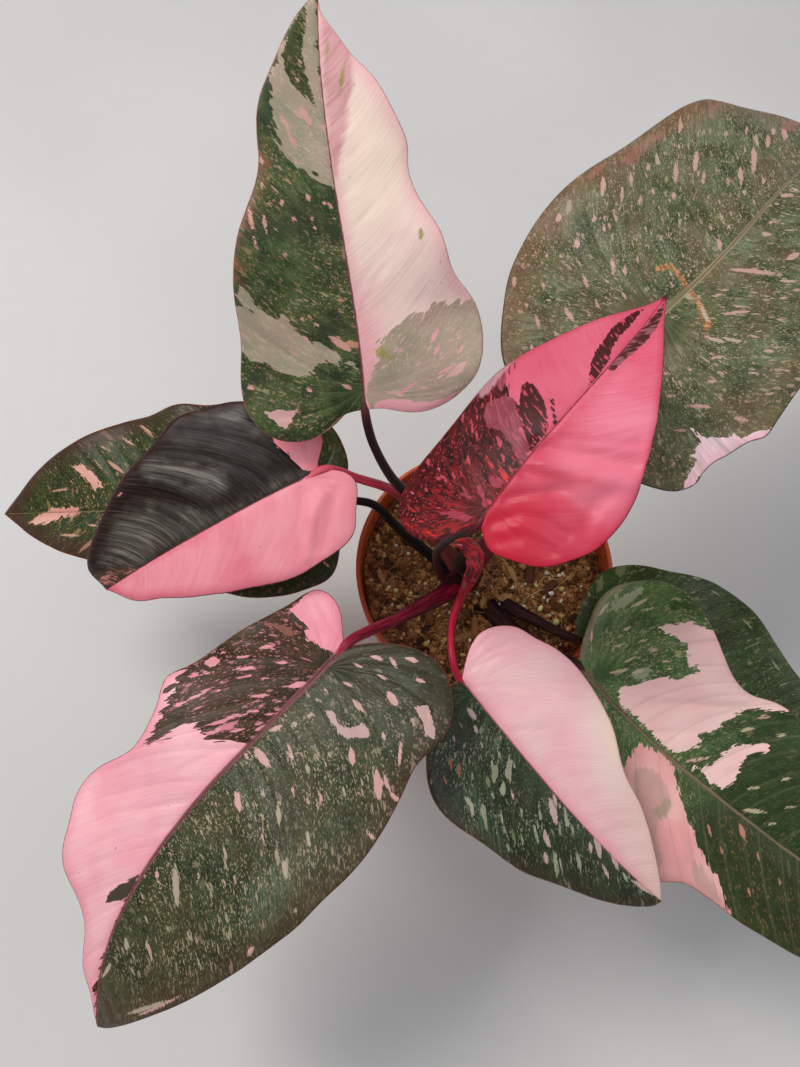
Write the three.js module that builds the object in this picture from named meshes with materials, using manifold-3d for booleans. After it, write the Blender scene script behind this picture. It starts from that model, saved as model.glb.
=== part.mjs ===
// A pink princess philodendron in a 12 cm nursery pot.
// Millimetres, +Z up. The origin is the centre of the pot's flat underside.
// Each leaf blade is described flat, as the outline it would have if pressed
// on paper, and is then bent along its midrib, folded along it and rippled
// at its edge. Petioles are tapered tubes along smooth curves.
import * as THREE from 'three';
import { mergeVertices } from 'three/addons/utils/BufferGeometryUtils.js';
import Module from 'manifold-3d';

// ---------------------------------------------------------------- dimensions
const POT_TOP_RADIUS = 60;      // outside of the rim
const POT_BASE_RADIUS = 43;     // outside, at the foot
const POT_HEIGHT = 105;
const POT_WALL = 1.5;
const POT_FLOOR = 2;
const RIM_BAND = 13;            // height of the wider band below the rim
const DRAIN_RADIUS = 1.8;       // eight small drain holes
const DRAIN_CIRCLE = 31;
const SOIL_TOP = 95;            // soil level at the pot wall
const SOIL_CROWN = 96.5;        // and in the middle
const GAP = 0.35;               // clearance between touching pieces
const BLADE = 1.2;              // leaf blade thickness
const STEM_RADIUS = 7.2;
const STEM_FOOT = 72;           // how deep the stem sits in the soil
const FAN = 0.07;               // share of the midrib that the lobe rows fan out from
const VEIN_SLOPE = 0.5;         // how far a side vein runs forward for each mm outward

const wasm = await Module();
wasm.setup();

// ---------------------------------------------------------------- solids
function clean(geometry) {
  const g = geometry.clone();
  g.deleteAttribute('normal');
  g.deleteAttribute('uv');
  return mergeVertices(g, 1e-4);
}
function toManifold(geometry) {
  const g = clean(geometry);
  return new wasm.Manifold(new wasm.Mesh({
    numProp: 3,
    vertProperties: new Float32Array(g.attributes.position.array),
    triVerts: new Uint32Array(g.index.array),
  }));
}
function fromManifold(solid) {
  const m = solid.getMesh();
  const g = new THREE.BufferGeometry();
  g.setAttribute('position', new THREE.BufferAttribute(new Float32Array(m.vertProperties), 3));
  g.setIndex(Array.from(m.triVerts));
  return g;
}
function cut(geometry, ...tools) {
  let s = toManifold(geometry);
  for (const t of tools) s = s.subtract(toManifold(t));
  const pieces = s.decompose().sort((a, b) => b.volume() - a.volume());
  return fromManifold(pieces[0]);
}

// tapered tube: points as [x, y, z, radius], round section with flat ends
function tube(points, sides = 8, steps = 12, grow = 0) {
  const curve = new THREE.CatmullRomCurve3(points.map((p) => new THREE.Vector3(p[0], p[1], p[2])), false, 'centripetal');
  const at = curve.getSpacedPoints(steps);
  const frames = curve.computeFrenetFrames(steps, false);
  const lengths = curve.getLengths(200);
  const total = lengths[200];
  const stops = [0];
  for (let i = 1; i < points.length; i++) {
    stops.push(lengths[Math.round(200 * i / (points.length - 1))] / total);
  }
  const radius = (u) => {
    let i = 1;
    while (i < stops.length - 1 && stops[i] < u) i++;
    const f = Math.min(1, Math.max(0, (u - stops[i - 1]) / (stops[i] - stops[i - 1])));
    return points[i - 1][3] + (points[i][3] - points[i - 1][3]) * f + grow;
  };
  const pos = [], idx = [];
  for (let i = 0; i <= steps; i++) {
    const r = radius(i / steps);
    for (let j = 0; j < sides; j++) {
      const a = 2 * Math.PI * j / sides;
      const v = at[i].clone()
        .addScaledVector(frames.normals[i], r * Math.cos(a))
        .addScaledVector(frames.binormals[i], r * Math.sin(a));
      pos.push(v.x, v.y, v.z);
    }
  }
  for (let i = 0; i < steps; i++) {
    for (let j = 0; j < sides; j++) {
      const k = (j + 1) % sides;
      const a = i * sides + j, b = i * sides + k, c = (i + 1) * sides + k, d = (i + 1) * sides + j;
      idx.push(a, b, c, a, c, d);
    }
  }
  const first = at[0], last = at[steps];
  pos.push(first.x, first.y, first.z, last.x, last.y, last.z);
  const f = (steps + 1) * sides, l = f + 1;
  for (let j = 0; j < sides; j++) {
    const k = (j + 1) % sides;
    idx.push(f, k, j);
    idx.push(l, steps * sides + j, steps * sides + k);
  }
  const g = new THREE.BufferGeometry();
  g.setAttribute('position', new THREE.Float32BufferAttribute(pos, 3));
  g.setIndex(idx);
  return g;
}

function lathe(profile, segments) {
  const g = new THREE.LatheGeometry(profile.map(([r, z]) => new THREE.Vector2(r, z)), segments);
  g.rotateX(Math.PI / 2);
  return g;
}

// ---------------------------------------------------------------- leaf blade
// The bent surface of a blade: (a, b) are millimetres on the flat leaf, a along
// the midrib from the petiole joint and b across it.
function bladeSurface(leaf) {
  const J = new THREE.Vector3(...leaf.joint);
  const T = new THREE.Vector3(...leaf.along);
  const N = new THREE.Vector3(...leaf.up);
  const B = new THREE.Vector3().crossVectors(T, N);
  const du = 1 / 400, L = leaf.length;
  const angle = (u) => (u >= 0 ? leaf.start - leaf.arch * u ** leaf.power : leaf.start - leaf.lobe * u);
  const n0 = 320, n1 = 480;
  const xs = new Float64Array(n0 + n1 + 1), ys = new Float64Array(n0 + n1 + 1);
  for (let i = 1; i <= n1; i++) {
    const m = (angle(i * du) + angle((i - 1) * du)) / 2;
    xs[n0 + i] = xs[n0 + i - 1] + Math.cos(m) * du;
    ys[n0 + i] = ys[n0 + i - 1] + Math.sin(m) * du;
  }
  for (let i = 1; i <= n0; i++) {
    const m = (angle(-i * du) + angle(-(i - 1) * du)) / 2;
    xs[n0 - i] = xs[n0 - i + 1] - Math.cos(m) * du;
    ys[n0 - i] = ys[n0 - i + 1] - Math.sin(m) * du;
  }
  const mid = (a) => {
    const u = Math.min(1, Math.max(0, a / L));
    return u * (1 - u) * (leaf.bow[0] + leaf.bow[1] * u);
  };
  function point(a, b, lift) {
    const u = a / L;
    const q = Math.min(n0 + n1 - 1e-9, Math.max(0, u / du + n0));
    const i = Math.floor(q), f = q - i;
    const x = (xs[i] + (xs[i + 1] - xs[i]) * f) * L;
    const y = (ys[i] + (ys[i + 1] - ys[i]) * f) * L;
    const th = angle(u);
    const m = mid(a), off = b - m, s = Math.sign(off), w = Math.abs(off);
    const f0 = s < 0 ? leaf.fold[0] : leaf.fold[2];
    const f1 = s < 0 ? leaf.fold[1] : leaf.fold[3];
    let k = (f1 - f0) / 50;
    if (Math.abs(k) < 1e-6) k = 1e-6;
    const X = (Math.sin(f0 + k * w) - Math.sin(f0)) / k;
    let Y = (Math.cos(f0) - Math.cos(f0 + k * w)) / k;
    const [amp, span, shift] = s < 0 ? leaf.ripple[0] : leaf.ripple[1];
    Y += amp * Math.min(1.3, w / 40) ** 2 * Math.sin(2 * Math.PI * a / span + shift) + lift;
    return J.clone()
      .addScaledVector(T, x - Y * Math.sin(th))
      .addScaledVector(N, y + Y * Math.cos(th))
      .addScaledVector(B, m + s * X);
  }
  return { point, mid };
}

function blade(leaf, across = 4, grow = 0) {
  const { point, mid } = bladeSurface(leaf);
  const L = leaf.length;
  const pos = [], idx = [], seen = new Map();
  const vert = (p, side) => {
    const key = `${p[0].toFixed(3)} ${p[1].toFixed(3)} ${side}`;
    if (!seen.has(key)) {
      const v = point(p[0], p[1], side * (BLADE / 2 + grow));
      seen.set(key, pos.length / 3);
      pos.push(v.x, v.y, v.z);
    }
    return seen.get(key);
  };
  const tri = (a, b, c, flip) => {
    if (a === b || b === c || a === c) return;
    if (flip) idx.push(a, c, b); else idx.push(a, b, c);
  };
  const edges = [leaf.left, leaf.right].map((half) => [[0, 0], ...half, [L, 0]]);
  let reach = FAN * L;
  const ribs = edges[0].map((_, i) => {
    const both = edges.map((edge) => edge[i][0] - VEIN_SLOPE * Math.abs(edge[i][1] - mid(edge[i][0])));
    reach = Math.max(reach, Math.min(L, (both[0] + both[1]) / 2));
    return reach;
  });
  edges.forEach((edge, h) => {
    const flip = h === 0;
    const rows = edge.map(([a, b], i) => {
      const m = [ribs[i], mid(ribs[i])];
      const row = [];
      for (let j = 0; j <= across; j++) {
        const v = j / across;
        row.push([m[0] + (a - m[0]) * v, m[1] + (b - m[1]) * v]);
      }
      return row;
    });
    for (let i = 0; i < rows.length - 1; i++) {
      for (let j = 0; j < across; j++) {
        for (const side of [1, -1]) {
          const p00 = vert(rows[i][j], side), p01 = vert(rows[i][j + 1], side);
          const p11 = vert(rows[i + 1][j + 1], side), p10 = vert(rows[i + 1][j], side);
          tri(p00, p01, p11, flip !== (side < 0));
          tri(p00, p11, p10, flip !== (side < 0));
        }
      }
      const e0 = rows[i][across], e1 = rows[i + 1][across];
      const t0 = vert(e0, 1), t1 = vert(e1, 1), b0 = vert(e0, -1), b1 = vert(e1, -1);
      tri(t1, t0, b0, flip);
      tri(t1, b0, b1, flip);
    }
  });
  const g = new THREE.BufferGeometry();
  g.setAttribute('position', new THREE.Float32BufferAttribute(pos, 3));
  g.setIndex(idx);
  return g;
}

// ---------------------------------------------------------------- the leaves
// fold: angle of each half to the leaf plane at the midrib and 50 mm out (left, right);
// ripple: height, length and phase of each edge's waves; angles in radians.
const LEAVES = [
  {
    name: 'top_left', color: 0xd8b3b4,
    joint: [-52.28, 30.37, 196], along: [-0.10177, 0.79662, 0.59585], up: [0.07551, -0.59105, 0.8031],
    length: 138.07, start: 0.1396, arch: 0.2793, power: 1.0, lobe: -0.3491,
    fold: [0.2094, 0.0349, 0.2443, -0.0349], ripple: [[2.5, 62, 2.2], [3, 48, 0.4]], bow: [8.12, -27.6],
    left: [
      [-1.0, -10.0], [-7.1, -18.2], [-7.9, -28.4], [-3.3, -37.5], [5.4, -43.0], [15.5, -44.1], [25.7, -42.3],
      [36.0, -41.3], [46.3, -41.2], [56.5, -39.4], [66.4, -36.3], [75.5, -31.4], [84.8, -27.0], [95.1, -26.1],
      [105.2, -24.2], [114.2, -19.2], [123.1, -13.9], [131.4, -7.8],
    ],
    right: [
      [-0.4, 9.7], [-2.3, 19.4], [-0.2, 29.0], [5.4, 37.1], [12.9, 43.3], [22.4, 45.8], [32.2, 45.1],
      [40.6, 40.1], [49.1, 35.2], [58.7, 33.3], [67.5, 28.7], [76.5, 24.7], [86.1, 24.9], [95.4, 22.2],
      [104.5, 18.3], [112.8, 13.1], [120.5, 6.9], [128.7, 1.6],
    ],
  },
  {
    name: 'back_right', color: 0x5d6b4a,
    joint: [75.41, 83.64, 200], along: [0.68754, 0.68575, -0.23882], up: [0.16909, 0.16865, 0.97106],
    length: 151.68, start: 0.3100, arch: 0.8727, power: 1.8, lobe: -0.1745,
    fold: [0.1047, -0.1396, 0.1047, -0.1396], ripple: [[2, 70, 0.5], [2.5, 60, 2]], bow: [4.67, -44.23],
    left: [
      [-19.7, -0.6], [-39.4, -0.6], [-59.0, -0.6], [-77.4, -5.8], [-82.5, -23.6], [-69.7, -38.2], [-54.0, -50.1],
      [-37.2, -60.2], [-19.1, -67.9], [0.2, -69.5], [19.5, -66.7], [39.2, -68.0], [58.7, -65.6], [77.7, -60.9],
      [96.1, -53.8], [113.2, -44.1], [128.3, -31.5], [141.2, -16.6],
    ],
    right: [
      [-18.4, 2.4], [-36.7, 5.5], [-54.4, 10.7], [-70.8, 19.3], [-80.4, 34.5], [-73.4, 51.2], [-55.9, 53.1],
      [-37.7, 56.5], [-20.3, 59.3], [-1.9, 57.3], [16.6, 57.0], [35.0, 54.6], [53.0, 50.4], [70.6, 44.6],
      [87.6, 37.2], [104.3, 29.0], [120.4, 20.0], [136.0, 9.9],
    ],
  },
  {
    name: 'centre', color: 0xd9556f,
    joint: [-12.97, -22.61, 215], along: [0.63643, 0.74266, 0.20836], up: [-0.05547, -0.22536, 0.97269],
    length: 101.41, start: 0.1920, arch: 0.3840, power: 1.0, lobe: 0.0000,
    fold: [-0.384, -0.7854, 0.1396, 0], ripple: [[1, 50, 0], [2, 46, 1]], bow: [-10.71, 19.93],
    left: [
      [-8.0, -4.2], [-15.9, -8.6], [-19.3, -17.0], [-18.8, -26.1], [-13.6, -33.4], [-4.8, -35.5], [4.3, -35.8],
      [13.3, -34.4], [22.4, -34.3], [31.5, -34.7], [40.6, -35.6], [49.6, -34.3], [58.0, -30.5], [65.9, -25.9],
      [73.6, -20.9], [81.4, -16.2], [88.2, -10.0], [93.1, -2.3],
    ],
    right: [
      [-4.6, 5.8], [-4.3, 12.5], [-1.9, 19.5], [1.9, 25.8], [7.9, 30.2], [14.2, 34.1], [21.3, 35.8],
      [28.8, 36.0], [36.0, 34.6], [42.9, 31.8], [49.8, 29.2], [56.6, 26.1], [63.3, 23.0], [69.7, 19.2],
      [76.1, 15.5], [82.4, 11.5], [88.5, 7.3], [94.8, 3.4],
    ],
  },
  {
    name: 'left_upper', color: 0x4a3a3c,
    joint: [-70.3, 11.62, 182], along: [-0.86874, -0.36439, -0.33543], up: [-0.25248, -0.25682, 0.9329],
    length: 103.16, start: 0.2729, arch: 0.6283, power: 1.3, lobe: -0.1745,
    fold: [0, -0.3491, 0.1047, -0.0349], ripple: [[1.5, 60, 0.6], [1.5, 55, 2]], bow: [-1.37, -6.16],
    left: [
      [-7.4, -2.7], [-11.6, -9.2], [-8.5, -16.4], [-4.9, -23.5], [0.3, -29.2], [7.9, -31.5], [15.8, -32.4],
      [23.7, -33.1], [31.6, -32.0], [39.3, -30.0], [47.0, -27.9], [54.6, -25.7], [62.1, -22.9], [69.5, -20.1],
      [76.6, -16.5], [84.1, -13.9], [91.3, -10.6], [97.2, -5.2],
    ],
    right: [
      [-4.7, 7.0], [-7.5, 15.2], [-4.9, 23.5], [0.9, 30.2], [8.2, 35.1], [16.1, 39.1], [24.3, 42.3],
      [33.0, 43.6], [41.7, 44.2], [49.7, 40.3], [58.1, 37.6], [66.8, 36.3], [75.4, 34.1], [83.1, 29.7],
      [90.5, 24.8], [98.1, 20.4], [105.5, 15.5], [106.9, 8.0],
    ],
  },
  {
    name: 'left_lower', color: 0x5f6b3c,
    joint: [-72.99, 17.86, 140], along: [-0.97814, 0.04207, -0.20365], up: [-0.20643, -0.07836, 0.97532],
    length: 158.49, start: 0.2269, arch: 0.4538, power: 1.0, lobe: -0.1745,
    fold: [0.0698, -0.1396, 0.1745, 0], ripple: [[2, 64, 0], [2.5, 58, 1]], bow: [-16.88, 2.7],
    left: [
      [-7.2, -8.5], [-9.0, -19.3], [-7.7, -30.5], [0.1, -37.9], [10.3, -42.3], [21.4, -43.8], [32.5, -43.2],
      [43.4, -40.7], [54.5, -39.1], [65.6, -37.5], [76.5, -34.8], [87.2, -31.4], [97.9, -28.1], [108.6, -24.8],
      [119.4, -21.7], [129.6, -17.2], [139.6, -12.0], [149.0, -5.9],
    ],
    right: [
      [-8.7, 7.2], [-10.9, 18.0], [-6.5, 28.5], [1.5, 36.4], [12.1, 40.7], [22.9, 44.4], [34.2, 46.1],
      [45.5, 44.6], [56.5, 42.2], [67.9, 42.7], [79.0, 40.0], [90.4, 39.8], [101.4, 36.5], [111.9, 32.0],
      [122.2, 27.0], [132.6, 22.3], [142.1, 16.0], [150.0, 7.6],
    ],
  },
  {
    name: 'front_left', color: 0x9a7f74,
    joint: [-59.93, -51.89, 162], along: [-0.54634, -0.78813, -0.28349], up: [-0.2043, -0.20285, 0.95766],
    length: 172.72, start: 0.2648, arch: 0.6632, power: 1.5, lobe: -0.1745,
    fold: [0.2443, 0, 0.1396, -0.1745], ripple: [[1.5, 75, 1.2], [3.5, 56, 0.2]], bow: [18.04, 63.44],
    left: [
      [-8.2, -10.0], [-13.5, -21.7], [-14.5, -34.5], [-7.0, -44.7], [4.2, -50.8], [16.8, -48.4], [29.4, -49.2],
      [42.3, -50.6], [55.2, -50.7], [68.0, -48.5], [80.6, -46.0], [92.9, -42.1], [105.1, -37.8], [117.1, -32.9],
      [128.7, -27.1], [139.9, -20.7], [151.1, -14.1], [162.3, -7.6],
    ],
    right: [
      [-9.6, 8.6], [-13.3, 20.8], [-3.1, 26.7], [9.0, 31.6], [20.9, 37.2], [32.9, 42.5], [44.2, 49.1],
      [54.2, 47.1], [66.3, 42.3], [78.9, 43.8], [89.6, 51.4], [102.2, 54.1], [113.1, 47.2], [124.6, 41.2],
      [131.3, 30.0], [140.7, 21.1], [152.9, 16.4], [161.9, 7.4],
    ],
  },
  {
    name: 'front', color: 0x8a8c78,
    joint: [-15.52, -62.35, 152], along: [0.67078, -0.69963, -0.24612], up: [0.17033, -0.17766, 0.96924],
    length: 114.34, start: 0.1745, arch: 0.3491, power: 1.0, lobe: -0.1745,
    fold: [0.2443, 0, 0.2094, -0.1745], ripple: [[1.5, 58, 0.4], [2, 52, 2.5]], bow: [9.61, 9.59],
    left: [
      [-4.4, -7.0], [-7.7, -14.6], [-6.3, -22.6], [-0.8, -28.7], [7.0, -30.9], [14.8, -33.8], [22.9, -35.3],
      [31.2, -35.2], [39.4, -33.9], [47.3, -31.6], [54.9, -28.2], [61.7, -23.5], [69.2, -20.1], [77.3, -18.3],
      [85.2, -15.8], [92.7, -12.3], [100.1, -8.5], [107.4, -4.5],
    ],
    right: [
      [-1.8, 7.8], [-0.1, 15.6], [4.0, 22.5], [9.3, 28.5], [15.0, 34.1], [21.8, 38.3], [29.6, 40.0],
      [37.6, 39.0], [45.3, 36.8], [53.2, 35.3], [61.0, 33.6], [68.5, 30.9], [75.6, 27.0], [82.8, 23.4],
      [90.0, 19.9], [97.0, 16.0], [103.7, 11.5], [109.9, 6.4],
    ],
  },
  {
    name: 'front_right', color: 0x7f9170,
    joint: [35.89, -51.39, 126], along: [0.7544, -0.61157, -0.23848], up: [0.18525, -0.15018, 0.97115],
    length: 177.41, start: 0.2094, arch: 0.4189, power: 1.0, lobe: -0.1745,
    fold: [0.1396, -0.0873, 0.1396, -0.3491], ripple: [[4, 66, -1.5], [2, 60, 1]], bow: [47.3, -47.33],
    left: [
      [-5.5, -11.5], [-9.1, -24.3], [-8.3, -37.3], [-1.3, -48.5], [9.0, -56.6], [21.8, -53.9], [33.0, -46.8],
      [45.4, -41.9], [58.2, -38.6], [70.8, -41.0], [83.1, -42.5], [96.0, -39.3], [109.2, -38.2], [122.3, -36.0],
      [134.8, -31.6], [145.5, -23.9], [156.3, -16.1], [167.2, -8.5],
    ],
    right: [
      [-5.7, 11.5], [-6.6, 24.3], [-2.3, 36.3], [5.9, 46.1], [17.0, 52.5], [29.5, 55.3], [42.4, 56.2],
      [55.2, 54.9], [67.6, 51.6], [78.8, 45.7], [90.1, 40.8], [102.9, 39.7], [115.7, 38.8], [128.3, 36.4],
      [140.9, 33.9], [152.8, 28.8], [163.0, 21.1], [171.3, 11.3],
    ],
  },
  {
    name: 'right_lower', color: 0x2f5230,
    joint: [49.1, -40.69, 111], along: [0.88012, -0.406, -0.24607], up: [0.22344, -0.10307, 0.96925],
    length: 143.11, start: 0.1920, arch: 0.3840, power: 1.0, lobe: -0.1745,
    fold: [0.1396, -0.0873, 0.1396, -0.1745], ripple: [[2, 60, 0], [1.5, 60, 1]], bow: [4.93, -1.93],
    left: [
      [-11.2, -0.6], [-14.6, -9.6], [-14.4, -21.3], [-11.9, -32.7], [-3.7, -40.7], [7.3, -44.4], [18.7, -46.6],
      [29.7, -50.7], [40.9, -53.5], [52.3, -51.4], [62.5, -45.7], [71.4, -38.2], [81.4, -32.3], [92.3, -28.2],
      [103.3, -24.2], [113.7, -18.9], [123.7, -13.0], [133.6, -6.7],
    ],
    right: [
      [-2.7, 9.7], [-4.2, 19.7], [-1.1, 29.2], [5.6, 36.8], [14.4, 41.8], [24.2, 44.4], [34.3, 45.6],
      [44.4, 46.3], [54.5, 46.2], [64.5, 44.6], [74.3, 42.0], [83.9, 38.5], [93.2, 34.5], [102.2, 29.8],
      [110.7, 24.4], [119.1, 18.6], [127.5, 12.9], [135.5, 6.7],
    ],
  },
];

// centre lines of the petioles, stem and sheath: x, y, z, radius
const PETIOLES = {
  top_left: { color: 0x2e1a1f, steps: 10, line: [
    [-9, -1, 126, 3.3], [-24, 13, 143, 2.7], [-40, 14.1, 164, 2.2], [-49.2, 22.5, 182, 1.9], [-52.6, 33.3, 194.6, 1.8],
  ] },
  back_right: { color: 0x4a2a2e, steps: 15, line: [
    [-5, -2, 118, 3.6], [18, 19, 142, 3], [48, 53, 172, 2.5], [75.9, 84.1, 196.4, 2.2],
  ] },
  centre: { color: 0x4c1420, steps: 11, line: [
    [-12, -8, 119, 3.2], [-19.8, -15.6, 131, 2.9], [-24.1, -15.6, 151, 2.5], [-24.7, -16.7, 172, 2.3], [-19.8, -20.1, 196, 2.2], [-11.8, -20.8, 212.3, 2],
  ] },
  left_upper: { color: 0xc23a55, steps: 10, line: [
    [-13, -3, 112, 3.3], [-27, 8, 130, 2.6], [-39.2, 16.7, 148, 2.1], [-55.1, 14, 170, 1.8], [-70.9, 11.8, 178.9, 1.7],
  ] },
  left_lower: { color: 0x241a1a, steps: 8, line: [
    [-13, -4, 101, 3.2], [-27, 5, 109, 2.7], [-41.4, 14.5, 119, 2.3], [-51.6, 19.4, 132, 2.1], [-73.8, 18.2, 136.8, 1.9],
  ] },
  front_left: { color: 0x6e1528, steps: 9, line: [
    [-12, -10, 105, 3.4], [-19.1, -17.8, 116, 3.1], [-41.2, -36.5, 143, 2.5], [-60.1, -52.4, 158.6, 2],
  ] },
  front: { color: 0xa0182c, steps: 7, line: [
    [-10.6, -20.2, 142.5, 2.9], [-14, -26.9, 143.5, 2.5], [-18.5, -39.7, 149, 2.2], [-19, -52.6, 152.5, 2], [-15, -62.9, 148.7, 1.9],
  ] },
  front_right: { color: 0x2b1a1c, steps: 7, line: [
    [-6, -8, 103, 3.5], [5, -22, 106, 3], [16, -34.9, 113, 2.5], [25.9, -44.7, 121, 2.2], [36.4, -51.8, 122.6, 2],
  ] },
  right_lower: { color: 0x2f1e20, steps: 7, line: [
    [-4, -5, 102, 3.5], [8.3, -15.1, 103.5, 3], [20.4, -25.3, 108, 2.6], [35, -34.8, 111, 2.2], [49.7, -41, 107.6, 2],
  ] },
};
const STEM = [
  [-7, -4, 73, 7], [-8, -5, 98, 7.2], [-9, -6, 116, 6.6], [-9.5, -7, 130, 5.6], [-10, -9, 139, 3.6],
];
const SHEATH = [
  [-18.7, -6, 153, 1.6], [-13.5, -6.8, 153, 2.7], [-9.3, -9.4, 150.5, 3.4], [-8.3, -14.3, 147, 3.5], [-10.2, -19.1, 143.3, 2.9],
];

// ---------------------------------------------------------------- assembly
const plant = new THREE.Group();
function add(name, geometry, color, roughness) {
  const mesh = new THREE.Mesh(geometry, new THREE.MeshStandardMaterial({ color, roughness, metalness: 0 }));
  mesh.name = name;
  plant.add(mesh);
}

const bandZ = POT_HEIGHT - RIM_BAND;
const wallAt = (z) => POT_BASE_RADIUS + (POT_TOP_RADIUS - 2.4 - POT_BASE_RADIUS) * z / bandZ;
const potShell = lathe([
  [0, 0], [POT_BASE_RADIUS - 1.5, 0], [POT_BASE_RADIUS, 1.5],
  [wallAt(bandZ), bandZ], [POT_TOP_RADIUS - 0.6, bandZ + 1], [POT_TOP_RADIUS, POT_HEIGHT - 1],
  [POT_TOP_RADIUS - 0.5, POT_HEIGHT], [POT_TOP_RADIUS - 1.6, POT_HEIGHT],
  [POT_TOP_RADIUS - 2.1, POT_HEIGHT - 1],
  [wallAt(bandZ) - POT_WALL + 0.6, bandZ - 1], [wallAt(bandZ - 4) - POT_WALL, bandZ - 4],
  [wallAt(POT_FLOOR + 1.5) - POT_WALL, POT_FLOOR + 1.5], [POT_BASE_RADIUS - 3.2, POT_FLOOR], [0, POT_FLOOR],
], 48);
const drains = [];
for (let i = 0; i < 8; i++) {
  const d = new THREE.CylinderGeometry(DRAIN_RADIUS, DRAIN_RADIUS, 10, 10);
  d.rotateX(Math.PI / 2);
  d.translate(DRAIN_CIRCLE * Math.cos(i * Math.PI / 4), DRAIN_CIRCLE * Math.sin(i * Math.PI / 4), 1);
  drains.push(d);
}
add('pot', cut(potShell, ...drains), 0xb5532c, 0.5);

const inside = (z) => (z > bandZ - 4
  ? wallAt(bandZ - 4) - POT_WALL
  : wallAt(z) - POT_WALL) - GAP;
const stem = tube(STEM, 12, 10);
const soilPlug = lathe([
  [0, POT_FLOOR + GAP], [POT_BASE_RADIUS - 4, POT_FLOOR + GAP], [inside(6), 6],
  [inside(bandZ - 4), bandZ - 4], [inside(bandZ - 4), SOIL_TOP - 1], [inside(bandZ - 4) - 2, SOIL_TOP],
  [38, SOIL_TOP + 0.4], [20, SOIL_CROWN], [0, SOIL_CROWN],
], 36);
add('soil', cut(soilPlug, tube(STEM, 12, 10, GAP)), 0x4a3020, 0.95);

const sheath = cut(tube(SHEATH, 8, 8), tube(STEM, 12, 10, GAP));
add('main_stem', stem, 0x6b2230, 0.5);
add('stem_sheath', sheath, 0x9c1f30, 0.3);

const stemSpace = tube(STEM, 12, 10, GAP);
const sheathSpace = tube(SHEATH, 8, 8, GAP);
const placed = [];
for (const [name, p] of Object.entries(PETIOLES)) {
  const g = tube(p.line, 8, p.steps);
  const above = LEAVES.find((leaf) => leaf.name === name);
  const tools = [stemSpace, sheathSpace, blade(above, 4, GAP), ...placed];
  add(`petiole_${name}`, cut(g, ...tools), p.color, 0.4);
  placed.push(tube(p.line, 8, p.steps, GAP));
}
for (const leaf of LEAVES) add(`leaf_${leaf.name}`, blade(leaf), leaf.color, 0.45);

export default plant;
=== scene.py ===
# A pink princess philodendron in its nursery pot: the looks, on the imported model's frame.
# Millimetres in the building code, metres on the meshes.
import bpy, math
import numpy as np
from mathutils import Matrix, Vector


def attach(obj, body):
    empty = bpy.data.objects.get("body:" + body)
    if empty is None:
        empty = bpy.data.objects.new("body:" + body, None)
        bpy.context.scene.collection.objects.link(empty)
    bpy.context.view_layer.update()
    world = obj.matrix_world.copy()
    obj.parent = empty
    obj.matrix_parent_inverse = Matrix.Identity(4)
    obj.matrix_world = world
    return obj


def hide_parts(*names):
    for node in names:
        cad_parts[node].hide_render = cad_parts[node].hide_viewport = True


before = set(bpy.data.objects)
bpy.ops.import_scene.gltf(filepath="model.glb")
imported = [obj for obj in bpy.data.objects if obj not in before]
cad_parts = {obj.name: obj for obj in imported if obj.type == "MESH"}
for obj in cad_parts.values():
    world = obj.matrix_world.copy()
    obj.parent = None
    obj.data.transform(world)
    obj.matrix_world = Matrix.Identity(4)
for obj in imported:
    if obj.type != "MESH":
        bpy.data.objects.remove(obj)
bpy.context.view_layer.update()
MM = 0.001
scene = bpy.context.scene

# ------------------------------------------------------------------ camera and light
cam_data = bpy.data.cameras.new("camera")
cam = bpy.data.objects.new("camera", cam_data)
scene.collection.objects.link(cam)
cam.location = (-0.0392, -0.1216, 0.4628)
cam.rotation_euler = (math.radians(21), 0, 0)
cam_data.sensor_fit = "HORIZONTAL"
cam_data.sensor_width = 36.0
cam_data.lens = 36.45
cam_data.clip_start = 0.01
scene.camera = cam
scene.view_settings.view_transform = "Standard"


def area(name, loc, target, size, power, color=(1, 1, 1)):
    d = bpy.data.lights.new(name, "AREA")
    d.shape = "RECTANGLE"
    d.size, d.size_y = size
    d.energy = power
    d.color = color
    o = bpy.data.objects.new(name, d)
    scene.collection.objects.link(o)
    o.location = loc
    o.rotation_euler = (Vector(target) - Vector(loc)).to_track_quat("-Z", "Y").to_euler()
    return o


area("key", (-0.95, 0.62, 1.75), (0, 0, 0.12), (0.75, 0.75), 23.5, (1.0, 0.985, 0.96))
area("top", (-0.1, -0.2, 1.7), (0, 0, 0.1), (1.7, 1.5), 5.0, (0.97, 0.985, 1.0))
area("side", (1.3, 0.1, 0.8), (0, 0, 0.12), (0.9, 0.9), 2.4, (0.97, 0.98, 1.0))
world = bpy.data.worlds.new("soft")
scene.world = world
world.use_nodes = True
world.node_tree.nodes["Background"].inputs[0].default_value = (0.93, 0.95, 1.0, 1)
world.node_tree.nodes["Background"].inputs[1].default_value = 0.34


# ------------------------------------------------------------------ small tools
def lin(r, g, b, k=1.0):
    f = lambda v: (v / 255 / 12.92) if v / 255 <= 0.04045 else ((v / 255 + 0.055) / 1.055) ** 2.4
    return (min(1, f(r) * k), min(1, f(g) * k), min(1, f(b) * k), 1.0)


def hash01(ix, iy, iz, seed):
    h = (ix * 374761393 + iy * 668265263 + iz * 1442695041 + seed * 974634777) & 0xFFFFFFFF
    h = ((h ^ (h >> 13)) * 1274126177) & 0xFFFFFFFF
    h = ((h ^ (h >> 15)) * 2246822519) & 0xFFFFFFFF
    return ((h ^ (h >> 16)) & 0xFFFFFF) / float(0xFFFFFF)


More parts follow.
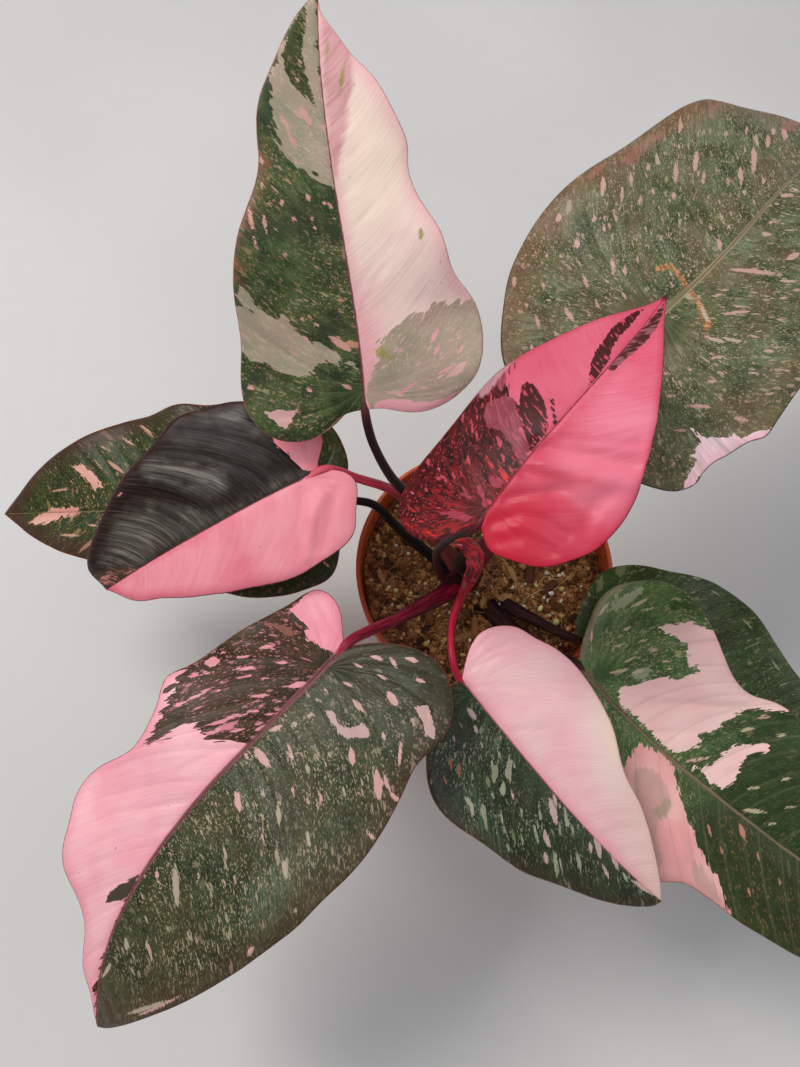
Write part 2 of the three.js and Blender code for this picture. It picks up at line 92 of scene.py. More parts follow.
def vnoise(p, seed=0):
    p = np.asarray(p, float)
    i = np.floor(p).astype(np.int64)
    f = p - i
    f = f * f * (3 - 2 * f)
    r = 0
    for dx in (0, 1):
        for dy in (0, 1):
            for dz in (0, 1):
                w = (f[..., 0] if dx else 1 - f[..., 0]) * (f[..., 1] if dy else 1 - f[..., 1]) * (f[..., 2] if dz else 1 - f[..., 2])
                r = r + w * hash01(i[..., 0] + dx, i[..., 1] + dy, i[..., 2] + dz, seed)
    return r * 2 - 1


def fbm(p, octaves=4, seed=0, gain=0.5):
    p = np.asarray(p, float)
    r, a = 0, 1.0
    for o in range(octaves):
        r = r + a * vnoise(p, seed + o * 17)
        p = p * 2.03 + 11.7
        a *= gain
    return r


def catmull(pts, n, steps=12):
    """even samples along a centripetal Catmull-Rom curve through pts (any dimension)"""
    P = np.asarray(pts, float)
    Q = np.vstack([2 * P[0] - P[1], P, 2 * P[-1] - P[-2]])
    out = []
    for i in range(1, len(Q) - 2):
        p0, p1, p2, p3 = Q[i - 1], Q[i], Q[i + 1], Q[i + 2]
        d = lambda a, b: max(np.linalg.norm((b - a)[:3]), 1e-6) ** 0.5
        t0 = 0.0
        t1 = t0 + d(p0, p1)
        t2 = t1 + d(p1, p2)
        t3 = t2 + d(p2, p3)
        t = np.linspace(t1, t2, steps, endpoint=False)[:, None]
        A1 = (t1 - t) / (t1 - t0) * p0 + (t - t0) / (t1 - t0) * p1
        A2 = (t2 - t) / (t2 - t1) * p1 + (t - t1) / (t2 - t1) * p2
        A3 = (t3 - t) / (t3 - t2) * p2 + (t - t2) / (t3 - t2) * p3
        B1 = (t2 - t) / (t2 - t0) * A1 + (t - t0) / (t2 - t0) * A2
        B2 = (t3 - t) / (t3 - t1) * A2 + (t - t1) / (t3 - t1) * A3
        out.append((t2 - t) / (t2 - t1) * B1 + (t - t1) / (t2 - t1) * B2)
    out.append(P[-1:])
    C = np.vstack(out)
    s = np.concatenate([[0], np.cumsum(np.linalg.norm(np.diff(C[:, :3], axis=0), axis=1))])
    q = np.linspace(0, s[-1], n)
    return np.stack([np.interp(q, s, C[:, k]) for k in range(C.shape[1])], 1)


def seg_dist(P, A, B):
    """distance from points P (n,2) to segment A-B, and the place along it"""
    d = B - A
    t = np.clip(((P - A) @ d) / max(d @ d, 1e-9), 0, 1)
    return np.linalg.norm(P - A - t[:, None] * d, axis=1), t


def poly_sd(P, poly):
    """signed distance to a closed outline, positive inside"""
    poly = np.asarray(poly, float)
    best = np.full(len(P), 1e9)
    inside = np.zeros(len(P), bool)
    n = len(poly)
    for i in range(n):
        A, B = poly[i], poly[(i + 1) % n]
        dist, _ = seg_dist(P, A, B)
        best = np.minimum(best, dist)
        c = (A[1] > P[:, 1]) != (B[1] > P[:, 1])
        x = A[0] + (P[:, 1] - A[1]) / (B[1] - A[1] if B[1] != A[1] else 1e-9) * (B[0] - A[0])
        inside ^= c & (P[:, 0] < x)
    return np.where(inside, best, -best)


def add_object(name, verts, faces, mat=None, attrs=None, uv=None, smooth=True):
    """verts in mm; faces a list of index lists; attrs name -> array per vertex; uv per vertex"""
    me = bpy.data.meshes.new(name)
    me.from_pydata((np.asarray(verts) * MM).tolist(), [], faces)
    me.validate(clean_customdata=False)
    for k, v in (attrs or {}).items():
        v = np.asarray(v, np.float32)
        if v.ndim == 1:
            a = me.attributes.new(k, "FLOAT", "POINT")
            a.data.foreach_set("value", v)
        else:
            a = me.attributes.new(k, "FLOAT_VECTOR", "POINT")
            a.data.foreach_set("vector", v.ravel())
    if uv is not None:
        lay = me.uv_layers.new(name="OFBake")
        li = np.zeros(len(me.loops), np.int64)
        me.loops.foreach_get("vertex_index", li)
        lay.data.foreach_set("uv", np.asarray(uv, np.float32)[li].ravel())
    if smooth:
        me.polygons.foreach_set("use_smooth", np.ones(len(me.polygons), bool))
    me.update()
    o = bpy.data.objects.new(name, me)
    scene.collection.objects.link(o)
    if mat:
        me.materials.append(mat)
    return o


def place(o, slot, *nodes):
    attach(o, "root")
    if nodes:
        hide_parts(*nodes)
    return o


# ------------------------------------------------------------------ material graph helper
class Graph:
    def __init__(s, name):
        s.mat = bpy.data.materials.new(name)
        s.mat.use_nodes = True
        s.t = s.mat.node_tree
        s.t.nodes.clear()
        out = s.t.nodes.new("ShaderNodeOutputMaterial")
        s.bsdf = s.t.nodes.new("ShaderNodeBsdfPrincipled")
        s.t.links.new(s.bsdf.outputs[0], out.inputs[0])
        s.cache = {}

    def put(s, sock, v):
        if isinstance(v, bpy.types.NodeSocket):
            s.t.links.new(v, sock)
        elif isinstance(v, (tuple, list)):
            if sock.type == "RGBA" and len(v) == 3:
                v = (*v, 1)
            sock.default_value = v
        else:
            sock.default_value = v

    def math(s, op, a, b=None, c=None, clamp=False):
        n = s.t.nodes.new("ShaderNodeMath")
        n.operation = op
        n.use_clamp = clamp
        for i, v in enumerate((a, b, c)):
            if v is not None:
                s.put(n.inputs[i], v)
        return n.outputs[0]

    def add(s, a, b): return s.math("ADD", a, b)
    def sub(s, a, b): return s.math("SUBTRACT", a, b)
    def mul(s, a, b): return s.math("MULTIPLY", a, b)
    def mad(s, a, b, c): return s.math("MULTIPLY_ADD", a, b, c)

    def attr(s, name, out="Fac"):
        if (name, out) not in s.cache:
            n = s.t.nodes.new("ShaderNodeAttribute")
            n.attribute_name = name
            s.cache[(name, out)] = n.outputs[out]
        return s.cache[(name, out)]

    def xyz(s, name):
        k = ("xyz", name)
        if k not in s.cache:
            n = s.t.nodes.new("ShaderNodeSeparateXYZ")
            s.put(n.inputs[0], s.attr(name, "Vector"))
            s.cache[k] = tuple(n.outputs)
        return s.cache[k]

    def vec(s, x, y, z=0.0):
        n = s.t.nodes.new("ShaderNodeCombineXYZ")
        s.put(n.inputs[0], x)
        s.put(n.inputs[1], y)
        s.put(n.inputs[2], z)
        return n.outputs[0]

    def vmul(s, v, k):
        n = s.t.nodes.new("ShaderNodeVectorMath")
        n.operation = "MULTIPLY"
        s.put(n.inputs[0], v)
        n.inputs[1].default_value = k
        return n.outputs[0]

    def vadd(s, a, b):
        n = s.t.nodes.new("ShaderNodeVectorMath")
        n.operation = "ADD"
        s.put(n.inputs[0], a)
        s.put(n.inputs[1], b)
        return n.outputs[0]

    def noise(s, v, scale=1.0, detail=2.0, rough=0.5, dist=0.0, out=0):
        n = s.t.nodes.new("ShaderNodeTexNoise")
        n.noise_dimensions = "3D"
        s.put(n.inputs["Vector"], v)
        n.inputs["Scale"].default_value = scale
        n.inputs["Detail"].default_value = detail
        n.inputs["Roughness"].default_value = rough
        n.inputs["Distortion"].default_value = dist
        return n.outputs[out]

    def voronoi(s, v, scale=1.0, feature="F1", rand=1.0):
        n = s.t.nodes.new("ShaderNodeTexVoronoi")
        n.voronoi_dimensions = "2D" if feature != "3D" else "3D"
        n.feature = feature if feature != "3D" else "F1"
        s.put(n.inputs["Vector"], v)
        n.inputs["Scale"].default_value = scale
        n.inputs["Randomness"].default_value = rand
        return n.outputs

    def smooth(s, x, lo, hi, a=0.0, b=1.0, kind="SMOOTHSTEP"):
        n = s.t.nodes.new("ShaderNodeMapRange")
        n.interpolation_type = kind
        n.clamp = True
        s.put(n.inputs[0], x)
        s.put(n.inputs[1], lo)
        s.put(n.inputs[2], hi)
        s.put(n.inputs[3], a)
        s.put(n.inputs[4], b)
        return n.outputs[0]

    def mix(s, f, a, b, mode="MIX"):
        n = s.t.nodes.new("ShaderNodeMix")
        n.data_type = "RGBA"
        n.blend_type = mode
        n.clamp_factor = True
        s.put(n.inputs[0], f)
        s.put(n.inputs[6], a)
        s.put(n.inputs[7], b)
        return n.outputs[2]

    def ramp(s, f, stops):
        n = s.t.nodes.new("ShaderNodeValToRGB")
        s.put(n.inputs[0], f)
        e = n.color_ramp.elements
        while len(e) < len(stops):
            e.new(0.5)
        for el, (p, c) in zip(e, stops):
            el.position = p
            el.color = c
        return n.outputs[0]

    def bump(s, height, distance, strength=1.0, normal=None):
        n = s.t.nodes.new("ShaderNodeBump")
        n.inputs["Strength"].default_value = strength
        n.inputs["Distance"].default_value = distance
        s.put(n.inputs["Height"], height)
        if normal is not None:
            s.put(n.inputs["Normal"], normal)
        return n.outputs[0]

    def position(s, k=1000.0):
        key = ("pos", k)
        if key not in s.cache:
            n = s.t.nodes.new("ShaderNodeTexCoord")
            s.cache[key] = s.vmul(n.outputs["Object"], (k, k, k))
        return s.cache[key]

    def finish(s, color, rough, normal=None, **const):
        s.put(s.bsdf.inputs["Base Color"], color)
        s.put(s.bsdf.inputs["Roughness"], rough)
        if normal is not None:
            s.put(s.bsdf.inputs["Normal"], normal)
        for k, v in const.items():
            s.bsdf.inputs[k.replace("_", " ")].default_value = v
        return s.mat


# ------------------------------------------------------------------ the plant, in millimetres
# Each leaf: how its flat blade is bent, its outline, its sectors and its drawn flecks
LEAVES = [
    dict(
        name="top_left", joint=(-52.28, 30.37, 196), along=(-0.10177, 0.79662, 0.59585), up=(0.07551, -0.59105, 0.8031),
        length=138.07, start=0.1396, arch=0.2793, power=1.0, lobe=-0.3491,
        fold=(0.2094, 0.0349, 0.2443, -0.0349), ripple=((2.5, 62, 2.2), (3, 48, 0.4)), bow=(8.12, -27.6), quilt=(0.3, 0.08), vein_depth=(0.16, 0.05), crease=(2.5, 0.6), wave=0.7,
        folds=[
            ([(32.3, 0.7), (40.8, 5.7), (49.7, 12.4)], 1.3, -0.22),
            ([(40, 0.1), (49.5, 6.7), (57.5, 16)], 1.2, -0.2),
            ([(56.9, -0.4), (66, 6.4), (70.4, 10.4)], 1.2, -0.15),
            ([(71.7, -0.7), (79.1, 4.5)], 1.2, -0.15),
        ],
        left=[(0.1, -3.8), (-0.4, -7.5), (-2, -10.9), (-4.3, -13.9), (-6.3, -17.1), (-7.6, -20.6), (-8.1, -24.4), (-7.7, -28.1), (-6.7, -31.8), (-4.9, -35.1),
        (-2.4, -38), (0.6, -40.3), (4, -42.2), (7.5, -43.5), (11.3, -44), (15.1, -44), (18.9, -43.6), (22.7, -42.9), (26.5, -42.2), (30.3, -41.7),
        (34.2, -41.4), (38, -41.3), (41.9, -41.3), (45.7, -41.1), (49.5, -40.7), (53.3, -40), (57.1, -39.2), (60.8, -38.2), (64.5, -37), (68, -35.5),
        (71.4, -33.7), (74.8, -31.9), (78.2, -30), (81.6, -28.4), (85.3, -27.1), (89, -26.4), (92.8, -26.2), (96.7, -25.9), (100.5, -25.4), (104.2, -24.4),
        (107.7, -23), (111.1, -21.1), (114.4, -19.1), (117.7, -17.1), (121, -15.1), (124.3, -13.1), (127.4, -10.9), (130.5, -8.6), (133.3, -6), (135.9, -3.1),],
        right=[(0.3, 3.6), (0.1, 7.3), (-0.7, 10.8), (-1.5, 14.4), (-2, 18), (-2, 21.7), (-1.3, 25.3), (-0.1, 28.7), (1.6, 32), (3.7, 34.9),
        (6.1, 37.7), (8.7, 40.3), (11.7, 42.4), (15, 43.9), (18.5, 45), (22.1, 45.6), (25.7, 45.8), (29.4, 45.5), (32.9, 44.7), (36.2, 43.2),
        (39.3, 41.2), (42.2, 39), (45.3, 37), (48.6, 35.6), (52.2, 34.8), (55.7, 34), (59.3, 33), (62.6, 31.5), (65.8, 29.7), (69, 27.9),
        (72.3, 26.3), (75.8, 25.1), (79.3, 24.3), (82.9, 24.2), (86.5, 24.6), (90.1, 24.2), (93.5, 23), (96.9, 21.6), (100.3, 20.1), (103.6, 18.7),
        (106.9, 17), (110.1, 15.1), (112.9, 12.9), (115.7, 10.4), (118.6, 8.2), (121.7, 6.3), (124.9, 4.5), (127.9, 2.5), (131, 0.7), (134.4, 0),],
        patches={
            "dark": [[(134.7, -5.3), (131.1, -4.7), (123.5, -6.7), (117.4, -7.5), (109.8, -6.5), (103.6, -4.9), (107.4, -9.8), (109.9, -12.2), (114.4, -13.9), (119, -14.2),
            (126.5, -10.6), (131.9, -7.3),]],
            "sage": [[(120.5, -14.4), (126.5, -10.6), (136.8, -5), (138.6, 0.2), (129.6, -0.9), (111.2, -2.6), (92.5, -1.5), (76.5, -0.8), (76.7, -1.8), (79.4, -5),
            (83, -12.1), (87, -16), (93.4, -19.1), (99.6, -20.2), (107.1, -20.2), (113, -19), (116.9, -16.5),], [(48.4, -38.5), (45.5, -36.6), (41, -34.6), (36.9, -28.3), (36.9, -24.8), (33.9, -22.4), (30.2, -20.4), (25, -12.1), (18, -2.5), (15.2, -1),
            (18.8, -5.5), (20.2, -10.8), (19.3, -15.4), (16.9, -18.6), (15.5, -22.5), (17, -25.9), (19.5, -29.2), (22, -32.4), (23.4, -39.4), (27.3, -43.1),
            (37.7, -41.9),]],
            "pinkL": [[(5.5, -37.7), (4, -25.2), (0.7, -27.1), (-1.8, -30.4), (1, -33.7),]],
            "cream": [[(105, 7.7), (99.4, 14.8), (89.6, 21.5), (81.8, 22.8), (74.1, 20.6), (67.3, 18.4), (61.8, 9.5), (67.1, 3), (80.9, 2.6), (96.1, 5.9),]],
            "mauve": [[(128.7, 0.4), (125.5, 4.7), (118.7, 8.7), (111, 9.1), (105, 8), (98.4, 5.1), (92.5, 2.7), (85.9, 0.8), (79, -0.4), (81.5, -1.9),
            (92.6, -2.2), (105, -1.6), (117.2, -1.1),]],
            "grey": [[(4.5, 0.9), (11.2, 2.4), (16.5, 5.6), (23.6, 7.4), (26.9, 10.3), (30, 14.3), (32.2, 17.4), (33.5, 25.5), (36.3, 28.3), (36.9, 31.9),
            (35.8, 36.6), (35.7, 44), (30, 48.1), (19.9, 47.8), (11.8, 45.3), (6.8, 40.7), (1.5, 34.8), (-2.7, 28), (-4.3, 18.5), (-2.8, 9.2),
            (-0.9, 2.6),]],
            "pinkB": [[(1.8, 2.9), (3.8, 8), (3.8, 13.6), (1.8, 20.8), (2.7, 30.1), (5.9, 37.5), (10, 42), (4.2, 39.6), (0, 33.6), (-2.1, 26.1),
            (-3.1, 18.6), (-1.8, 11.2), (-0.6, 3.8),]],
            "darkR": [[(2.1, 31.9), (4.5, 36.3), (7.2, 40), (10.6, 42.4), (14.6, 44.9), (11.1, 45.6), (5.9, 42.9), (2, 38.5), (0.4, 34),]],
        },
        flecks=[((94.4, -15.6), (90.2, -12.5), 1.73, "p"), ((103.1, -10.4), (97.2, -7.5), 1.73, "p"), ((101.5, -17), (93.1, -14.4), 1.36, "p"), ((76, -12), (73.7, -10.9), 1.62, "p"),
            ((69.1, -17.8), (68, -16.5), 1.62, "p"), ((72.7, -4.8), (70.6, -3.3), 1.44, "p"), ((73.4, -6.8), (71.8, -5.9), 1.1, "p"), ((89, -25.8), (86.1, -25.2), 1.22, "p"),
            ((81.2, -26.6), (78.4, -26.3), 1.23, "p"), ((75.1, -20.7), (72.8, -20.3), 1.24, "p"), ((74.7, -31.9), (66, -31.4), 1.6, "p"), ((27.5, -9.5), (22.7, -2.7), 2.71, "p"),
            ((28.4, -8.7), (26.3, -5.6), 1.53, "p"), ((11.4, -20.9), (10, -18.8), 1.37, "p"), ((11, -7.5), (8.6, -4), 1.59, "p"), ((14.9, -41.8), (13.3, -39.5), 1.72, "p"),
            ((65.7, -11), (64.6, -10), 1.27, "p"), ((36.6, -19.5), (34.4, -17.7), 1.32, "p"), ((34.1, -15.2), (32.5, -13.3), 1.33, "p"), ((66.7, -24.2), (65, -23.1), 1.08, "p"),
            ((71.4, -27.3), (64, -27), 1.24, "p"), ((57.9, -22.4), (56.4, -20.9), 1.09, "p"), ((64.4, -31.6), (58.6, -30.8), 1.07, "p"), ((117.7, -8.8), (115.6, -8.1), 1.37, "p"),
            ((112.3, -10.5), (110.4, -9.7), 1.21, "p"), ((68.6, -11.6), (67.3, -10.7), 1.1, "p"), ((115.4, 6.5), (105.1, 3.2), 1.6, "g"), ((21.9, 5.8), (19, 11.4), 2.9, "g"),
            ((19.1, 9.2), (18.4, 14.2), 1.81, "g"), ((23.2, 7.4), (22, 9.5), 1.81, "g"), ((61.6, 26), (57.4, 26), 2.31, "g"), ((122.9, 1.7), (117.6, 0.7), 1.28, "g"),
            ((27.1, 30), (22.7, 26.3), 1.76, "p"), ((21.6, 29.8), (18.8, 27.3), 1.41, "p"), ((13.8, 33), (11.7, 27.8), 1.41, "p"), ((20.8, 38.4), (18, 35.6), 1.04, "p"),
            ((9.7, 20.4), (5.3, 13.4), 1.46, "p"), ((22.2, 15.7), (19.9, 14), 1.07, "p"), ((103.7, -10.3), (98.1, -7), 1.28, "p"), ((101.9, -17.6), (95.7, -15.8), 0.95, "p"),
            ((87.9, -15.2), (84.9, -12.8), 0.65, "p"), ((28.7, -10.5), (24, -4.1), 1.6, "p"),],
    ),
    dict(
        name="back_right", joint=(75.41, 83.64, 200), along=(0.68754, 0.68575, -0.23882), up=(0.16909, 0.16865, 0.97106),
        length=151.68, start=0.3100, arch=0.8727, power=1.8, lobe=-0.1745,
        fold=(0.1047, -0.1396, 0.1047, -0.1396), ripple=((2, 70, 0.5), (2.5, 60, 2)), bow=(4.67, -44.23), heel=-28.0, quilt=0.4, vein_depth=0.14, slope=0.85, sweep=0.28,
        left=[(-36.7, 0.4), (-44, 0.4), (-51.3, 0.3), (-58.5, -0.3), (-65.5, -1.7), (-71.9, -4.4), (-77.1, -8.6), (-80.2, -14.1), (-80.8, -20.4), (-78.9, -26.6),
        (-75, -32.3), (-70, -37.4), (-64.4, -42.1), (-58.6, -46.5), (-52.6, -50.8), (-46.5, -54.7), (-40.1, -58.3), (-33.5, -61.6), (-26.8, -64.5), (-20, -66.9),
        (-13, -68.6), (-5.8, -69.3), (1.4, -69.2), (8.6, -68.5), (15.8, -67.8), (23, -67.5), (30.3, -67.5), (37.6, -67.6), (44.9, -67.3), (52.2, -66.5),
        (59.4, -65.2), (66.5, -63.5), (73.6, -61.7), (80.6, -59.6), (87.5, -57.2), (94.2, -54.3), (100.8, -51.1), (107.2, -47.5), (113.3, -43.5), (119.2, -39.2),
        (124.7, -34.4), (130, -29.4), (134.9, -24), (139.5, -18.3), (143.8, -12.3), (147.8, -6.2),],
        right=[(-34.2, 4.9), (-40.9, 6.5), (-47.5, 8.3), (-54.1, 10.6), (-60.4, 13.3), (-66.5, 16.6), (-72.2, 20.5), (-76.9, 25.5), (-80, 31.6), (-80, 38.4),
        (-77.5, 44.8), (-73.9, 50.6), (-68.1, 54), (-61.3, 53.3), (-54.5, 53.5), (-47.7, 54.9), (-40.9, 55.9), (-34.2, 57.4), (-28.1, 60.5), (-21.4, 59.5),
        (-14.6, 58.3), (-7.7, 57.4), (-0.8, 57.3), (6.1, 57.3), (13, 57.2), (19.9, 56.7), (26.7, 55.9), (33.6, 54.9), (40.3, 53.6), (47.1, 52),
        (53.7, 50.2), (60.3, 48.2), (66.9, 46), (73.3, 43.5), (79.7, 40.8), (86, 38), (92.2, 35), (98.4, 32), (104.6, 28.8), (110.7, 25.6),
        (116.7, 22.2), (122.6, 18.6), (128.4, 14.9), (134.2, 11.1), (140, 7.3), (145.8, 3.6),],
        patches={
            "pink": [[(-49.7, 39.6), (-51.1, 42.9), (-41.7, 49), (-30.5, 56.9), (-24.8, 60), (-30.4, 60.3), (-36.1, 58.1), (-42.6, 56.2), (-52.5, 54.9), (-61, 53.8),
            (-65.7, 53.8), (-70.8, 54.6), (-73.1, 52.1), (-67.6, 50.7), (-64.1, 48.8), (-60, 48.1), (-59.7, 45.6), (-51.3, 45.5),]],
            "scar": [[(-4.1, -15.5), (-1.2, -13.9), (2, -12.5), (1.9, -9.3), (0.9, -5.4), (-0.2, -0.8), (-1.8, 3.8), (-3.5, 7), (-5.2, 10.1), (-7.7, 14.4),
            (-10.5, 18), (-13.4, 17.4), (-12.7, 15.5), (-10.6, 12.4), (-8, 9), (-5.3, 6.4), (-3.7, 2.4), (-1.9, -2.5), (-0.8, -7), (-0.7, -10.7),
            (-3.6, -12.4), (-5.6, -13.8),]],
            "scarb": [[(-4, 6.4), (-5.8, 10.1), (-8.3, 14.4), (-9.8, 16.1), (-10.1, 14.4), (-7.8, 10.7),]],
            "edge": [[(31.1, -61), (42.2, -64), (52.6, -63.4), (58.2, -60.6), (61.5, -59.1), (54.7, -57.7), (44.9, -58.6), (32.1, -55.9),], [(77.4, -52), (85.8, -53.2), (115.7, -58.1), (83.2, -49.5), (76.1, -48.9),], [(11.6, -65.5), (17.9, -65.4), (25.5, -64.9), (18.4, -62.6), (11.1, -61.9),], [(102.5, -27.1), (158.8, -38.1), (158.1, -32.1), (105.8, -21.1),]],
        },
        flecks=[((57.6, -41.4), (46.2, -34.6), 2.07, "p"), ((49.8, -32.2), (41.5, -27.3), 1.32, "p"), ((47.5, -44.4), (34.3, -35.6), 2, "p"), ((75.3, -25.3), (62, -16.7), 2.5, "p"),
            ((60.6, -22.4), (52.6, -16.2), 2.21, "p"), ((89.2, -25.9), (80.1, -21.4), 2.44, "p"), ((104.5, -24.8), (95, -20.3), 3.03, "p"), ((98, -27.7), (92.2, -25.3), 2.24, "p"),
            ((16.5, -59.6), (7.6, -52.6), 2.2, "p"), ((27.4, -53.7), (19.1, -47), 1.56, "p"), ((16.4, -49.5), (10.2, -44.8), 1.44, "p"), ((-6.5, -62.7), (-9.8, -60.2), 2.21, "p"),
            ((-0.4, -49.7), (-3.1, -47.3), 1.46, "p"), ((-12.6, -48.1), (-15.7, -44.8), 2.38, "p"), ((-11.2, -30.9), (-17.2, -25.3), 1.67, "p"), ((-11.2, -24.8), (-14.9, -21.2), 1.66, "p"),
            ((-4.6, -24.3), (-6.9, -21.3), 1.31, "p"), ((-24.6, -34.3), (-29.5, -28.2), 1.57, "p"), ((-31.2, -22.7), (-34.1, -18.3), 1.35, "p"), ((-42.9, -28.2), (-45.4, -22), 2.41, "p"),
            ((-54.1, -34), (-57.1, -29.3), 1.67, "p"), ((-21.4, -17.3), (-22.9, -14), 1.32, "p"), ((-44.8, -53.2), (-49.3, -49.3), 1.99, "p"), ((25, -6.6), (20.5, -1.9), 2.06, "p"),
            ((15.5, 6.3), (26.4, 20.3), 2.37, "p"), ((60.7, -1.7), (65.6, 2.4), 2.54, "p"), ((38.3, 4.8), (40.2, 7.7), 2.3, "p"), ((44.3, 3.4), (47.8, 5.7), 1.43, "p"),
            ((34.6, 19.5), (40.3, 21.4), 2.67, "p"), ((-3.1, 17.5), (4.6, 23.8), 1.62, "p"), ((1.8, 17.4), (5.6, 22.1), 1.26, "p"), ((-16.1, 17.7), (-14.8, 20.5), 1.21, "p"),
            ((-6.3, 38.1), (-3.8, 42.2), 1.22, "p"), ((-4.4, 30.4), (-2.3, 33.4), 1.21, "p"), ((-21.4, 25.8), (-16.8, 29.6), 1.16, "p"), ((-43.2, 31.5), (-36.2, 38.4), 1.77, "p"),
            ((-31.9, 47.3), (-29.1, 51.5), 1.95, "p"), ((-29.7, 30.9), (-26.8, 33.3), 1.36, "p"), ((-13.2, 38.2), (-12.3, 39.3), 1.01, "p"), ((-13.3, 56.8), (-10.4, 58), 1.64, "p"),
            ((-24.1, 31), (-21.9, 34), 1.14, "p"), ((-30.5, 22.2), (-29.2, 24.1), 1.07, "p"), ((-17.6, 38.4), (-14.3, 42.9), 0.92, "p"), ((8.8, 33), (13.4, 36.2), 1.1, "p"),
            ((-65.1, -27.2), (-66.9, -23.5), 1.43, "p"), ((27.2, -12.5), (24.8, -10.1), 1.34, "p"), ((74.3, -39.1), (71, -37.2), 1.81, "p"), ((83.2, -34.3), (78.1, -31.5), 1.58, "p"),
            ((29.8, -33.3), (26.4, -30.3), 1.47, "p"), ((38.8, -52.2), (33.5, -48.6), 1.74, "p"), ((17.9, -41.3), (13.9, -38), 1.41, "p"), ((5.1, -43.6), (2.2, -40.5), 1.28, "p"),
            ((-24.4, -53.4), (-26.8, -50.9), 1.47, "p"), ((-45.7, 23.7), (-42.5, 27), 1.23, "p"), ((-55.9, 35.1), (-52.3, 38.1), 1.23, "p"), ((-19.2, 49.5), (-16.5, 51.7), 1.04, "p"),
            ((-38.9, 16.4), (-36, 19.8), 1.01, "p"), ((-25.3, 45.6), (-23.6, 48), 0.9, "p"), ((25.3, 29.6), (28.1, 31.6), 1.27, "p"), ((18.3, 28.3), (21.5, 30.5), 1.08, "p"),
            ((0.4, 8.7), (4.1, 11.5), 1.06, "p"), ((25.7, -41.1), (21.8, -37.6), 1.26, "p"), ((-1.8, -43.7), (-4.6, -40.7), 1.05, "p"), ((-39, -43.4), (-41.7, -40.5), 1.45, "p"),
            ((-52.3, -40.8), (-53.9, -38.4), 1.32, "p"), ((-37.8, -21.3), (-39.1, -18.6), 1.08, "p"), ((-54.2, -24.1), (-55.1, -21.2), 1.25, "p"), ((9.7, -23.6), (6.5, -20.9), 1.08, "p"),
            ((24.6, -23.2), (21.4, -20.7), 1.14, "p"), ((52.6, -22.3), (47.8, -19.3), 1.45, "p"), ((64, -12.3), (59.9, -10), 1.5, "p"),],
    ),
    dict(
        name="centre", joint=(-12.97, -22.61, 215), along=(0.63643, 0.74266, 0.20836), up=(-0.05547, -0.22536, 0.97269),
        length=101.41, start=0.1920, arch=0.3840, power=1.0, lobe=0.0000,
        fold=(-0.384, -0.7854, 0.1396, 0), ripple=((1, 50, 0), (2, 46, 1)), bow=(-10.71, 19.93), quilt=(0.12, 0.1), curl=-0.1, crease=(0.6, 1.5), vein_depth=(0.05, 0.07), vein_width=0.9,
        folds=[
            ([(31.1, -1.4), (34.6, 5.7), (38.8, 14.5), (42.6, 23.3), (46.6, 32.5)], 3.4, -1.9),
            ([(27.6, 5.2), (32.8, 15.2), (38.3, 26.7), (41.9, 34.7)], 4.5, 1.2),
            ([(11.7, 1.8), (17.7, 6.9), (24.1, 14.1)], 1.6, -0.8),
            ([(23.5, 12.9), (25.1, 18.1), (25.1, 25.4)], 2.8, -1.3),
            ([(2.9, 3.9), (10.4, 8.7), (13.5, 16.4), (13.8, 24.6)], 2.5, -0.9),
            ([(-0.9, 8.6), (5.8, 14.5), (7.6, 24)], 2.6, -0.7),
            ([(38.4, 3.5), (44.6, 13.9), (52.4, 26.6)], 1.4, -0.6),
            ([(20.8, 27.2), (28.7, 25.7), (33.3, 27.6)], 3, -1),
            ([(21.6, -0.4), (25, 7.2), (27.3, 15.6)], 2.4, -0.9),
            ([(48.9, 10.6), (55.6, 21.2), (57.9, 25.3)], 1.6, 0.3),
        ],
        left=[(-2.9, -1.6), (-5.9, -3.3), (-8.8, -4.9), (-11.5, -6.7), (-13.9, -8.8), (-15.9, -11.2), (-17.3, -14), (-18.2, -17), (-18.5, -20.2), (-18.1, -23.3),
        (-17.2, -26.3), (-15.7, -29), (-13.7, -31.2), (-11.1, -33), (-8.2, -34.2), (-5, -34.9), (-1.7, -35.3), (1.6, -35.3), (5, -35.2), (8.3, -34.9),
        (11.7, -34.7), (15.1, -34.5), (18.4, -34.5), (21.8, -34.5), (25.2, -34.6), (28.6, -34.8), (32, -35), (35.4, -35.1), (38.8, -35.1), (42.2, -34.9),
        (45.5, -34.5), (48.8, -33.8), (52, -32.8), (55.1, -31.5), (58.2, -30.1), (61.2, -28.5), (64.1, -26.8), (67.1, -25), (70, -23.3), (72.9, -21.4),
        (75.7, -19.6), (78.6, -17.7), (81.3, -15.7), (83.9, -13.5), (86.3, -11.2), (88.6, -8.8), (90.8, -6.4), (93.2, -4.2), (95.7, -2.4), (98.5, -1),],
        right=[(-1.7, 2.2), (-3.3, 4.4), (-4.6, 6.7), (-5.1, 9.1), (-4.7, 11.6), (-3.8, 14.1), (-2.8, 16.7), (-1.8, 19.3), (-0.7, 21.8), (0.8, 24.1),
        (2.5, 26.2), (4.6, 28), (6.9, 29.6), (9.2, 31.1), (11.5, 32.5), (14, 33.8), (16.5, 34.8), (19.2, 35.4), (21.9, 35.7), (24.7, 35.9),
        (27.4, 35.9), (30.2, 35.7), (32.9, 35.2), (35.6, 34.6), (38.2, 33.8), (40.8, 32.7), (43.3, 31.7), (45.9, 30.6), (48.4, 29.6), (51, 28.6),
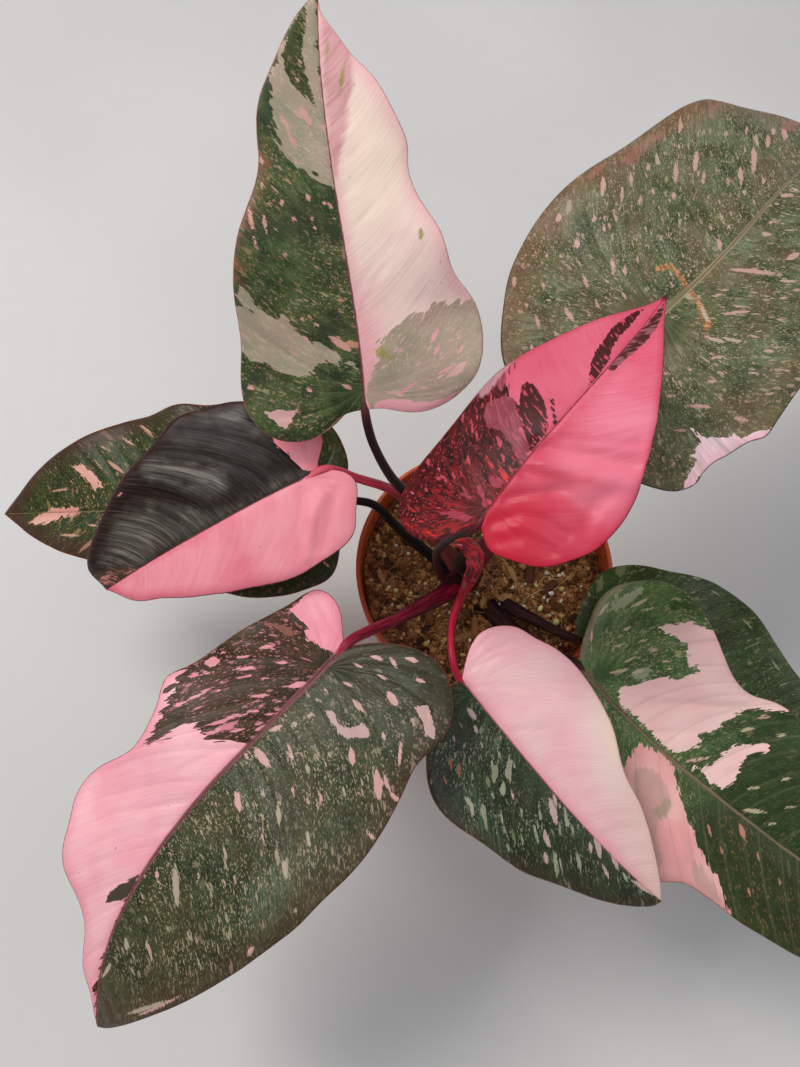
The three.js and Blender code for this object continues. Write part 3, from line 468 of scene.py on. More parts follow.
        (53.5, 27.4), (56, 26.3), (58.6, 25.2), (61.1, 24.1), (63.5, 22.8), (65.9, 21.4), (68.3, 20.1), (70.7, 18.7), (73.1, 17.3), (75.5, 15.9),
        (77.8, 14.4), (80.2, 12.9), (82.5, 11.4), (84.8, 9.9), (87.1, 8.3), (89.4, 6.8), (91.7, 5.3), (94.1, 3.9), (96.5, 2.6), (98.9, 1.3),],
        patches={
            "dark": [[(49.2, -20.6), (46.3, -20.9), (41.7, -18), (38.5, -15.3), (34.5, -10.5), (31.8, -6.4), (29.2, -2.4), (30.6, -1.4), (36, -1.6), (38.5, -2.4),
            (42.6, -6.5), (45.7, -10.4), (48.1, -14.5), (48.9, -17.5),], [(47.5, -8.8), (47.7, -7.6), (41, -0.5), (39.7, -1.2),], [(92.4, -3.1), (90.1, -5), (85.2, -6.9), (79.8, -8), (74.3, -7.3), (69.7, -6.9), (64.6, -5.1), (56.9, -0.2), (60.5, -0.1), (64.8, -0.5),
            (69.2, -0.9), (73.7, -2.9), (79.1, -3.5), (83.1, -3.1), (87.9, -3.2),]],
            "maroon": [[(56.1, -32.9), (51.4, -34.8), (46.1, -36.1), (38.1, -35.9), (28.9, -36.3), (18.3, -35.7), (8.9, -35.5), (-1.3, -37), (-10, -36.5), (-17.2, -33.3),
            (-21.1, -25.2), (-21.1, -18.8), (-19.6, -11.8), (-14.3, -6.3), (-8.9, -3.7), (-2, -0.8), (0.4, 0.3), (4.2, -0.2), (12.7, -0.7), (17.5, -0.4),
            (22.2, -0.9), (26.9, -1.3), (29.4, -1.3), (31.1, -5.3), (34.2, -11.1), (40.4, -18.7), (41.5, -23.1), (46.1, -28.7),]],
            "mauve": [[(29.6, -25.1), (34.7, -28.3), (39.4, -26.3), (41.8, -21.4), (37.8, -15.1), (31.7, -7.2), (28.7, -1.1), (23.3, -1), (25.4, -6.3), (28.2, -13),
            (28.8, -15.8), (27.8, -19.9),], [(42.6, -32.3), (48.1, -33.1), (51.8, -31.2), (46.5, -27.6), (41.1, -26.8),]],
            "dark2": [[(98.1, 1), (92.3, 1.3), (83.9, 1), (72.3, 0.5), (65.7, 0.9), (66.5, 2.7), (73.1, 3.5), (80.6, 4.9), (87.6, 4.8), (94.5, 2.9),]],
            # light: a painted highlight along the folds of the right half
            "light": [[(33.3, 6.7), (40.2, 11.4), (43.9, 19.1), (46.4, 28), (41.9, 31.6), (34, 34.1), (26.5, 32.3), (24.6, 25.8), (26, 18.6), (25.9, 10.6),], [(50.2, 9.6), (60.6, 17.6), (63, 21.8), (58.7, 23.6), (50.7, 17.1),]],
            # deep: the deeper red by the joint, darkened further as painted shade in the creases there
            "deep": [[(2, 1.2), (8.7, 1.7), (15.2, 4.8), (19.6, 11.5), (19.2, 17.9), (13.8, 16.2), (5.8, 16.5), (-1.7, 16.4), (-3.3, 9.3), (-1.8, 4.3),], [(24.6, 3.4), (29.9, 9.4), (33.2, 18.9), (33, 23), (27.8, 15.2), (23.9, 8),]],
            "isle": [[(-5.9, -13.9), (-2.9, -12.1), (-1.2, -9), (-0.4, -3.7), (-2.5, -4.3), (-4.8, -9.2),], [(13, -7.6), (15.8, -6.7), (16.3, -3.4), (15.5, -0.9), (13, -1.9), (12, -4.7),], [(7.1, -5.1), (7, -2.2), (5, -0.9), (4.7, -3),], [(5.5, -13.7), (5, -11.2), (5, -8.1), (3.6, -8.9), (3.7, -12),], [(9.1, -8.9), (8.9, -6.8), (8, -5), (7.5, -6.9),]],
            "glint": [[(37.8, -36.8), (44.3, -36.7), (50, -35.4), (54.5, -33.1), (54.5, -30.5), (49.3, -31.5), (43.4, -31.5), (37.9, -30.7), (35.7, -32.5),]],
        },
        flecks=[((53.2, 7.8), (52.4, 9.1), 0.66, "b"), ((19.5, -15.8), (18.2, -12.2), 0.75, "o"), ((18.1, -13.1), (17, -6.8), 0.96, "o"), ((17.8, -10.8), (16, -1.8), 0.8, "o"),
            ((19, -9.5), (17.4, -1.7), 0.51, "o"), ((15.1, -3.8), (14.5, -0.5), 0.7, "o"), ((-13.2, -20.8), (-12.3, -16.9), 0.79, "o"), ((-16.8, -23.6), (-15.8, -16.8), 0.64, "o"),
            ((-14.1, -15.1), (-13.1, -9.5), 0.61, "o"), ((-11.8, -26.1), (-11.4, -22.7), 0.65, "o"), ((4, -18.7), (2.8, -16.5), 0.58, "o"), ((8.5, -20.7), (6.4, -19.8), 0.63, "p"),
            ((-2.8, -26.6), (-3.4, -24), 0.89, "p"), ((-6.9, -30.4), (-7.7, -28.1), 0.84, "p"), ((5.3, -27.4), (5.3, -25.1), 0.83, "p"), ((3.7, -24.1), (4.5, -21.4), 0.65, "p"),],
    ),
    dict(
        name="left_upper", joint=(-70.3, 11.62, 182), along=(-0.86874, -0.36439, -0.33543), up=(-0.25248, -0.25682, 0.9329),
        length=103.16, start=0.2729, arch=0.6283, power=1.3, lobe=-0.1745,
        fold=(0, -0.3491, 0.1047, -0.0349), ripple=((1.5, 60, 0.6), (1.5, 55, 2)), bow=(-1.37, -6.16), quilt=(0.1, 0.3), vein_depth=(0.05, 0.16), crease=(0.8, 3.0), slope=0.95, sweep=0.38,
        folds=[
            ([(2.9, -9.7), (9.7, -16.4), (17.9, -27.7)], 2.4, 1),
            ([(9, -4.7), (14.2, -14.3), (19.1, -26.6)], 2.2, -0.5),
            ([(-3.3, -9.7), (3.9, -19.1), (11.1, -27.6)], 2.2, -0.5),
            ([(3.3, -1.3), (-2.5, -5)], 1.4, -0.3),
        ],
        left=[(-2.9, -0.7), (-5.6, -1.8), (-8, -3.5), (-9.9, -5.6), (-11, -8.2), (-11, -11), (-10, -13.7), (-8.6, -16.3), (-7.1, -18.9), (-5.8, -21.5),
        (-4.5, -24.2), (-2.9, -26.6), (-0.7, -28.5), (1.9, -29.8), (4.7, -30.7), (7.6, -31.3), (10.5, -31.8), (13.5, -32.1), (16.4, -32.5), (19.3, -32.8),
        (22.3, -33), (25.3, -32.9), (28.2, -32.6), (31.1, -32.1), (34, -31.4), (36.9, -30.6), (39.7, -29.9), (42.6, -29), (45.4, -28.3), (48.3, -27.5),
        (51.2, -26.8), (54, -25.9), (56.8, -24.8), (59.6, -23.8), (62.4, -22.8), (65.2, -21.8), (67.9, -20.7), (70.6, -19.5), (73.3, -18.2), (75.9, -16.9),
        (78.6, -15.7), (81.4, -14.7), (84.3, -13.8), (87, -12.8), (89.7, -11.5), (92.1, -9.8), (94.4, -7.9), (96.5, -5.9), (98.6, -3.8), (100.8, -1.8),],
        right=[(-1.2, 3), (-3, 5.5), (-5.1, 8), (-6.6, 10.8), (-7.2, 14), (-7.1, 17.2), (-6.2, 20.4), (-4.8, 23.3), (-3, 26), (-0.8, 28.5),
        (1.6, 30.7), (4.3, 32.7), (7.1, 34.4), (9.9, 36), (12.9, 37.5), (15.8, 39), (18.8, 40.5), (21.8, 41.6), (25, 42.3), (28.3, 42.7),
        (31.5, 43.2), (34.7, 43.9), (38, 44.3), (41.2, 44), (44.2, 43), (47.2, 41.5), (50.2, 40.2), (53.2, 38.9), (56.4, 38), (59.6, 37.4),
        (62.9, 36.9), (66.1, 36.4), (69.4, 35.8), (72.6, 34.9), (75.6, 33.8), (78.6, 32.3), (81.4, 30.7), (84.2, 28.9), (87, 27.1), (89.8, 25.3),
        (92.6, 23.6), (95.4, 21.9), (98.3, 20.3), (101.1, 18.6), (103.8, 16.7), (106.1, 14.5), (107.5, 11.8), (107.1, 8.9), (105.8, 6), (104.3, 3.1),],
        patches={
            "pinklobe": [[(11.1, 20.6), (10.8, 16.5), (8.5, 12.3), (6.7, 7.1), (5.2, 3), (-0.2, -0.8), (-2.2, 3.5), (-5.5, 6.2), (-8.5, 10.9), (-8.2, 18.5),
            (-3.3, 18.9), (3.2, 19.4), (7.7, 20.7),]],
            "sheen": [[(2.6, 1.4), (12, 4.5), (21.2, 2.9), (33.1, 2.8), (43.2, 3.6), (52.5, 10.6), (60.8, 16.8), (71.2, 20.8), (82.1, 21.4), (95, 15.6),
            (101.9, 10), (93.3, 2.9), (79.1, -1.3), (60.8, -2), (44.1, -1.9), (28.2, -1.4), (14.4, -0.8),]],
            "sheenb": [[(67.9, 33.8), (59.2, 35.5), (49.4, 31.8), (40.5, 24.5), (33, 14.4), (32.4, 8.1), (41.1, 8.1), (47.9, 16.1), (55.4, 23.6), (62.8, 28.6),], [(35.3, 45.8), (28.9, 40.8), (17.9, 37.8), (16.3, 32.3), (14.5, 23.6), (20.9, 30.6), (28.8, 36.6), (35.2, 41.6),]],
            "tip": [[(104.5, 8.5), (88.1, 2.9), (80.4, -1.5), (99.9, -0.7), (106.4, 5.3),]],
        },
        flecks=[((90.2, 0.8), (82.8, -0.7), 0.55, "p"), ((103.4, 5.2), (93.8, 3.1), 0.8, "p"), ((102.6, 2.5), (98.7, 1.9), 0.7, "p"), ((78.2, 29.2), (74.2, 29.3), 1, "p"),
            ((23.6, 14.5), (23.4, 14), 0.51, "c"), ((26.6, 8.6), (26.4, 8.1), 0.54, "c"), ((22.7, 8), (22.4, 7.6), 0.39, "c"), ((56.4, 6.6), (56, 5.5), 0.64, "c"),
            ((64.1, 30.3), (63.9, 29.7), 0.52, "c"), ((38.8, 31.5), (38.4, 30.5), 0.39, "o"), ((26.3, 18.1), (25.7, 17.4), 0.39, "o"),],
    ),
    dict(
        name="left_lower", joint=(-72.99, 17.86, 140), along=(-0.97814, 0.04207, -0.20365), up=(-0.20643, -0.07836, 0.97532),
        length=158.49, start=0.2269, arch=0.4538, power=1.0, lobe=-0.1745,
        fold=(0.0698, -0.1396, 0.1745, 0), ripple=((2, 64, 0), (2.5, 58, 1)), bow=(-16.88, 2.7), quilt=0.3,
        left=[(-2.9, -2.9), (-5.5, -6.2), (-7.5, -9.8), (-8.7, -13.7), (-9, -17.8), (-8.7, -22), (-8.3, -26.1), (-7.4, -30.1), (-5.5, -33.6), (-2.5, -36.3),
        (1.1, -38.2), (4.9, -39.9), (8.7, -41.5), (12.7, -42.7), (16.8, -43.4), (21, -43.8), (25.1, -43.9), (29.3, -43.6), (33.4, -42.9), (37.4, -41.9),
        (41.5, -41.1), (45.6, -40.4), (49.8, -39.8), (53.9, -39.2), (58, -38.6), (62.2, -38.1), (66.3, -37.3), (70.3, -36.4), (74.4, -35.4), (78.4, -34.2),
        (82.4, -33), (86.4, -31.7), (90.3, -30.5), (94.3, -29.2), (98.3, -28), (102.3, -26.7), (106.3, -25.5), (110.3, -24.4), (114.3, -23.2), (118.3, -22),
        (122.2, -20.5), (126, -18.8), (129.8, -17.1), (133.6, -15.2), (137.2, -13.3), (140.9, -11.2), (144.4, -8.9), (147.9, -6.6), (151.4, -4.4), (154.9, -2.2),],
        right=[(-3, 3), (-6.2, 5.8), (-9.1, 8.6), (-10.6, 12.3), (-10.8, 16.4), (-9.9, 20.5), (-8.4, 24.4), (-6.5, 28.2), (-4, 31.7), (-1, 34.5),
        (2.6, 36.8), (6.4, 38.7), (10.4, 40.1), (14.4, 41.5), (18.5, 42.9), (22.5, 44.1), (26.7, 45.2), (30.9, 45.7), (35.1, 45.9), (39.4, 45.7),
        (43.5, 45), (47.6, 43.9), (51.7, 42.8), (55.9, 42.5), (60.1, 42.8), (64.3, 42.9), (68.5, 42.5), (72.7, 41.6), (76.8, 40.6), (81, 40),
        (85.3, 39.8), (89.5, 39.6), (93.7, 38.9), (97.7, 37.7), (101.8, 36.3), (105.7, 34.7), (109.6, 33), (113.5, 31.2), (117.3, 29.3), (121.2, 27.5),
        (125.1, 25.8), (129, 24), (132.8, 22.1), (136.4, 19.9), (139.9, 17.5), (143.1, 14.7), (146.1, 11.7), (149, 8.6), (152.2, 5.7), (155.3, 2.9),],
        patches={
            "salmon": [[(117.5, 18.4), (110.7, 18.3), (105.3, 13.3), (100.8, 7), (104.9, 6.8), (108.7, 10.3), (113.1, 15.2),], [(140.1, -6.8), (134.2, -1.9), (123.7, -0.5), (111.5, -1), (114.5, -4), (124.1, -5.7), (131.6, -7.6),]],
        },
        flecks=[((99.3, 19.6), (90.1, 12.9), 1.71, "p"), ((128.5, 7.3), (118.3, 7.8), 1.05, "p"), ((121.4, -13.6), (109.3, -14.8), 1.23, "p"), ((-6.5, 13.4), (-8.5, 6.4), 1.32, "p"),
            ((-5.2, -18), (-8, -23.1), 1.3, "p"), ((104, 27), (97.9, 23.9), 0.96, "p"), ((95.1, 31.6), (86.5, 25.9), 1.2, "p"), ((-1.4, -26.9), (-4.9, -30.1), 1.11, "p"),
            ((85.4, 36.2), (78, 30.6), 1.08, "p"), ((107, -9.8), (100.5, -11.1), 1, "p"),],
    ),
    dict(
        name="front_left", joint=(-59.93, -51.89, 162), along=(-0.54634, -0.78813, -0.28349), up=(-0.2043, -0.20285, 0.95766),
        length=172.72, start=0.2648, arch=0.6632, power=1.5, lobe=-0.1745,
        fold=(0.2443, 0, 0.1396, -0.1745), ripple=((1.5, 75, 1.2), (3.5, 56, 0.2)), bow=(18.04, 63.44), quilt=(0.35, 0.2), vein_depth=(0.18, 0.1), crease=(2.5, 1.2),
        folds=[
            ([(-1.6, 2.1), (-3.3, 9.6), (-7.4, 17.5)], 1.2, -0.3),
            ([(-0.6, 2.8), (1.1, 11), (-1.8, 20.5)], 1.2, -0.25),
            ([(49, 7), (58.4, 16.1), (70.8, 23)], 1.3, -0.3),
            ([(69.1, 8.2), (78.3, 15.2), (91.6, 26.8)], 1.3, -0.3),
            ([(79, 9.1), (89.4, 14.1), (104.7, 27)], 1.3, -0.25),
        ],
        left=[(-3.1, -3.6), (-6.2, -7.4), (-8.9, -11.3), (-11.1, -15.6), (-12.9, -20.1), (-14.1, -24.7), (-14.6, -29.4), (-14.1, -34.1), (-12.3, -38.4), (-9.4, -42.2),
        (-6, -45.5), (-2.1, -48.2), (2.3, -49.9), (7, -50.4), (11.7, -49.7), (16.4, -48.6), (21, -48), (25.7, -48.5), (30.4, -49.3), (35.2, -49.9),
        (40, -50.4), (44.8, -50.7), (49.6, -50.8), (54.5, -50.7), (59.2, -50.2), (64, -49.4), (68.7, -48.2), (73.3, -47.1), (78, -46.2), (82.8, -45.3),
        (87.4, -44), (91.9, -42.4), (96.5, -40.8), (101, -39.2), (105.6, -37.6), (110.1, -35.9), (114.5, -34), (118.9, -32), (123.3, -29.9), (127.6, -27.7),
        (131.8, -25.4), (136, -23), (140.1, -20.5), (144.3, -18), (148.4, -15.6), (152.6, -13.2), (156.8, -10.8), (161, -8.3), (165.1, -5.8), (169, -3.1),],
        right=[(-3.3, 3.5), (-7, 6.6), (-10.2, 10.1), (-12.3, 14.3), (-12.9, 18.9), (-11.5, 22.9), (-7.9, 25.3), (-3.4, 26.7), (1.2, 28.2), (5.8, 30.1),
        (10.2, 32.1), (14.6, 34.2), (19, 36.3), (23.5, 38.3), (27.9, 40.3), (32.4, 42.3), (36.8, 44.4), (41, 46.9), (45, 49.4), (48.8, 50.4),
        (52.5, 48.6), (56.5, 45.9), (60.9, 43.9), (65.5, 42.7), (70.3, 42.2), (75.1, 42.7), (79.4, 44.6), (83.5, 47.3), (87.5, 50), (91.8, 52.2),
        (96.4, 53.6), (101.1, 53.6), (105.4, 52.1), (109.4, 49.5), (113.6, 47.1), (118, 45.1), (122.2, 42.6), (125.7, 39.4), (128.4, 35.4), (130.8, 31.2),
        (133.6, 27.2), (137, 23.8), (141, 21.2), (145.5, 19.3), (150, 17.4), (154.2, 15.2), (157.7, 12), (161, 8.6), (164.8, 5.8), (168.8, 3),],
        patches={
            "lobe": [[(-11.5, 24.8), (-13.4, 20.3), (-12.4, 13.1), (-8.2, 6.1), (-3.2, 2.4), (-0.2, -1.4), (4.4, 1.9), (5.7, 7), (5.7, 14.1), (5, 17),
            (2.3, 15.3), (1.6, 18.3), (1.2, 25.3), (-2.4, 25.3), (-7.5, 24.6),]],
            "pink": [[(70.5, 39.2), (64.5, 34.9), (58.4, 32.3), (55, 29.3), (55.6, 24.2), (55, 18.8), (51.9, 12.3), (48.9, 8.1), (54.5, 7.4), (61.3, 8),
            (77.5, 10.5), (91.9, 11.6), (109, 13.1), (122.9, 13.1), (139.6, 10.2), (157.9, 7.5), (172.6, -1.4), (179.9, 5.5), (166.1, 15.7), (134.2, 31.9),
            (126.1, 46), (108.5, 56.9), (101.9, 59.3), (85.8, 53.3), (74.6, 44),], [(46.7, 54.5), (45.8, 50.1), (42.4, 46.6), (50, 43.6), (56.1, 42.5), (62.1, 40.2), (69.3, 38.2), (81.6, 44.5), (75.5, 48.4), (60, 51.3),]],
            "streak": [[(53.7, 47.7), (49.5, 47), (44, 46.1), (43.9, 43.8), (49.6, 44.5), (53.9, 45.3),], [(70.4, 39.7), (64.8, 37.9), (58, 35.6), (58.5, 33.7), (64.6, 35.7), (70.9, 37.9),]],
            "notch": [[(126.1, 19.4), (121.7, 20.2), (116.8, 18.3), (109.2, 14.5), (117, 13.6), (121.3, 14.6),]],
            "mauve": [[(22.7, -9.1), (21.9, -12.3), (24.1, -15.5), (24.2, -19.3), (21.8, -22.1), (19.6, -23.6), (19.2, -26.1), (21.6, -28.8), (26.2, -23.2), (27.1, -19.3),
            (25.6, -15.2), (24.2, -10.8),], [(4.1, -36), (1.2, -39.7), (4.5, -43.7), (8.1, -47.6), (10.9, -48.2), (9.9, -44.9), (7, -41.2),]],
            "sheen": [[(87.1, -23.4), (77.4, -23.7), (68.9, -27), (68.1, -33.5), (75, -37.5), (84.1, -37.4), (93.8, -34.3), (94.2, -27.7),]],
        },
        flecks=[((5.1, -24.6), (7.4, -30.4), 3.05, "p"), ((14.5, -15.6), (15.8, -21.6), 1.93, "p"), ((28.5, -25.4), (32.9, -29.6), 2.54, "p"), ((29.2, -37.4), (36.8, -43.8), 3.19, "p"),
            ((29.3, -40.2), (32.2, -45.2), 1.78, "p"), ((49, 5), (50.5, -4.7), 2.91, "p"), ((51.8, 7.2), (54.3, 3.3), 1.37, "p"), ((40.8, 3.8), (36.8, 1.1), 1.98, "p"),
            ((64, 0.9), (68.4, -5.6), 2.65, "p"), ((39.9, -4.7), (45.1, -11.9), 1.51, "p"), ((58.6, -15.5), (63.2, -20.3), 2.05, "c"), ((80.2, -7.2), (85.6, -13.4), 1.46, "c"),
            ((70.2, -28.5), (74.7, -33.2), 2.32, "c"), ((97.1, 4.6), (107.2, -5.4), 2.86, "c"), ((58.9, -29.2), (62.3, -33.2), 1.57, "c"), ((46.6, -25.2), (49.6, -28.4), 1.24, "p"),
            ((16.5, -38.8), (23.7, -43.1), 1.42, "p"), ((41.6, -15.2), (44.4, -18.4), 1.67, "c"), ((32.5, -45.4), (33.6, -51.3), 1.59, "p"), ((47.5, -45.5), (48, -51), 1.36, "p"),
            ((103.7, -35.7), (99.2, -36), 1.85, "p"), ((110.1, -12.7), (113.4, -17.5), 1.49, "c"), ((103.2, 9.7), (106.7, 6.1), 1.58, "p"), ((130.5, 5.9), (133, 1.6), 1.93, "c"),
            ((27.4, -4.6), (28.6, -6.1), 1.99, "c"), ((-5.7, -17.6), (-4, -22.1), 1.57, "p"), ((-2.2, -10.7), (-3.6, -15.8), 1.59, "p"), ((-8.9, -22.6), (-10.2, -27.2), 1.78, "p"),
            ((-4.5, -30.4), (-5.3, -34.2), 1.52, "p"), ((33.3, -1.5), (33.9, -4), 2, "c"), ((76.1, 6.2), (78.8, 2), 1.31, "c"), ((92.2, -4.3), (96.4, -6.8), 1.27, "c"),
            ((33.8, -19.4), (35.3, -21.4), 1.46, "c"), ((66.8, -14.7), (71, -19.8), 1.08, "p"), ((50.5, -15.4), (54, -19.2), 1.09, "p"), ((92.9, -11.2), (96.5, -14.5), 1.25, "c"),
            ((100.2, -7.2), (104.1, -9.7), 1.06, "c"), ((56.2, -51.3), (59, -54.2), 1, "p"), ((40.1, -30.5), (43.6, -34.1), 1.2, "c"), ((56.9, -6.2), (60.3, -10.1), 1.26, "c"),
            ((17.5, -31.1), (19.7, -34.1), 1.27, "p"), ((7.6, -37.2), (9.7, -39.6), 1.28, "p"), ((11.3, -8.1), (10.7, -12.6), 1.19, "p"), ((21, 3.4), (22.9, -1.3), 1.14, "p"),
            ((16.7, -3.2), (18.9, -7.5), 1.19, "p"), ((2.2, -17.4), (1.5, -22), 1.17, "p"), ((3.5, -6.8), (3, -11.3), 1.01, "p"), ((3.3, -40.3), (5, -44.1), 1.28, "p"),
            ((84.9, -21.6), (87.4, -24.6), 1, "c"), ((79.3, -29), (82.2, -32.3), 0.97, "c"), ((96.7, -21.5), (99.4, -24.3), 1.24, "c"), ((114.3, -5), (116.4, -8.2), 1.3, "c"),
            ((117.9, 4.4), (119.9, 1.1), 1.13, "c"), ((150.4, 6.4), (142.1, 5.8), 1.62, "c"), ((151.5, -9.7), (134.9, -20.1), 1.51, "c"), ((148.2, -13.6), (129.7, -23.8), 1.07, "p"),
            ((115.9, -20.6), (117.7, -24.2), 1.25, "c"), ((79.9, -40.5), (81.1, -43), 1.14, "c"), ((35.3, 40.5), (31.8, 36.3), 4.18, "p"), ((19, 25.6), (15.4, 21.7), 1.54, "p"),
            ((31.3, 29.4), (25.3, 21.8), 1.39, "p"), ((38.5, 40.5), (37.5, 35.3), 1.26, "p"), ((24.2, 7.9), (18.9, 3.1), 2.28, "p"), ((28.1, 18.6), (25.4, 16), 0.97, "p"),
            ((36.5, 19.2), (30.6, 11.9), 1.16, "p"), ((31.5, 8.9), (29.3, 6.4), 0.95, "p"), ((44.7, 34.6), (39.5, 28.3), 1, "p"), ((49.5, 37.5), (44.9, 32.9), 1.37, "p"),
            ((46.3, 20.6), (41.6, 15.1), 1.33, "p"), ((44, 8.6), (40, 6.5), 1.3, "p"), ((49.8, 16.8), (45.6, 12), 1.13, "p"), ((39.1, 34.4), (36.4, 28.9), 1.02, "p"),
            ((55.1, 39.8), (50.3, 36.7), 1.52, "p"), ((27.2, 31.2), (23.5, 27), 1, "p"), ((20.2, 17.6), (16.9, 13.5), 0.97, "p"), ((40.8, 15.8), (36.6, 11), 1.14, "p"),
            ((47.4, 8.4), (43.6, 6.1), 1.12, "p"), ((-1.6, 20.8), (-1.8, 20.5), 1.14, "b"), ((68.2, 16.1), (68.1, 15.3), 1.26, "b"), ((62.3, 26.2), (62.4, 25.6), 0.83, "b"),
            ((107, 27.2), (107.1, 26.7), 0.86, "b"),],
    ),
    dict(
        name="front", joint=(-15.52, -62.35, 152), along=(0.67078, -0.69963, -0.24612), up=(0.17033, -0.17766, 0.96924),
        length=114.34, start=0.1745, arch=0.3491, power=1.0, lobe=-0.1745,
        fold=(0.2443, 0, 0.2094, -0.1745), ripple=((1.5, 58, 0.4), (2, 52, 2.5)), bow=(9.61, 9.59), quilt=(0.08, 0.3), vein_depth=(0.06, 0.14), crease=(0.8, 3.0), sweep=0.28,
        folds=[
            ([(-0.8, -2.1), (0.8, -9.2), (3.9, -16.8)], 1, -0.3),
            ([(-1.8, -3.2), (-0.3, -13), (2.8, -24.4)], 1, -0.3),
            ([(-2.9, -5.3), (-4.1, -12.9), (-4.1, -20.6)], 1, -0.22),
            ([(25.4, 1.3), (30, -4.2), (35.6, -10.3)], 1, -0.3),
            ([(4.6, 0), (11.6, -9.1), (20.7, -16)], 1, -0.2),
        ],
        left=[(-1.7, -2.6), (-3.3, -5.2), (-4.9, -7.9), (-6.2, -10.6), (-7.2, -13.5), (-7.7, -16.5), (-7.3, -19.5), (-6.2, -22.3), (-4.5, -24.9), (-2.5, -27.1),
        (0, -29), (2.7, -30.1), (5.7, -30.8), (8.7, -31.5), (11.6, -32.5), (14.5, -33.6), (17.5, -34.4), (20.5, -34.9), (23.6, -35.3), (26.6, -35.4),
        (29.7, -35.3), (32.8, -35), (35.9, -34.6), (38.9, -34), (41.9, -33.3), (44.9, -32.4), (47.8, -31.4), (50.6, -30.3), (53.4, -28.9), (56, -27.3),
        (58.6, -25.6), (61.2, -23.9), (63.9, -22.4), (66.7, -21.1), (69.6, -20.1), (72.6, -19.3), (75.6, -18.7), (78.6, -18), (81.5, -17.1), (84.4, -16),
        (87.3, -14.8), (90.1, -13.6), (92.9, -12.2), (95.6, -10.8), (98.4, -9.4), (101.1, -7.9), (103.8, -6.5), (106.5, -5), (109.2, -3.4), (111.8, -1.7),],
        right=[(-0.8, 2.9), (-1.4, 5.8), (-1.6, 8.7), (-1.1, 11.6), (-0.3, 14.5), (0.8, 17.3), (2.2, 19.9), (3.9, 22.3), (5.8, 24.6), (7.8, 26.9),
        (9.8, 29.1), (11.9, 31.2), (14.1, 33.2), (16.4, 35.1), (18.9, 36.7), (21.6, 38.1), (24.4, 39.1), (27.3, 39.7), (30.2, 39.9), (33.2, 39.7),
        (36.2, 39.2), (39.1, 38.5), (42, 37.7), (44.8, 37), (47.7, 36.3), (50.7, 35.7), (53.6, 35.1), (56.6, 34.6), (59.5, 33.9), (62.4, 33.2),
        (65.2, 32.3), (67.9, 31.1), (70.6, 29.7), (73.2, 28.3), (75.9, 26.9), (78.5, 25.5), (81.2, 24.2), (83.9, 22.9), (86.6, 21.6), (89.3, 20.3),
        (91.9, 18.9), (94.6, 17.4), (97.1, 15.9), (99.7, 14.3), (102.1, 12.6), (104.5, 10.8), (106.9, 9), (109.1, 7), (111.3, 5), (113.1, 2.7),],
        patches={
            "sheen": [[(1.4, 4.7), (4.1, 1.7), (12.5, 1.4), (27.2, 3.2), (34.3, 7.4), (31, 11.9), (23.8, 12.2), (14, 9.9), (6.4, 7.6),], [(30.5, 26.8), (37, 25), (46.9, 27.6), (55, 31.2), (50.7, 33.5), (40.7, 32),]],
            "cream": [[(45.8, -31.2), (50.1, -30.5), (56.1, -27.3), (61, -23.9), (61.5, -21.3), (56.9, -23.8), (51.6, -26.6),]],
        },
        flecks=[((9.1, 6.4), (14.3, 6.8), 2.46, "p"), ((14.8, 9), (18.6, 10.2), 1.6, "p"), ((37.2, 15.7), (40.3, 19.6), 2.37, "c"), ((53.9, 6.6), (62.1, 11.4), 2.96, "p"),
            ((53.9, 4.1), (58.1, 7), 1.63, "p"), ((59.5, 16.4), (65.6, 19.2), 2.06, "p"), ((65.2, 21.6), (69.2, 24), 1.89, "p"), ((47.8, 17.3), (51.5, 20.1), 1.41, "c"),
            ((30.5, 29.9), (35.6, 30.4), 1.81, "c"), ((75.4, 1.6), (83.3, 7.4), 2.77, "p"), ((76.2, 6.5), (79.3, 8.7), 1.63, "p"), ((85, 2.3), (91.9, 5.2), 1.96, "p"),
            ((67, 17.8), (74.9, 24.7), 1.42, "c"), ((98.5, 3.8), (111.1, 0.1), 2.04, "p"), ((17.2, 24.4), (21.3, 26.9), 1.35, "o"), ((20.5, 23), (25.5, 27), 1.17, "o"),
            ((29.5, 18.2), (32.4, 20.7), 0.95, "c"), ((28.6, 13.4), (31.8, 15.7), 1.12, "c"), ((74.3, 12.6), (81, 17.3), 1.59, "c"), ((85.3, 8.4), (91, 10.2), 1.32, "p"),
            ((93.7, 4.5), (97.6, 5.6), 1.35, "c"), ((52.9, 12.2), (56.8, 15.2), 1.28, "c"), ((55.5, 18), (61.5, 21.3), 1.27, "c"), ((60.4, 4.6), (66.7, 9.8), 1.63, "c"),
            ((37.1, 28.3), (40.5, 30.2), 1.07, "c"), ((43.3, 23.9), (47, 26.6), 1.09, "c"), ((41, 15.3), (44.2, 17.5), 0.97, "p"), ((35.7, 20.8), (38.4, 22.6), 0.95, "c"),
            ((26.1, 21.7), (29.1, 24.2), 0.95, "c"), ((20.5, 30.2), (23, 31.7), 1.15, "o"), ((54.1, 23.8), (58.4, 26.4), 0.96, "c"), ((52.7, 29.6), (56, 31.7), 0.95, "c"),
            ((67.6, 1.7), (71.6, 4.5), 1.13, "c"), ((66.5, 7), (70.6, 10.4), 1.16, "c"), ((67.4, -3), (70.1, -1.1), 0.98, "c"), ((12.6, 17.8), (14.7, 18.8), 0.96, "p"),
            ((10.9, 12.2), (12.9, 13.2), 0.98, "p"), ((27.8, 8.5), (31, 10.8), 0.99, "c"), ((35, 7.6), (38.1, 9.1), 0.99, "c"), ((20.7, 11.2), (23.8, 12.8), 0.98, "c"),],
    ),
    dict(
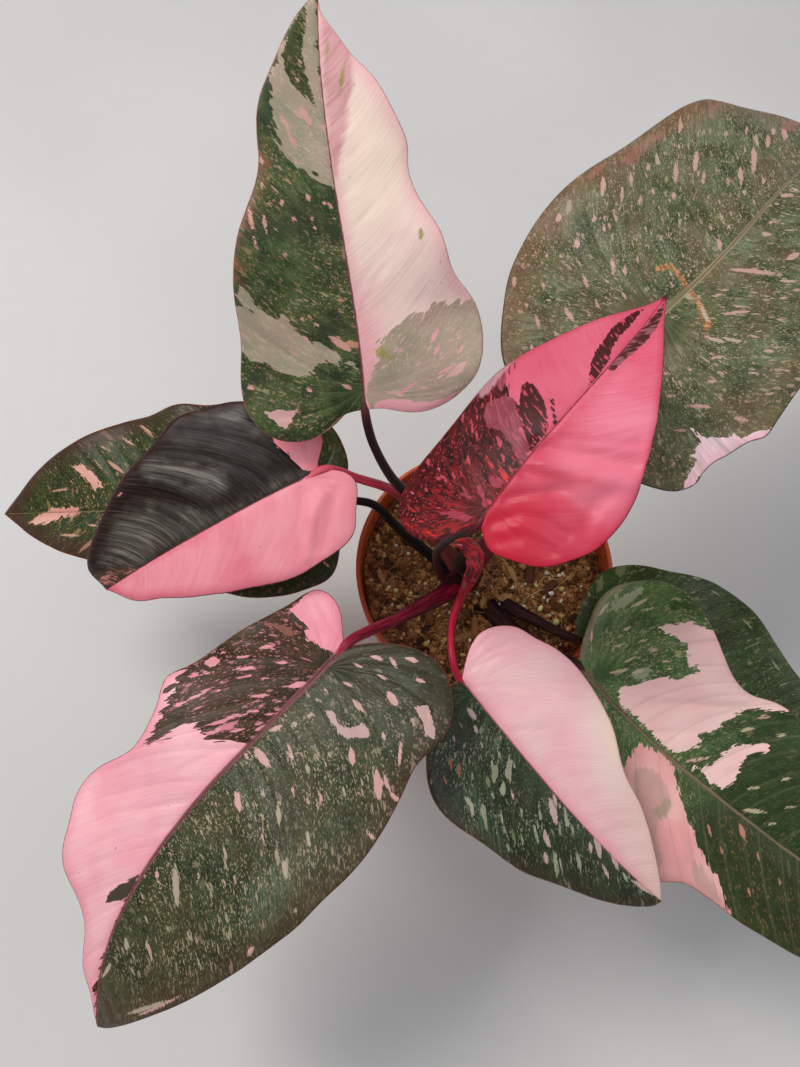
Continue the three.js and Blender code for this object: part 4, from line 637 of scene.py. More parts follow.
        name="front_right", joint=(35.89, -51.39, 126), along=(0.7544, -0.61157, -0.23848), up=(0.18525, -0.15018, 0.97115),
        length=177.41, start=0.2094, arch=0.4189, power=1.0, lobe=-0.1745,
        fold=(0.1396, -0.0873, 0.1396, -0.3491), ripple=((4, 66, -1.5), (2, 60, 1)), bow=(47.3, -47.33), quilt=(0.35, 0.4), vein_depth=0.18, wave=0.7,
        folds=[
            ([(31.2, -4.2), (45.1, -15.6), (64.1, -30.2), (73.9, -41.6)], 2, -1.3),
            ([(37.9, 4.9), (44.9, -1.5), (53, -7.7)], 1.2, -0.45),
            ([(45.8, -22.1), (61.1, -35.9), (72.8, -38.6)], 4, 0.6),
            ([(2.3, -4.5), (-3, -16.7), (-3.8, -30.6), (2.2, -45.4)], 2.6, -0.7),
            ([(-0.2, -5.2), (-6.9, -16.3), (-8.9, -30.2)], 2.2, 0.4),
        ],
        left=[(-2.6, -3.9), (-4.5, -8.3), (-6, -13), (-7.4, -17.7), (-8.6, -22.5), (-9.4, -27.3), (-9.3, -32.2), (-8.1, -36.9), (-6.1, -41.4), (-3.4, -45.5),
        (-0.3, -49.4), (3.2, -52.8), (7.3, -55.3), (11.9, -56.2), (16.6, -55.6), (21.2, -53.9), (25.5, -51.5), (29.7, -48.9), (34, -46.5), (38.5, -44.5),
        (43.1, -42.7), (47.8, -41.2), (52.6, -39.8), (57.4, -38.9), (62.3, -38.7), (67, -39.5), (71.4, -41.4), (75.9, -43), (80.6, -43), (85.4, -41.9),
        (90.1, -40.7), (95, -39.6), (99.9, -38.9), (104.8, -38.5), (109.7, -38.1), (114.6, -37.5), (119.5, -36.6), (124.3, -35.4), (129, -33.9), (133.5, -32),
        (137.8, -29.6), (141.9, -26.8), (145.8, -23.7), (149.7, -20.7), (153.7, -17.9), (157.8, -15.1), (161.9, -12.3), (165.9, -9.4), (169.8, -6.3), (173.6, -3.2),],
        right=[(-2.2, 4.3), (-4.3, 8.5), (-5.8, 13), (-6.6, 17.7), (-6.6, 22.5), (-5.8, 27.2), (-4.3, 31.7), (-2.3, 36), (0.3, 40), (3.4, 43.6),
        (7, 46.7), (11, 49.4), (15.2, 51.6), (19.7, 53.2), (24.3, 54.4), (29.1, 55.2), (33.8, 55.7), (38.6, 56), (43.4, 56.1), (48.2, 55.8),
        (52.9, 55.2), (57.6, 54.3), (62.3, 53.1), (66.9, 51.8), (71.4, 50.2), (75.6, 48), (79.4, 45.2), (83.3, 42.6), (87.6, 41.2), (92.3, 40.6),
        (97.1, 40.1), (101.9, 39.8), (106.7, 39.7), (111.4, 39.4), (116.2, 38.7), (120.9, 37.8), (125.6, 37), (130.3, 36.1), (135, 35.2), (139.7, 34.1),
        (144.2, 32.6), (148.7, 30.8), (152.9, 28.6), (156.9, 26), (160.7, 23.1), (164.2, 19.8), (167.5, 16.3), (170.4, 12.5), (173, 8.5), (175.3, 4.3),],
        patches={
            "pink": [[(16.6, -34.2), (20.3, -38.6), (25.6, -43.3), (29.5, -44.4), (35.9, -45.4), (41.1, -47), (56, -44.4), (68.6, -44), (83.8, -45.5), (84.2, -44.7),
            (74.3, -38.1), (67.9, -32.3), (63.8, -26.7), (60.6, -19.8), (61.4, -16.8), (53.9, -7.9), (56.8, -6.7), (56.1, -2.5), (53.5, 1.8), (51.4, 4.5),
            (41.6, 4.4), (33, 3.1), (26.9, 3), (20.6, 1.9), (18.3, -3.1), (22.4, -7.5), (26, -13.6), (32.5, -19.8), (34.5, -18.4), (39.6, -28.9),
            (37.5, -30.6), (35.5, -26.8), (32.5, -29.9), (29, -34.9), (23.6, -34.5), (19.6, -33.7),], [(79.2, -24.7), (82, -21.9), (77.2, -16.9), (75.3, -11.1), (76.4, -7.9), (77.8, -3.5), (75.4, 2.5), (69, 3.8), (65.5, 2.6), (59.9, 4.6),
            (66.3, -2.2), (67.5, -8.8), (69.2, -14.4), (74.4, -19.2),]],
            "mauve": [[(37.4, 10.4), (42.2, 9.1), (51.1, 7.8), (55.6, 9.2), (57.8, 12.9), (62.5, 17.1), (70.2, 22.6), (77.7, 27.2), (87.8, 30.9), (96, 33.5),
            (101.6, 36.9), (109, 41.1), (96.5, 45.8), (84.3, 45.3), (78.1, 50.2), (63.4, 47.1), (48.6, 39.7), (39.4, 32.5), (37.2, 24.2),]],
            "pale": [[(-3.4, -26.7), (-3.4, -33.4), (-0.8, -41.4), (3.2, -48.3), (3.5, -43.9), (1.3, -36.9), (-0.9, -29.4),], [(19.2, -9.1), (19.8, -13.3), (22.6, -17.1), (24.2, -16.8), (24, -13), (21.6, -10),]],
            "stain": [[(41.8, 21.5), (44, 16.7), (50.3, 15.5), (56.2, 17.7), (60.3, 20.8), (61.2, 25.9), (60.2, 29.6), (63.5, 37.1), (70.8, 42), (70.3, 45.3),
            (61.2, 40), (51.9, 33),], [(80.2, 32.5), (85.4, 32.8), (93.1, 35.1), (102.2, 38.2), (96.8, 39.2), (90.3, 39.4), (84.1, 38.3),]],
            "smudge": [[(56.3, 28.9), (56.1, 25.7), (57.8, 22.3), (60.6, 20.5), (61.3, 23.8), (61.8, 29.8), (59.4, 29.8),]],
            "ember": [[(72.4, 16.4), (81.8, 6), (99.7, 4.5), (120.7, 6.8), (139, 7.6), (154.8, 20.1), (143.7, 35.8), (126.7, 39.3), (112.3, 39.7), (97.8, 34.3),
            (82.7, 26.6),]],
            "edge": [[(-1.2, -1.7), (-3.7, -7.3), (-6.1, -15.2), (-8.6, -25.7), (-8.6, -32.9), (-6.4, -39.9), (-4.6, -42.3), (-6.5, -34.8), (-6.9, -27.2), (-4.6, -17.6),
            (-2.3, -8.9), (0.1, -2.7),]],
        },
        flecks=[((88.9, 9.1), (93.4, 12.9), 2.69, "o"), ((86.7, 4), (95.1, -1.9), 1.76, "c"), ((3.2, -35.4), (7.2, -44.4), 1.69, "c"), ((5.9, -23.5), (7.9, -27.4), 1.39, "c"),
            ((11.6, -5), (17.7, -12.1), 1.53, "c"), ((7.2, -36.3), (12.2, -42.6), 1.21, "c"), ((13.1, -48.7), (18.8, -51.3), 1.19, "c"), ((31.3, -29.9), (33.9, -32.6), 1.3, "c"),
            ((18.6, -10.7), (22, -15.1), 1.77, "c"), ((25.8, -22.3), (28.4, -24.9), 1.3, "p"), ((19.2, -23), (21.6, -25.9), 1.32, "p"), ((6.7, -15.2), (9.2, -18.3), 1.15, "c"),
            ((13, -23), (16.7, -27.1), 1.14, "c"), ((71.8, -31.2), (75.7, -35.6), 1.37, "p"), ((67.9, -21.1), (73.5, -27.3), 1.38, "c"), ((80.5, -28.9), (84.3, -33.2), 1.29, "c"),
            ((83.3, -4), (87.1, -8.1), 1.31, "c"), ((91.3, -15.2), (95, -19.3), 1.1, "c"), ((77.3, 18.3), (81.4, 21.3), 1.31, "o"), ((86.8, 22), (89.8, 23.9), 1.3, "o"),
            ((100.2, 13.3), (103, 15.9), 1.33, "o"), ((113.8, 15.7), (116.4, 18), 1.34, "o"), ((105, 26.9), (107.8, 29.1), 1.28, "o"), ((97.4, 2.3), (102.1, -1.5), 1.12, "c"),
            ((99.2, -7.8), (104, -11.8), 1.12, "c"), ((56.4, 4.4), (64.1, -4.5), 1.5, "p"), ((-1.7, -11.1), (-4.6, -15.9), 1.15, "p"), ((-5.8, -22.3), (-5.5, -30.8), 1.41, "c"),],
    ),
    dict(
        name="right_lower", joint=(49.1, -40.69, 111), along=(0.88012, -0.406, -0.24607), up=(0.22344, -0.10307, 0.96925),
        length=143.11, start=0.1920, arch=0.3840, power=1.0, lobe=-0.1745,
        fold=(0.1396, -0.0873, 0.1396, -0.1745), ripple=((2, 60, 0), (1.5, 60, 1)), bow=(4.93, -1.93), quilt=0.4,
        left=[(-4.2, 0.9), (-8.2, 1.2), (-11.5, -0.4), (-13.4, -3.9), (-14.3, -8.1), (-14.7, -12.4), (-14.7, -16.7), (-14.3, -21.1), (-13.7, -25.3), (-12.7, -29.5),
        (-11, -33.5), (-8.4, -36.8), (-5.1, -39.5), (-1.3, -41.6), (2.7, -43.2), (6.9, -44.2), (11.2, -44.9), (15.4, -45.7), (19.6, -47), (23.6, -48.5),
        (27.7, -50), (31.8, -51.4), (36, -52.6), (40.2, -53.2), (44.5, -53), (48.8, -52.3), (52.9, -51), (56.9, -49.2), (60.5, -47), (64, -44.3),
        (67.3, -41.5), (70.7, -38.8), (74.3, -36.4), (78, -34.2), (81.9, -32.2), (85.9, -30.5), (90, -29.1), (94.1, -27.6), (98.2, -26.2), (102.2, -24.6),
        (106.2, -22.8), (110, -20.8), (113.8, -18.7), (117.6, -16.6), (121.4, -14.4), (125.1, -12.1), (128.8, -9.8), (132.4, -7.4), (136, -5), (139.6, -2.5),],
        right=[(-0.8, 3.7), (-1.8, 7.3), (-2.9, 10.9), (-3.7, 14.6), (-4, 18.3), (-3.7, 22.1), (-2.7, 25.6), (-1.1, 29), (1.1, 32.1), (3.6, 34.8),
        (6.5, 37.3), (9.6, 39.4), (13, 41.1), (16.5, 42.4), (20.1, 43.4), (23.8, 44.2), (27.5, 44.8), (31.3, 45.3), (35.1, 45.6), (38.8, 45.9),
        (42.6, 46.1), (46.4, 46.3), (50.1, 46.3), (53.9, 46.1), (57.7, 45.8), (61.4, 45.2), (65.1, 44.4), (68.8, 43.5), (72.4, 42.5), (76, 41.4),
        (79.6, 40.1), (83.1, 38.8), (86.6, 37.4), (90.1, 35.9), (93.5, 34.3), (96.9, 32.7), (100.3, 30.9), (103.5, 29), (106.7, 27), (109.9, 24.9),
        (113, 22.8), (116.1, 20.6), (119.3, 18.5), (122.4, 16.4), (125.5, 14.2), (128.6, 12.1), (131.6, 9.8), (134.6, 7.4), (137.4, 5), (140.3, 2.5),],
        patches={

        },
        flecks=[((37.7, -48.4), (44.4, -48.3), 1.17, "c"), ((54.9, -42.2), (60.7, -38.7), 1.12, "c"), ((72.3, -29.4), (78.7, -26.7), 1.12, "c"), ((25.8, -48.3), (31.7, -50.3), 0.91, "c"),],
    ),
]

# centre lines: x, y, z, radius
PETIOLES = {
    "top_left": [(-9, -1, 126, 3.3), (-24, 13, 143, 2.7), (-40, 14.1, 164, 2.2), (-49.2, 22.5, 182, 1.9), (-52.6, 33.3, 194.6, 1.8)],
    "back_right": [(-5, -2, 118, 3.6), (18, 19, 142, 3), (48, 53, 172, 2.5), (75.9, 84.1, 196.4, 2.2)],
    "centre": [(-12, -8, 119, 3.2), (-19.8, -15.6, 131, 2.9), (-24.1, -15.6, 151, 2.5), (-24.7, -16.7, 172, 2.3), (-19.8, -20.1, 196, 2.2), (-11.8, -20.8, 212.3, 2)],
    "left_upper": [(-13, -3, 112, 3.3), (-27, 8, 130, 2.6), (-39.2, 16.7, 148, 2.1), (-55.1, 14, 170, 1.8), (-70.9, 11.8, 178.9, 1.7)],
    "left_lower": [(-13, -4, 101, 3.2), (-27, 5, 109, 2.7), (-41.4, 14.5, 119, 2.3), (-51.6, 19.4, 132, 2.1), (-73.8, 18.2, 136.8, 1.9)],
    "front_left": [(-12, -10, 105, 3.4), (-19.1, -17.8, 116, 3.1), (-41.2, -36.5, 143, 2.5), (-60.1, -52.4, 158.6, 2)],
    "front": [(-10.6, -20.2, 142.5, 2.9), (-14, -26.9, 143.5, 2.5), (-18.5, -39.7, 149, 2.2), (-19, -52.6, 152.5, 2), (-15, -62.9, 148.7, 1.9)],
    "front_right": [(-6, -8, 103, 3.5), (5, -22, 106, 3), (16, -34.9, 113, 2.5), (25.9, -44.7, 121, 2.2), (36.4, -51.8, 122.6, 2)],
    "right_lower": [(-4, -5, 102, 3.5), (8.3, -15.1, 103.5, 3), (20.4, -25.3, 108, 2.6), (35, -34.8, 111, 2.2), (49.7, -41, 107.6, 2)],
}
STEM = [(-7, -4, 73, 7), (-8, -5, 98, 7.2), (-9, -6, 116, 6.6), (-9.5, -7, 130, 5.6), (-10, -9, 139, 3.6)]
SHEATH = [(-18.7, -6, 153, 1.6), (-13.5, -6.8, 153, 2.7), (-9.3, -9.4, 150.5, 3.4), (-8.3, -14.3, 147, 3.5), (-10.2, -19.1, 143.3, 2.9)]


# ------------------------------------------------------------------ leaf blades
class Blade:
    """the bent surface of a leaf; (a, b) are millimetres on the leaf pressed flat"""

    def __init__(s, d):
        s.d = d
        s.L = d["length"]
        s.J = np.array(d["joint"], float)
        s.T = np.array(d["along"], float)
        s.N = np.array(d["up"], float)
        s.B = np.cross(s.T, s.N)
        du = 1 / 400
        u = np.arange(0, 1.2001, du)
        th = d["start"] - d["arch"] * u ** d["power"]
        x = np.concatenate([[0], np.cumsum(np.cos((th[1:] + th[:-1]) / 2)) * du])
        y = np.concatenate([[0], np.cumsum(np.sin((th[1:] + th[:-1]) / 2)) * du])
        un = np.arange(0, 0.8, du)
        tn = d["start"] + d["lobe"] * un
        xn = -np.concatenate([[0], np.cumsum(np.cos((tn[1:] + tn[:-1]) / 2)) * du])
        yn = -np.concatenate([[0], np.cumsum(np.sin((tn[1:] + tn[:-1]) / 2)) * du])
        s.ut = np.concatenate([-un[:0:-1], u])
        s.xt = np.concatenate([xn[:0:-1], x])
        s.yt = np.concatenate([yn[:0:-1], y])
        s.tt = np.concatenate([tn[:0:-1], th])

    def mid(s, a):
        u = np.clip(np.asarray(a, float) / s.L, 0, 1)
        return u * (1 - u) * (s.d["bow"][0] + s.d["bow"][1] * u)

    def at(s, a, b, lift=0.0):
        d = s.d
        u = a / s.L
        x = np.interp(u, s.ut, s.xt) * s.L
        y = np.interp(u, s.ut, s.yt) * s.L
        th = np.interp(u, s.ut, s.tt)
        m = s.mid(a)
        off = b - m
        sg = np.sign(off)
        w = abs(off)
        lf = sg < 0
        f0 = np.where(lf, d["fold"][0], d["fold"][2])
        f1 = np.where(lf, d["fold"][1], d["fold"][3])
        k = (f1 - f0) / 50
        k = np.where(abs(k) < 1e-6, 1e-6, k)
        X = (np.sin(f0 + k * w) - np.sin(f0)) / k
        Y = (np.cos(f0) - np.cos(f0 + k * w)) / k
        rl, rr = d["ripple"]
        amp = np.where(lf, rl[0], rr[0])
        span = np.where(lf, rl[1], rr[1])
        ph = np.where(lf, rl[2], rr[2])
        Y = Y + amp * np.minimum(1.3, w / 40) ** 2 * np.sin(2 * np.pi * a / span + ph) + lift
        Na = -np.sin(th)[..., None] * s.T + np.cos(th)[..., None] * s.N
        return s.J + x[..., None] * s.T + y[..., None] * s.N + (m + sg * X)[..., None] * s.B + Y[..., None] * Na


FAN, SLOPE, SWEEP, STEP = 0.06, 0.80, 0.22, 1.13


def two(v):
    """a value for the left half and one for the right"""
    return v if isinstance(v, tuple) else (v, v)


def leaf_rows(S, d):
    """rows of points that follow the side veins from the midrib to the margin, for each half"""
    L = S.L
    heel, slope, sweep = d.get("heel", 0.0), d.get("slope", SLOPE), d.get("sweep", SWEEP)
    edges = []
    for side, half in ((-1, d["left"]), (1, d["right"])):
        E = catmull([[heel, 0, 0]] + [[a, b, 0] for a, b in half] + [[L, 0, 0]], 600, 6)[:, :2]
        E[:, 1] = S.mid(E[:, 0]) + side * np.maximum(side * (E[:, 1] - S.mid(E[:, 0])), 0.22)
        E[0] = (heel, 0)
        E[-1] = (L, 0)
        edges.append(E)
    lens = [np.linalg.norm(np.diff(E, axis=0), axis=1).sum() for E in edges]
    n = int(max(lens) / STEP) + 1
    edges = [resample(E, n) for E in edges]
    both = sum(E[:, 0] - slope * abs(E[:, 1] - S.mid(E[:, 0])) for E in edges) / 2
    mu = np.maximum.accumulate(np.clip(both, heel + FAN * L, L))
    M = np.stack([mu, S.mid(mu)], 1)
    halves = []
    rmax = max(np.linalg.norm(E - M, axis=1).max() for E in edges)
    nc = int(rmax / STEP) + 1
    v = np.linspace(0, 1, nc + 1)
    for h, E in enumerate(edges):
        bw = abs(E[:, 1] - S.mid(E[:, 0]))
        C = (M + E) / 2 - np.stack([sweep * bw, 0 * bw], 1)
        vv = v[None, :, None]
        P = (1 - vv) ** 2 * M[:, None] + 2 * vv * (1 - vv) * C[:, None] + vv ** 2 * E[:, None]
        ln = np.linalg.norm(np.diff(P, axis=1), axis=2).sum(1)
        k = nc // 2
        dirn = P[:, k + 1] - P[:, k - 1]
        dirn /= np.linalg.norm(dirn, axis=1)[:, None] + 1e-9
        dq = np.diff(P[:, k], axis=0)
        perp = abs(dq[:, 0] * dirn[1:, 1] - dq[:, 1] * dirn[1:, 0])
        p = np.concatenate([[0], np.cumsum(perp)]) + h * 700
        # how closely neighbouring rows crowd together, against their spacing half way out
        dP = np.diff(P, axis=0)
        dv = np.gradient(P, axis=1)
        dv /= np.linalg.norm(dv, axis=2)[..., None] + 1e-9
        pr = abs(dP[..., 0] * dv[1:, :, 1] - dP[..., 1] * dv[1:, :, 0]) / (perp[:, None] + 1e-6)
        pr = np.vstack([pr[:1], (pr[1:] + pr[:-1]) / 2, pr[-1:]])
        for _ in range(8):
            pr[1:-1] = (pr[:-2] + pr[1:-1] * 2 + pr[2:]) / 4
        halves.append((P, p, ln, np.clip(pr, 0, 1.5)))
    return edges, halves, nc, v


def build_leaf(key, d, mat, seed):
    S = Blade(d)
    L = S.L
    heel = d.get("heel", 0.0)
    edges, halves, nc, v = leaf_rows(S, d)
    # all vertices: top sheet then bottom sheet (bottom has every second column)
    margin = np.vstack([edges[0], edges[1][::-1]])
    allP, allp, alls, alll, allside, allc, idx = [], [], [], [], [], [], {}
    count = 0
    for sheet in (0, 1):
        cols = np.arange(nc + 1) if sheet == 0 else np.unique(np.r_[np.arange(0, nc + 1, 2), nc])
        for h, (P, p, ln, pr) in enumerate(halves):
            allc.append(pr[:, cols].ravel())
            Q = P[:, cols]
            allP.append(Q.reshape(-1, 2))
            allp.append(np.repeat(p, len(cols)))
            alls.append((ln[:, None] * v[cols][None]).ravel())
            alll.append(np.repeat(ln, len(cols)))
            allside.append(np.full(Q.shape[0] * Q.shape[1], 1 - 2 * sheet))
            idx[(sheet, h)] = (count + np.arange(Q.shape[0] * Q.shape[1])).reshape(Q.shape[:2])
            count += Q.shape[0] * Q.shape[1]
    F = np.vstack(allP)
    p, s_, rl = np.concatenate(allp), np.concatenate(alls), np.concatenate(alll)
    side = np.concatenate(allside)
    crowd = np.concatenate(allc)
    a, b = F[:, 0], F[:, 1]
    w = b - S.mid(a)
    u = a / L
    # distance to the margin
    dm = np.full(len(F), 1e9)
    for i in range(0, len(margin) - 1, 2):
        A, B = margin[i], margin[min(i + 2, len(margin) - 1)]
        t, _ = seg_dist(F, A, B)
        dm = np.minimum(dm, t)
    # lateral veins at uneven spacing
    rng = np.random.default_rng(seed)
    vl = np.full(len(F), 99.0)
    q0 = 3.0
    while q0 < max(h_[1][-1] % 700 for h_ in halves):
        for h in (0, 1):
            j = rng.uniform(-1.2, 1.2)
            sel = (p >= h * 700 - 1) & (p < h * 700 + 650)
            vl = np.where(sel, np.minimum(vl, abs(p - h * 700 - q0 - j)), vl)
        q0 += rng.uniform(6.5, 9.0)
    rowv = np.clip(s_ / (rl + 1e-6), 0, 1)
    body = np.clip(rowv * 4, 0, 1) * np.clip((1 - rowv) * 4, 0, 1)
    onrib = np.clip(((a - heel) / L + 0.01) / 0.03, 0, 1) * np.clip((1.0 - u) / 0.05, 0.25, 1)
    ribw = 1.15 - 0.75 * np.clip(u, 0, 1)
    groove = np.exp(-(w / (0.75 * ribw + 0.25)) ** 2) * onrib
    rib = np.exp(-(w / (1.25 * ribw + 0.2)) ** 2) * onrib
    vw = d.get("vein_width", 0.6)
    vein = np.exp(-(vl / vw) ** 2) * np.clip(rowv * 6 + 0.3, 0, 1) * np.clip((1 - rowv) * 3, 0, 1)
    quilt = np.clip(vl / 4.0, 0, 1) ** 0.8 * body
    slow = fbm(np.stack([a / 17 + seed, b / 17, 0 * a], 1), 2, seed)
    fine = fbm(np.stack([p / 3.1, s_ / 9.0, 0 * a + seed], 1), 2, seed + 5)
    t = 0.22 + 0.5 * (1 - np.exp(-dm / 0.8))
    lf = w < 0
    puff = np.where(lf, *two(d.get("quilt", 0.22)))
    vd = np.where(lf, *two(d.get("vein_depth", 0.16)))
    wav = d.get("wave", 0.45)
    # long soft creases that follow the side veins
    calm = np.clip(crowd * 1.6 - 0.2, 0, 1)
    crease = fbm(np.stack([p / 6.5, s_ / 60.0, 0 * a + seed], 1), 2, seed + 8) * np.clip(rowv * 3, 0, 1) * np.clip(dm / 7, 0, 1)
    fine = (fine + np.where(lf, *two(d.get("crease", 2.5))) * crease) * calm
    vein = vein * (0.05 + 0.95 * calm)
    # drawn folds, raised or sunk along a line
    bend = np.zeros(len(F))
    for line, width, height in d.get("folds", []):
        line = np.array(line, float)
        dist = np.full(len(F), 1e9)
        for A, B in zip(line[:-1], line[1:]):
            dist = np.minimum(dist, seg_dist(F, A, B)[0])
        bend += height * np.exp(-(dist / width) ** 2) * np.clip(dm / 3, 0.15, 1) * np.clip(abs(w) / 2, 0, 1)
    top = t / 2 - 0.42 * groove * ribw - vd * vein + puff * quilt + wav * slow * np.clip(dm / 12, 0, 1) + 0.05 * fine * body
    curl = d.get("curl", -0.25) * np.exp(-(dm / 1.3) ** 2)
    bot = -t / 2 - 1.0 * rib * ribw - 1.2 * vd * vein + puff * quilt + wav * slow * np.clip(dm / 12, 0, 1) + 0.05 * fine * body
    lift = np.where(side > 0, top, bot) + curl + bend
    V = S.at(a, b, lift)
    # sheets and margin strip
    quads = []
    for sheet in (0, 1):
        for h in (0, 1):
            g = idx[(sheet, h)]
            q = np.stack([g[:-1, :-1], g[:-1, 1:], g[1:, 1:], g[1:, :-1]], -1).reshape(-1, 4)
            if (h == 0) != (sheet == 1):
                q = q[:, ::-1]
            quads.append(q)
    for h in (0, 1):
        t0, b0 = idx[(0, h)][:, -1], idx[(1, h)][:, -1]
        q = np.stack([t0[1:], t0[:-1], b0[:-1], b0[1:]], -1)
        if h == 0:
            q = q[:, ::-1]
        quads.append(q)
    quads = np.vstack(quads)
    keys = np.stack([np.round(a * 200), np.round(b * 200), side], 1).astype(np.int64)
    _, first, inv = np.unique(keys, axis=0, return_index=True, return_inverse=True)
    inv = inv.ravel()
    quads = inv[quads]
    faces = []
    for q in quads.tolist():
        r = [q[i] for i in range(4) if q[i] != q[i - 1]]
        if len(r) >= 3 and len(set(r)) == len(r):
            faces.append(r)
    F, V = F[first], V[first]
    at = {
        "flat": np.stack([F[:, 0], F[:, 1], side[first]], 1),
        "vein": np.stack([p[first], s_[first], rl[first]], 1),
        "meas": np.stack([dm[first], w[first], u[first]], 1),
        "vl": vl[first],
        "open": crowd[first],
    }
    for name, polys in d.get("patches", {}).items():
        sd = np.full(len(F), -60.0)
        for poly in polys:
            sd = np.maximum(sd, poly_sd(F, poly))
        at["m_" + name] = sd
    kinds = {}
    for A, B, width, kind in d.get("flecks", []):
        A, B = np.array(A, float), np.array(B, float)
        ds, tt = seg_dist(F, A, B)
        r = width / 2 * (1 - 0.75 * abs(2 * tt - 1) ** 2)
        kinds[kind] = np.maximum(kinds.get(kind, np.full(len(F), -20.0)), r - ds)
    for k in "pcgbo":
        at["f_" + k] = kinds.get(k, np.full(len(F), -20.0))
    lo, hi = F.min(0), F.max(0)
    wdt, hgt = hi[1] - lo[1] + 3, hi[0] - lo[0] + 3
    size = max(2 * wdt, hgt)
    uv = np.stack([(F[:, 1] - lo[1] + 1.5 + np.where(side[first] < 0, wdt, 0)) / size, (F[:, 0] - lo[0] + 1.5) / size], 1)
    o = add_object("blade_" + d["name"], V, faces, mat, at, uv)
    place(o, "leaf_" + d["name"], "leaf_" + d["name"])
    return o


def resample(E, n):
    s = np.concatenate([[0], np.cumsum(np.linalg.norm(np.diff(E, axis=0), axis=1))])
    q = np.linspace(0, s[-1], n)
    return np.stack([np.interp(q, s, E[:, 0]), np.interp(q, s, E[:, 1])], 1)


# ------------------------------------------------------------------ leaf colours
# Every pattern is worked out on the flat leaf: "vein" runs across and along the side
# veins, so flecks and ragged borders follow them; "m_*" are distances into the drawn
# sectors, "f_*" into the drawn flecks.
GAIN = 1.12


def c(r, g, b, k=GAIN):
    return lin(r, g, b, k)


def streaks(g, across, along, detail=2.0, rough=0.55, seed=0.0, dist=0.0):
    p, s, _ = g.xyz("vein")
    n = g.noise(g.vec(g.mul(p, across), g.mul(s, along), seed), 1.0, detail, rough, dist)
    return g.mad(g.sub(n, 0.5), calm(g), 0.5)


def calm(g):
    """fades the streaks where the side veins crowd together at the joint"""
    if "calm" not in g.cache:
        g.cache["calm"] = g.smooth(g.attr("open"), 0.16, 0.68)
    return g.cache["calm"]


def blotch(g, size, detail=2.0, seed=0.0):
    x, y, z = g.xyz("flat")
    return g.noise(g.vec(g.mul(x, 1 / size), g.mul(y, 1 / size), seed), 1.0, detail)


def dashes(g, across, along, share, size, seed, wobble=0.35, soft=0.1):
    """scattered dashes along the side veins; share of cells used, size of a dash in cells"""
    p, s, _ = g.xyz("vein")
    base = g.vec(g.add(g.mul(p, across), seed), g.add(g.mul(s, along), seed * 1.7), seed)
    n = g.noise(base, 1.7, 0.0, 0.6, 0.0, 1)
    v = g.vadd(base, g.vmul(g.vadd(n, (-0.5, -0.5, -0.5)), (wobble, wobble, 0)))
    out = g.voronoi(v, 1.0, "F1")
    sep = g.t.nodes.new("ShaderNodeSeparateColor")
    g.put(sep.inputs[0], out["Color"])
    r = g.smooth(sep.outputs[0], 1 - share, 1.0, 0.25, 1.0, "LINEAR")
    r = g.mul(g.mul(r, r), size)
    e = g.noise(base, 5.5, 1.0, 0.65)
    d = g.mad(g.sub(e, 0.5), size * 0.9, g.sub(r, out["Distance"]))
    on = g.mul(g.math("GREATER_THAN", sep.outputs[0], 1 - share), g.smooth(g.attr("open"), 0.25, 0.55))
    return g.mul(g.smooth(d, 0.0, soft), on), sep.outputs[1]


def ragged(g, name, amounts=((2.2, 0.5, 0.12), (1.0, 1.7, 0.4)), soft=0.12, seed=0.0, shift=0.0):
    x = g.attr(name)
    for i, (amp, across, along) in enumerate(amounts):
        n = streaks(g, across, along, 1.5, 0.5, seed + i * 7.3)
        x = g.mad(g.sub(n, 0.5), amp * 2, x)
    return g.smooth(x, shift - soft, shift + soft)


def half_mask(g, soft=0.15):
    _, w, _ = g.xyz("meas")
    return g.smooth(w, -soft, soft)


def green(g, dark, mid, tint, pale, seed, tint_amount=0.6, tint_lo=0.45, tint_hi=0.65, micro=0.5, med=0.3, patchy=0.5, pale2=None, microsize=0.62, medsize=0.62):
    n1 = blotch(g, 13.0, 2.0, seed)
    n2 = streaks(g, 0.35, 0.10, 2.0, 0.6, seed + 3)
    m = g.smooth(g.mad(n2, 0.5, g.mul(n1, 0.5)), 0.40, 0.60)
    col = g.mix(m, dark, mid)
    n3 = blotch(g, 21.0, 2.0, seed + 9)
    col = g.mix(g.mul(g.smooth(n3, tint_lo, tint_hi), tint_amount), col, tint)
    # fine light stippling between the veins
    n4 = streaks(g, 2.6, 0.9, 1.0, 0.6, seed + 5)
    col = g.mix(g.mul(g.smooth(n4, 0.52, 0.72), 0.35), col, pale)
    n5 = streaks(g, 1.4, 0.35, 1.0, 0.6, seed + 6)
    col = g.mix(g.mul(g.smooth(n5, 0.60, 0.42), 0.30), col, dark)
    dens = g.smooth(blotch(g, 16.0, 1.0, seed + 21), 0.38, 0.62, 1 - patchy, 1.0)
    d1, r1 = dashes(g, 2.3, 0.95, micro, microsize, seed + 11)
    pc = g.mix(r1, pale, pale2 or pale)
    col = g.mix(g.mul(g.mul(d1, dens), 0.8), col, pc)
    d3, r3 = dashes(g, 1.15, 0.33, micro * 0.55, microsize, seed + 14)
    col = g.mix(g.mul(g.mul(d3, dens), 0.85), col, g.mix(r3, pale2 or pale, pale))
    if med:
        d2, r2 = dashes(g, 0.42, 0.115, med, medsize, seed + 17, 0.6, 0.06)
        col = g.mix(g.mul(d2, 0.9), col, g.mix(r2, pale, pale2 or pale))
    return col


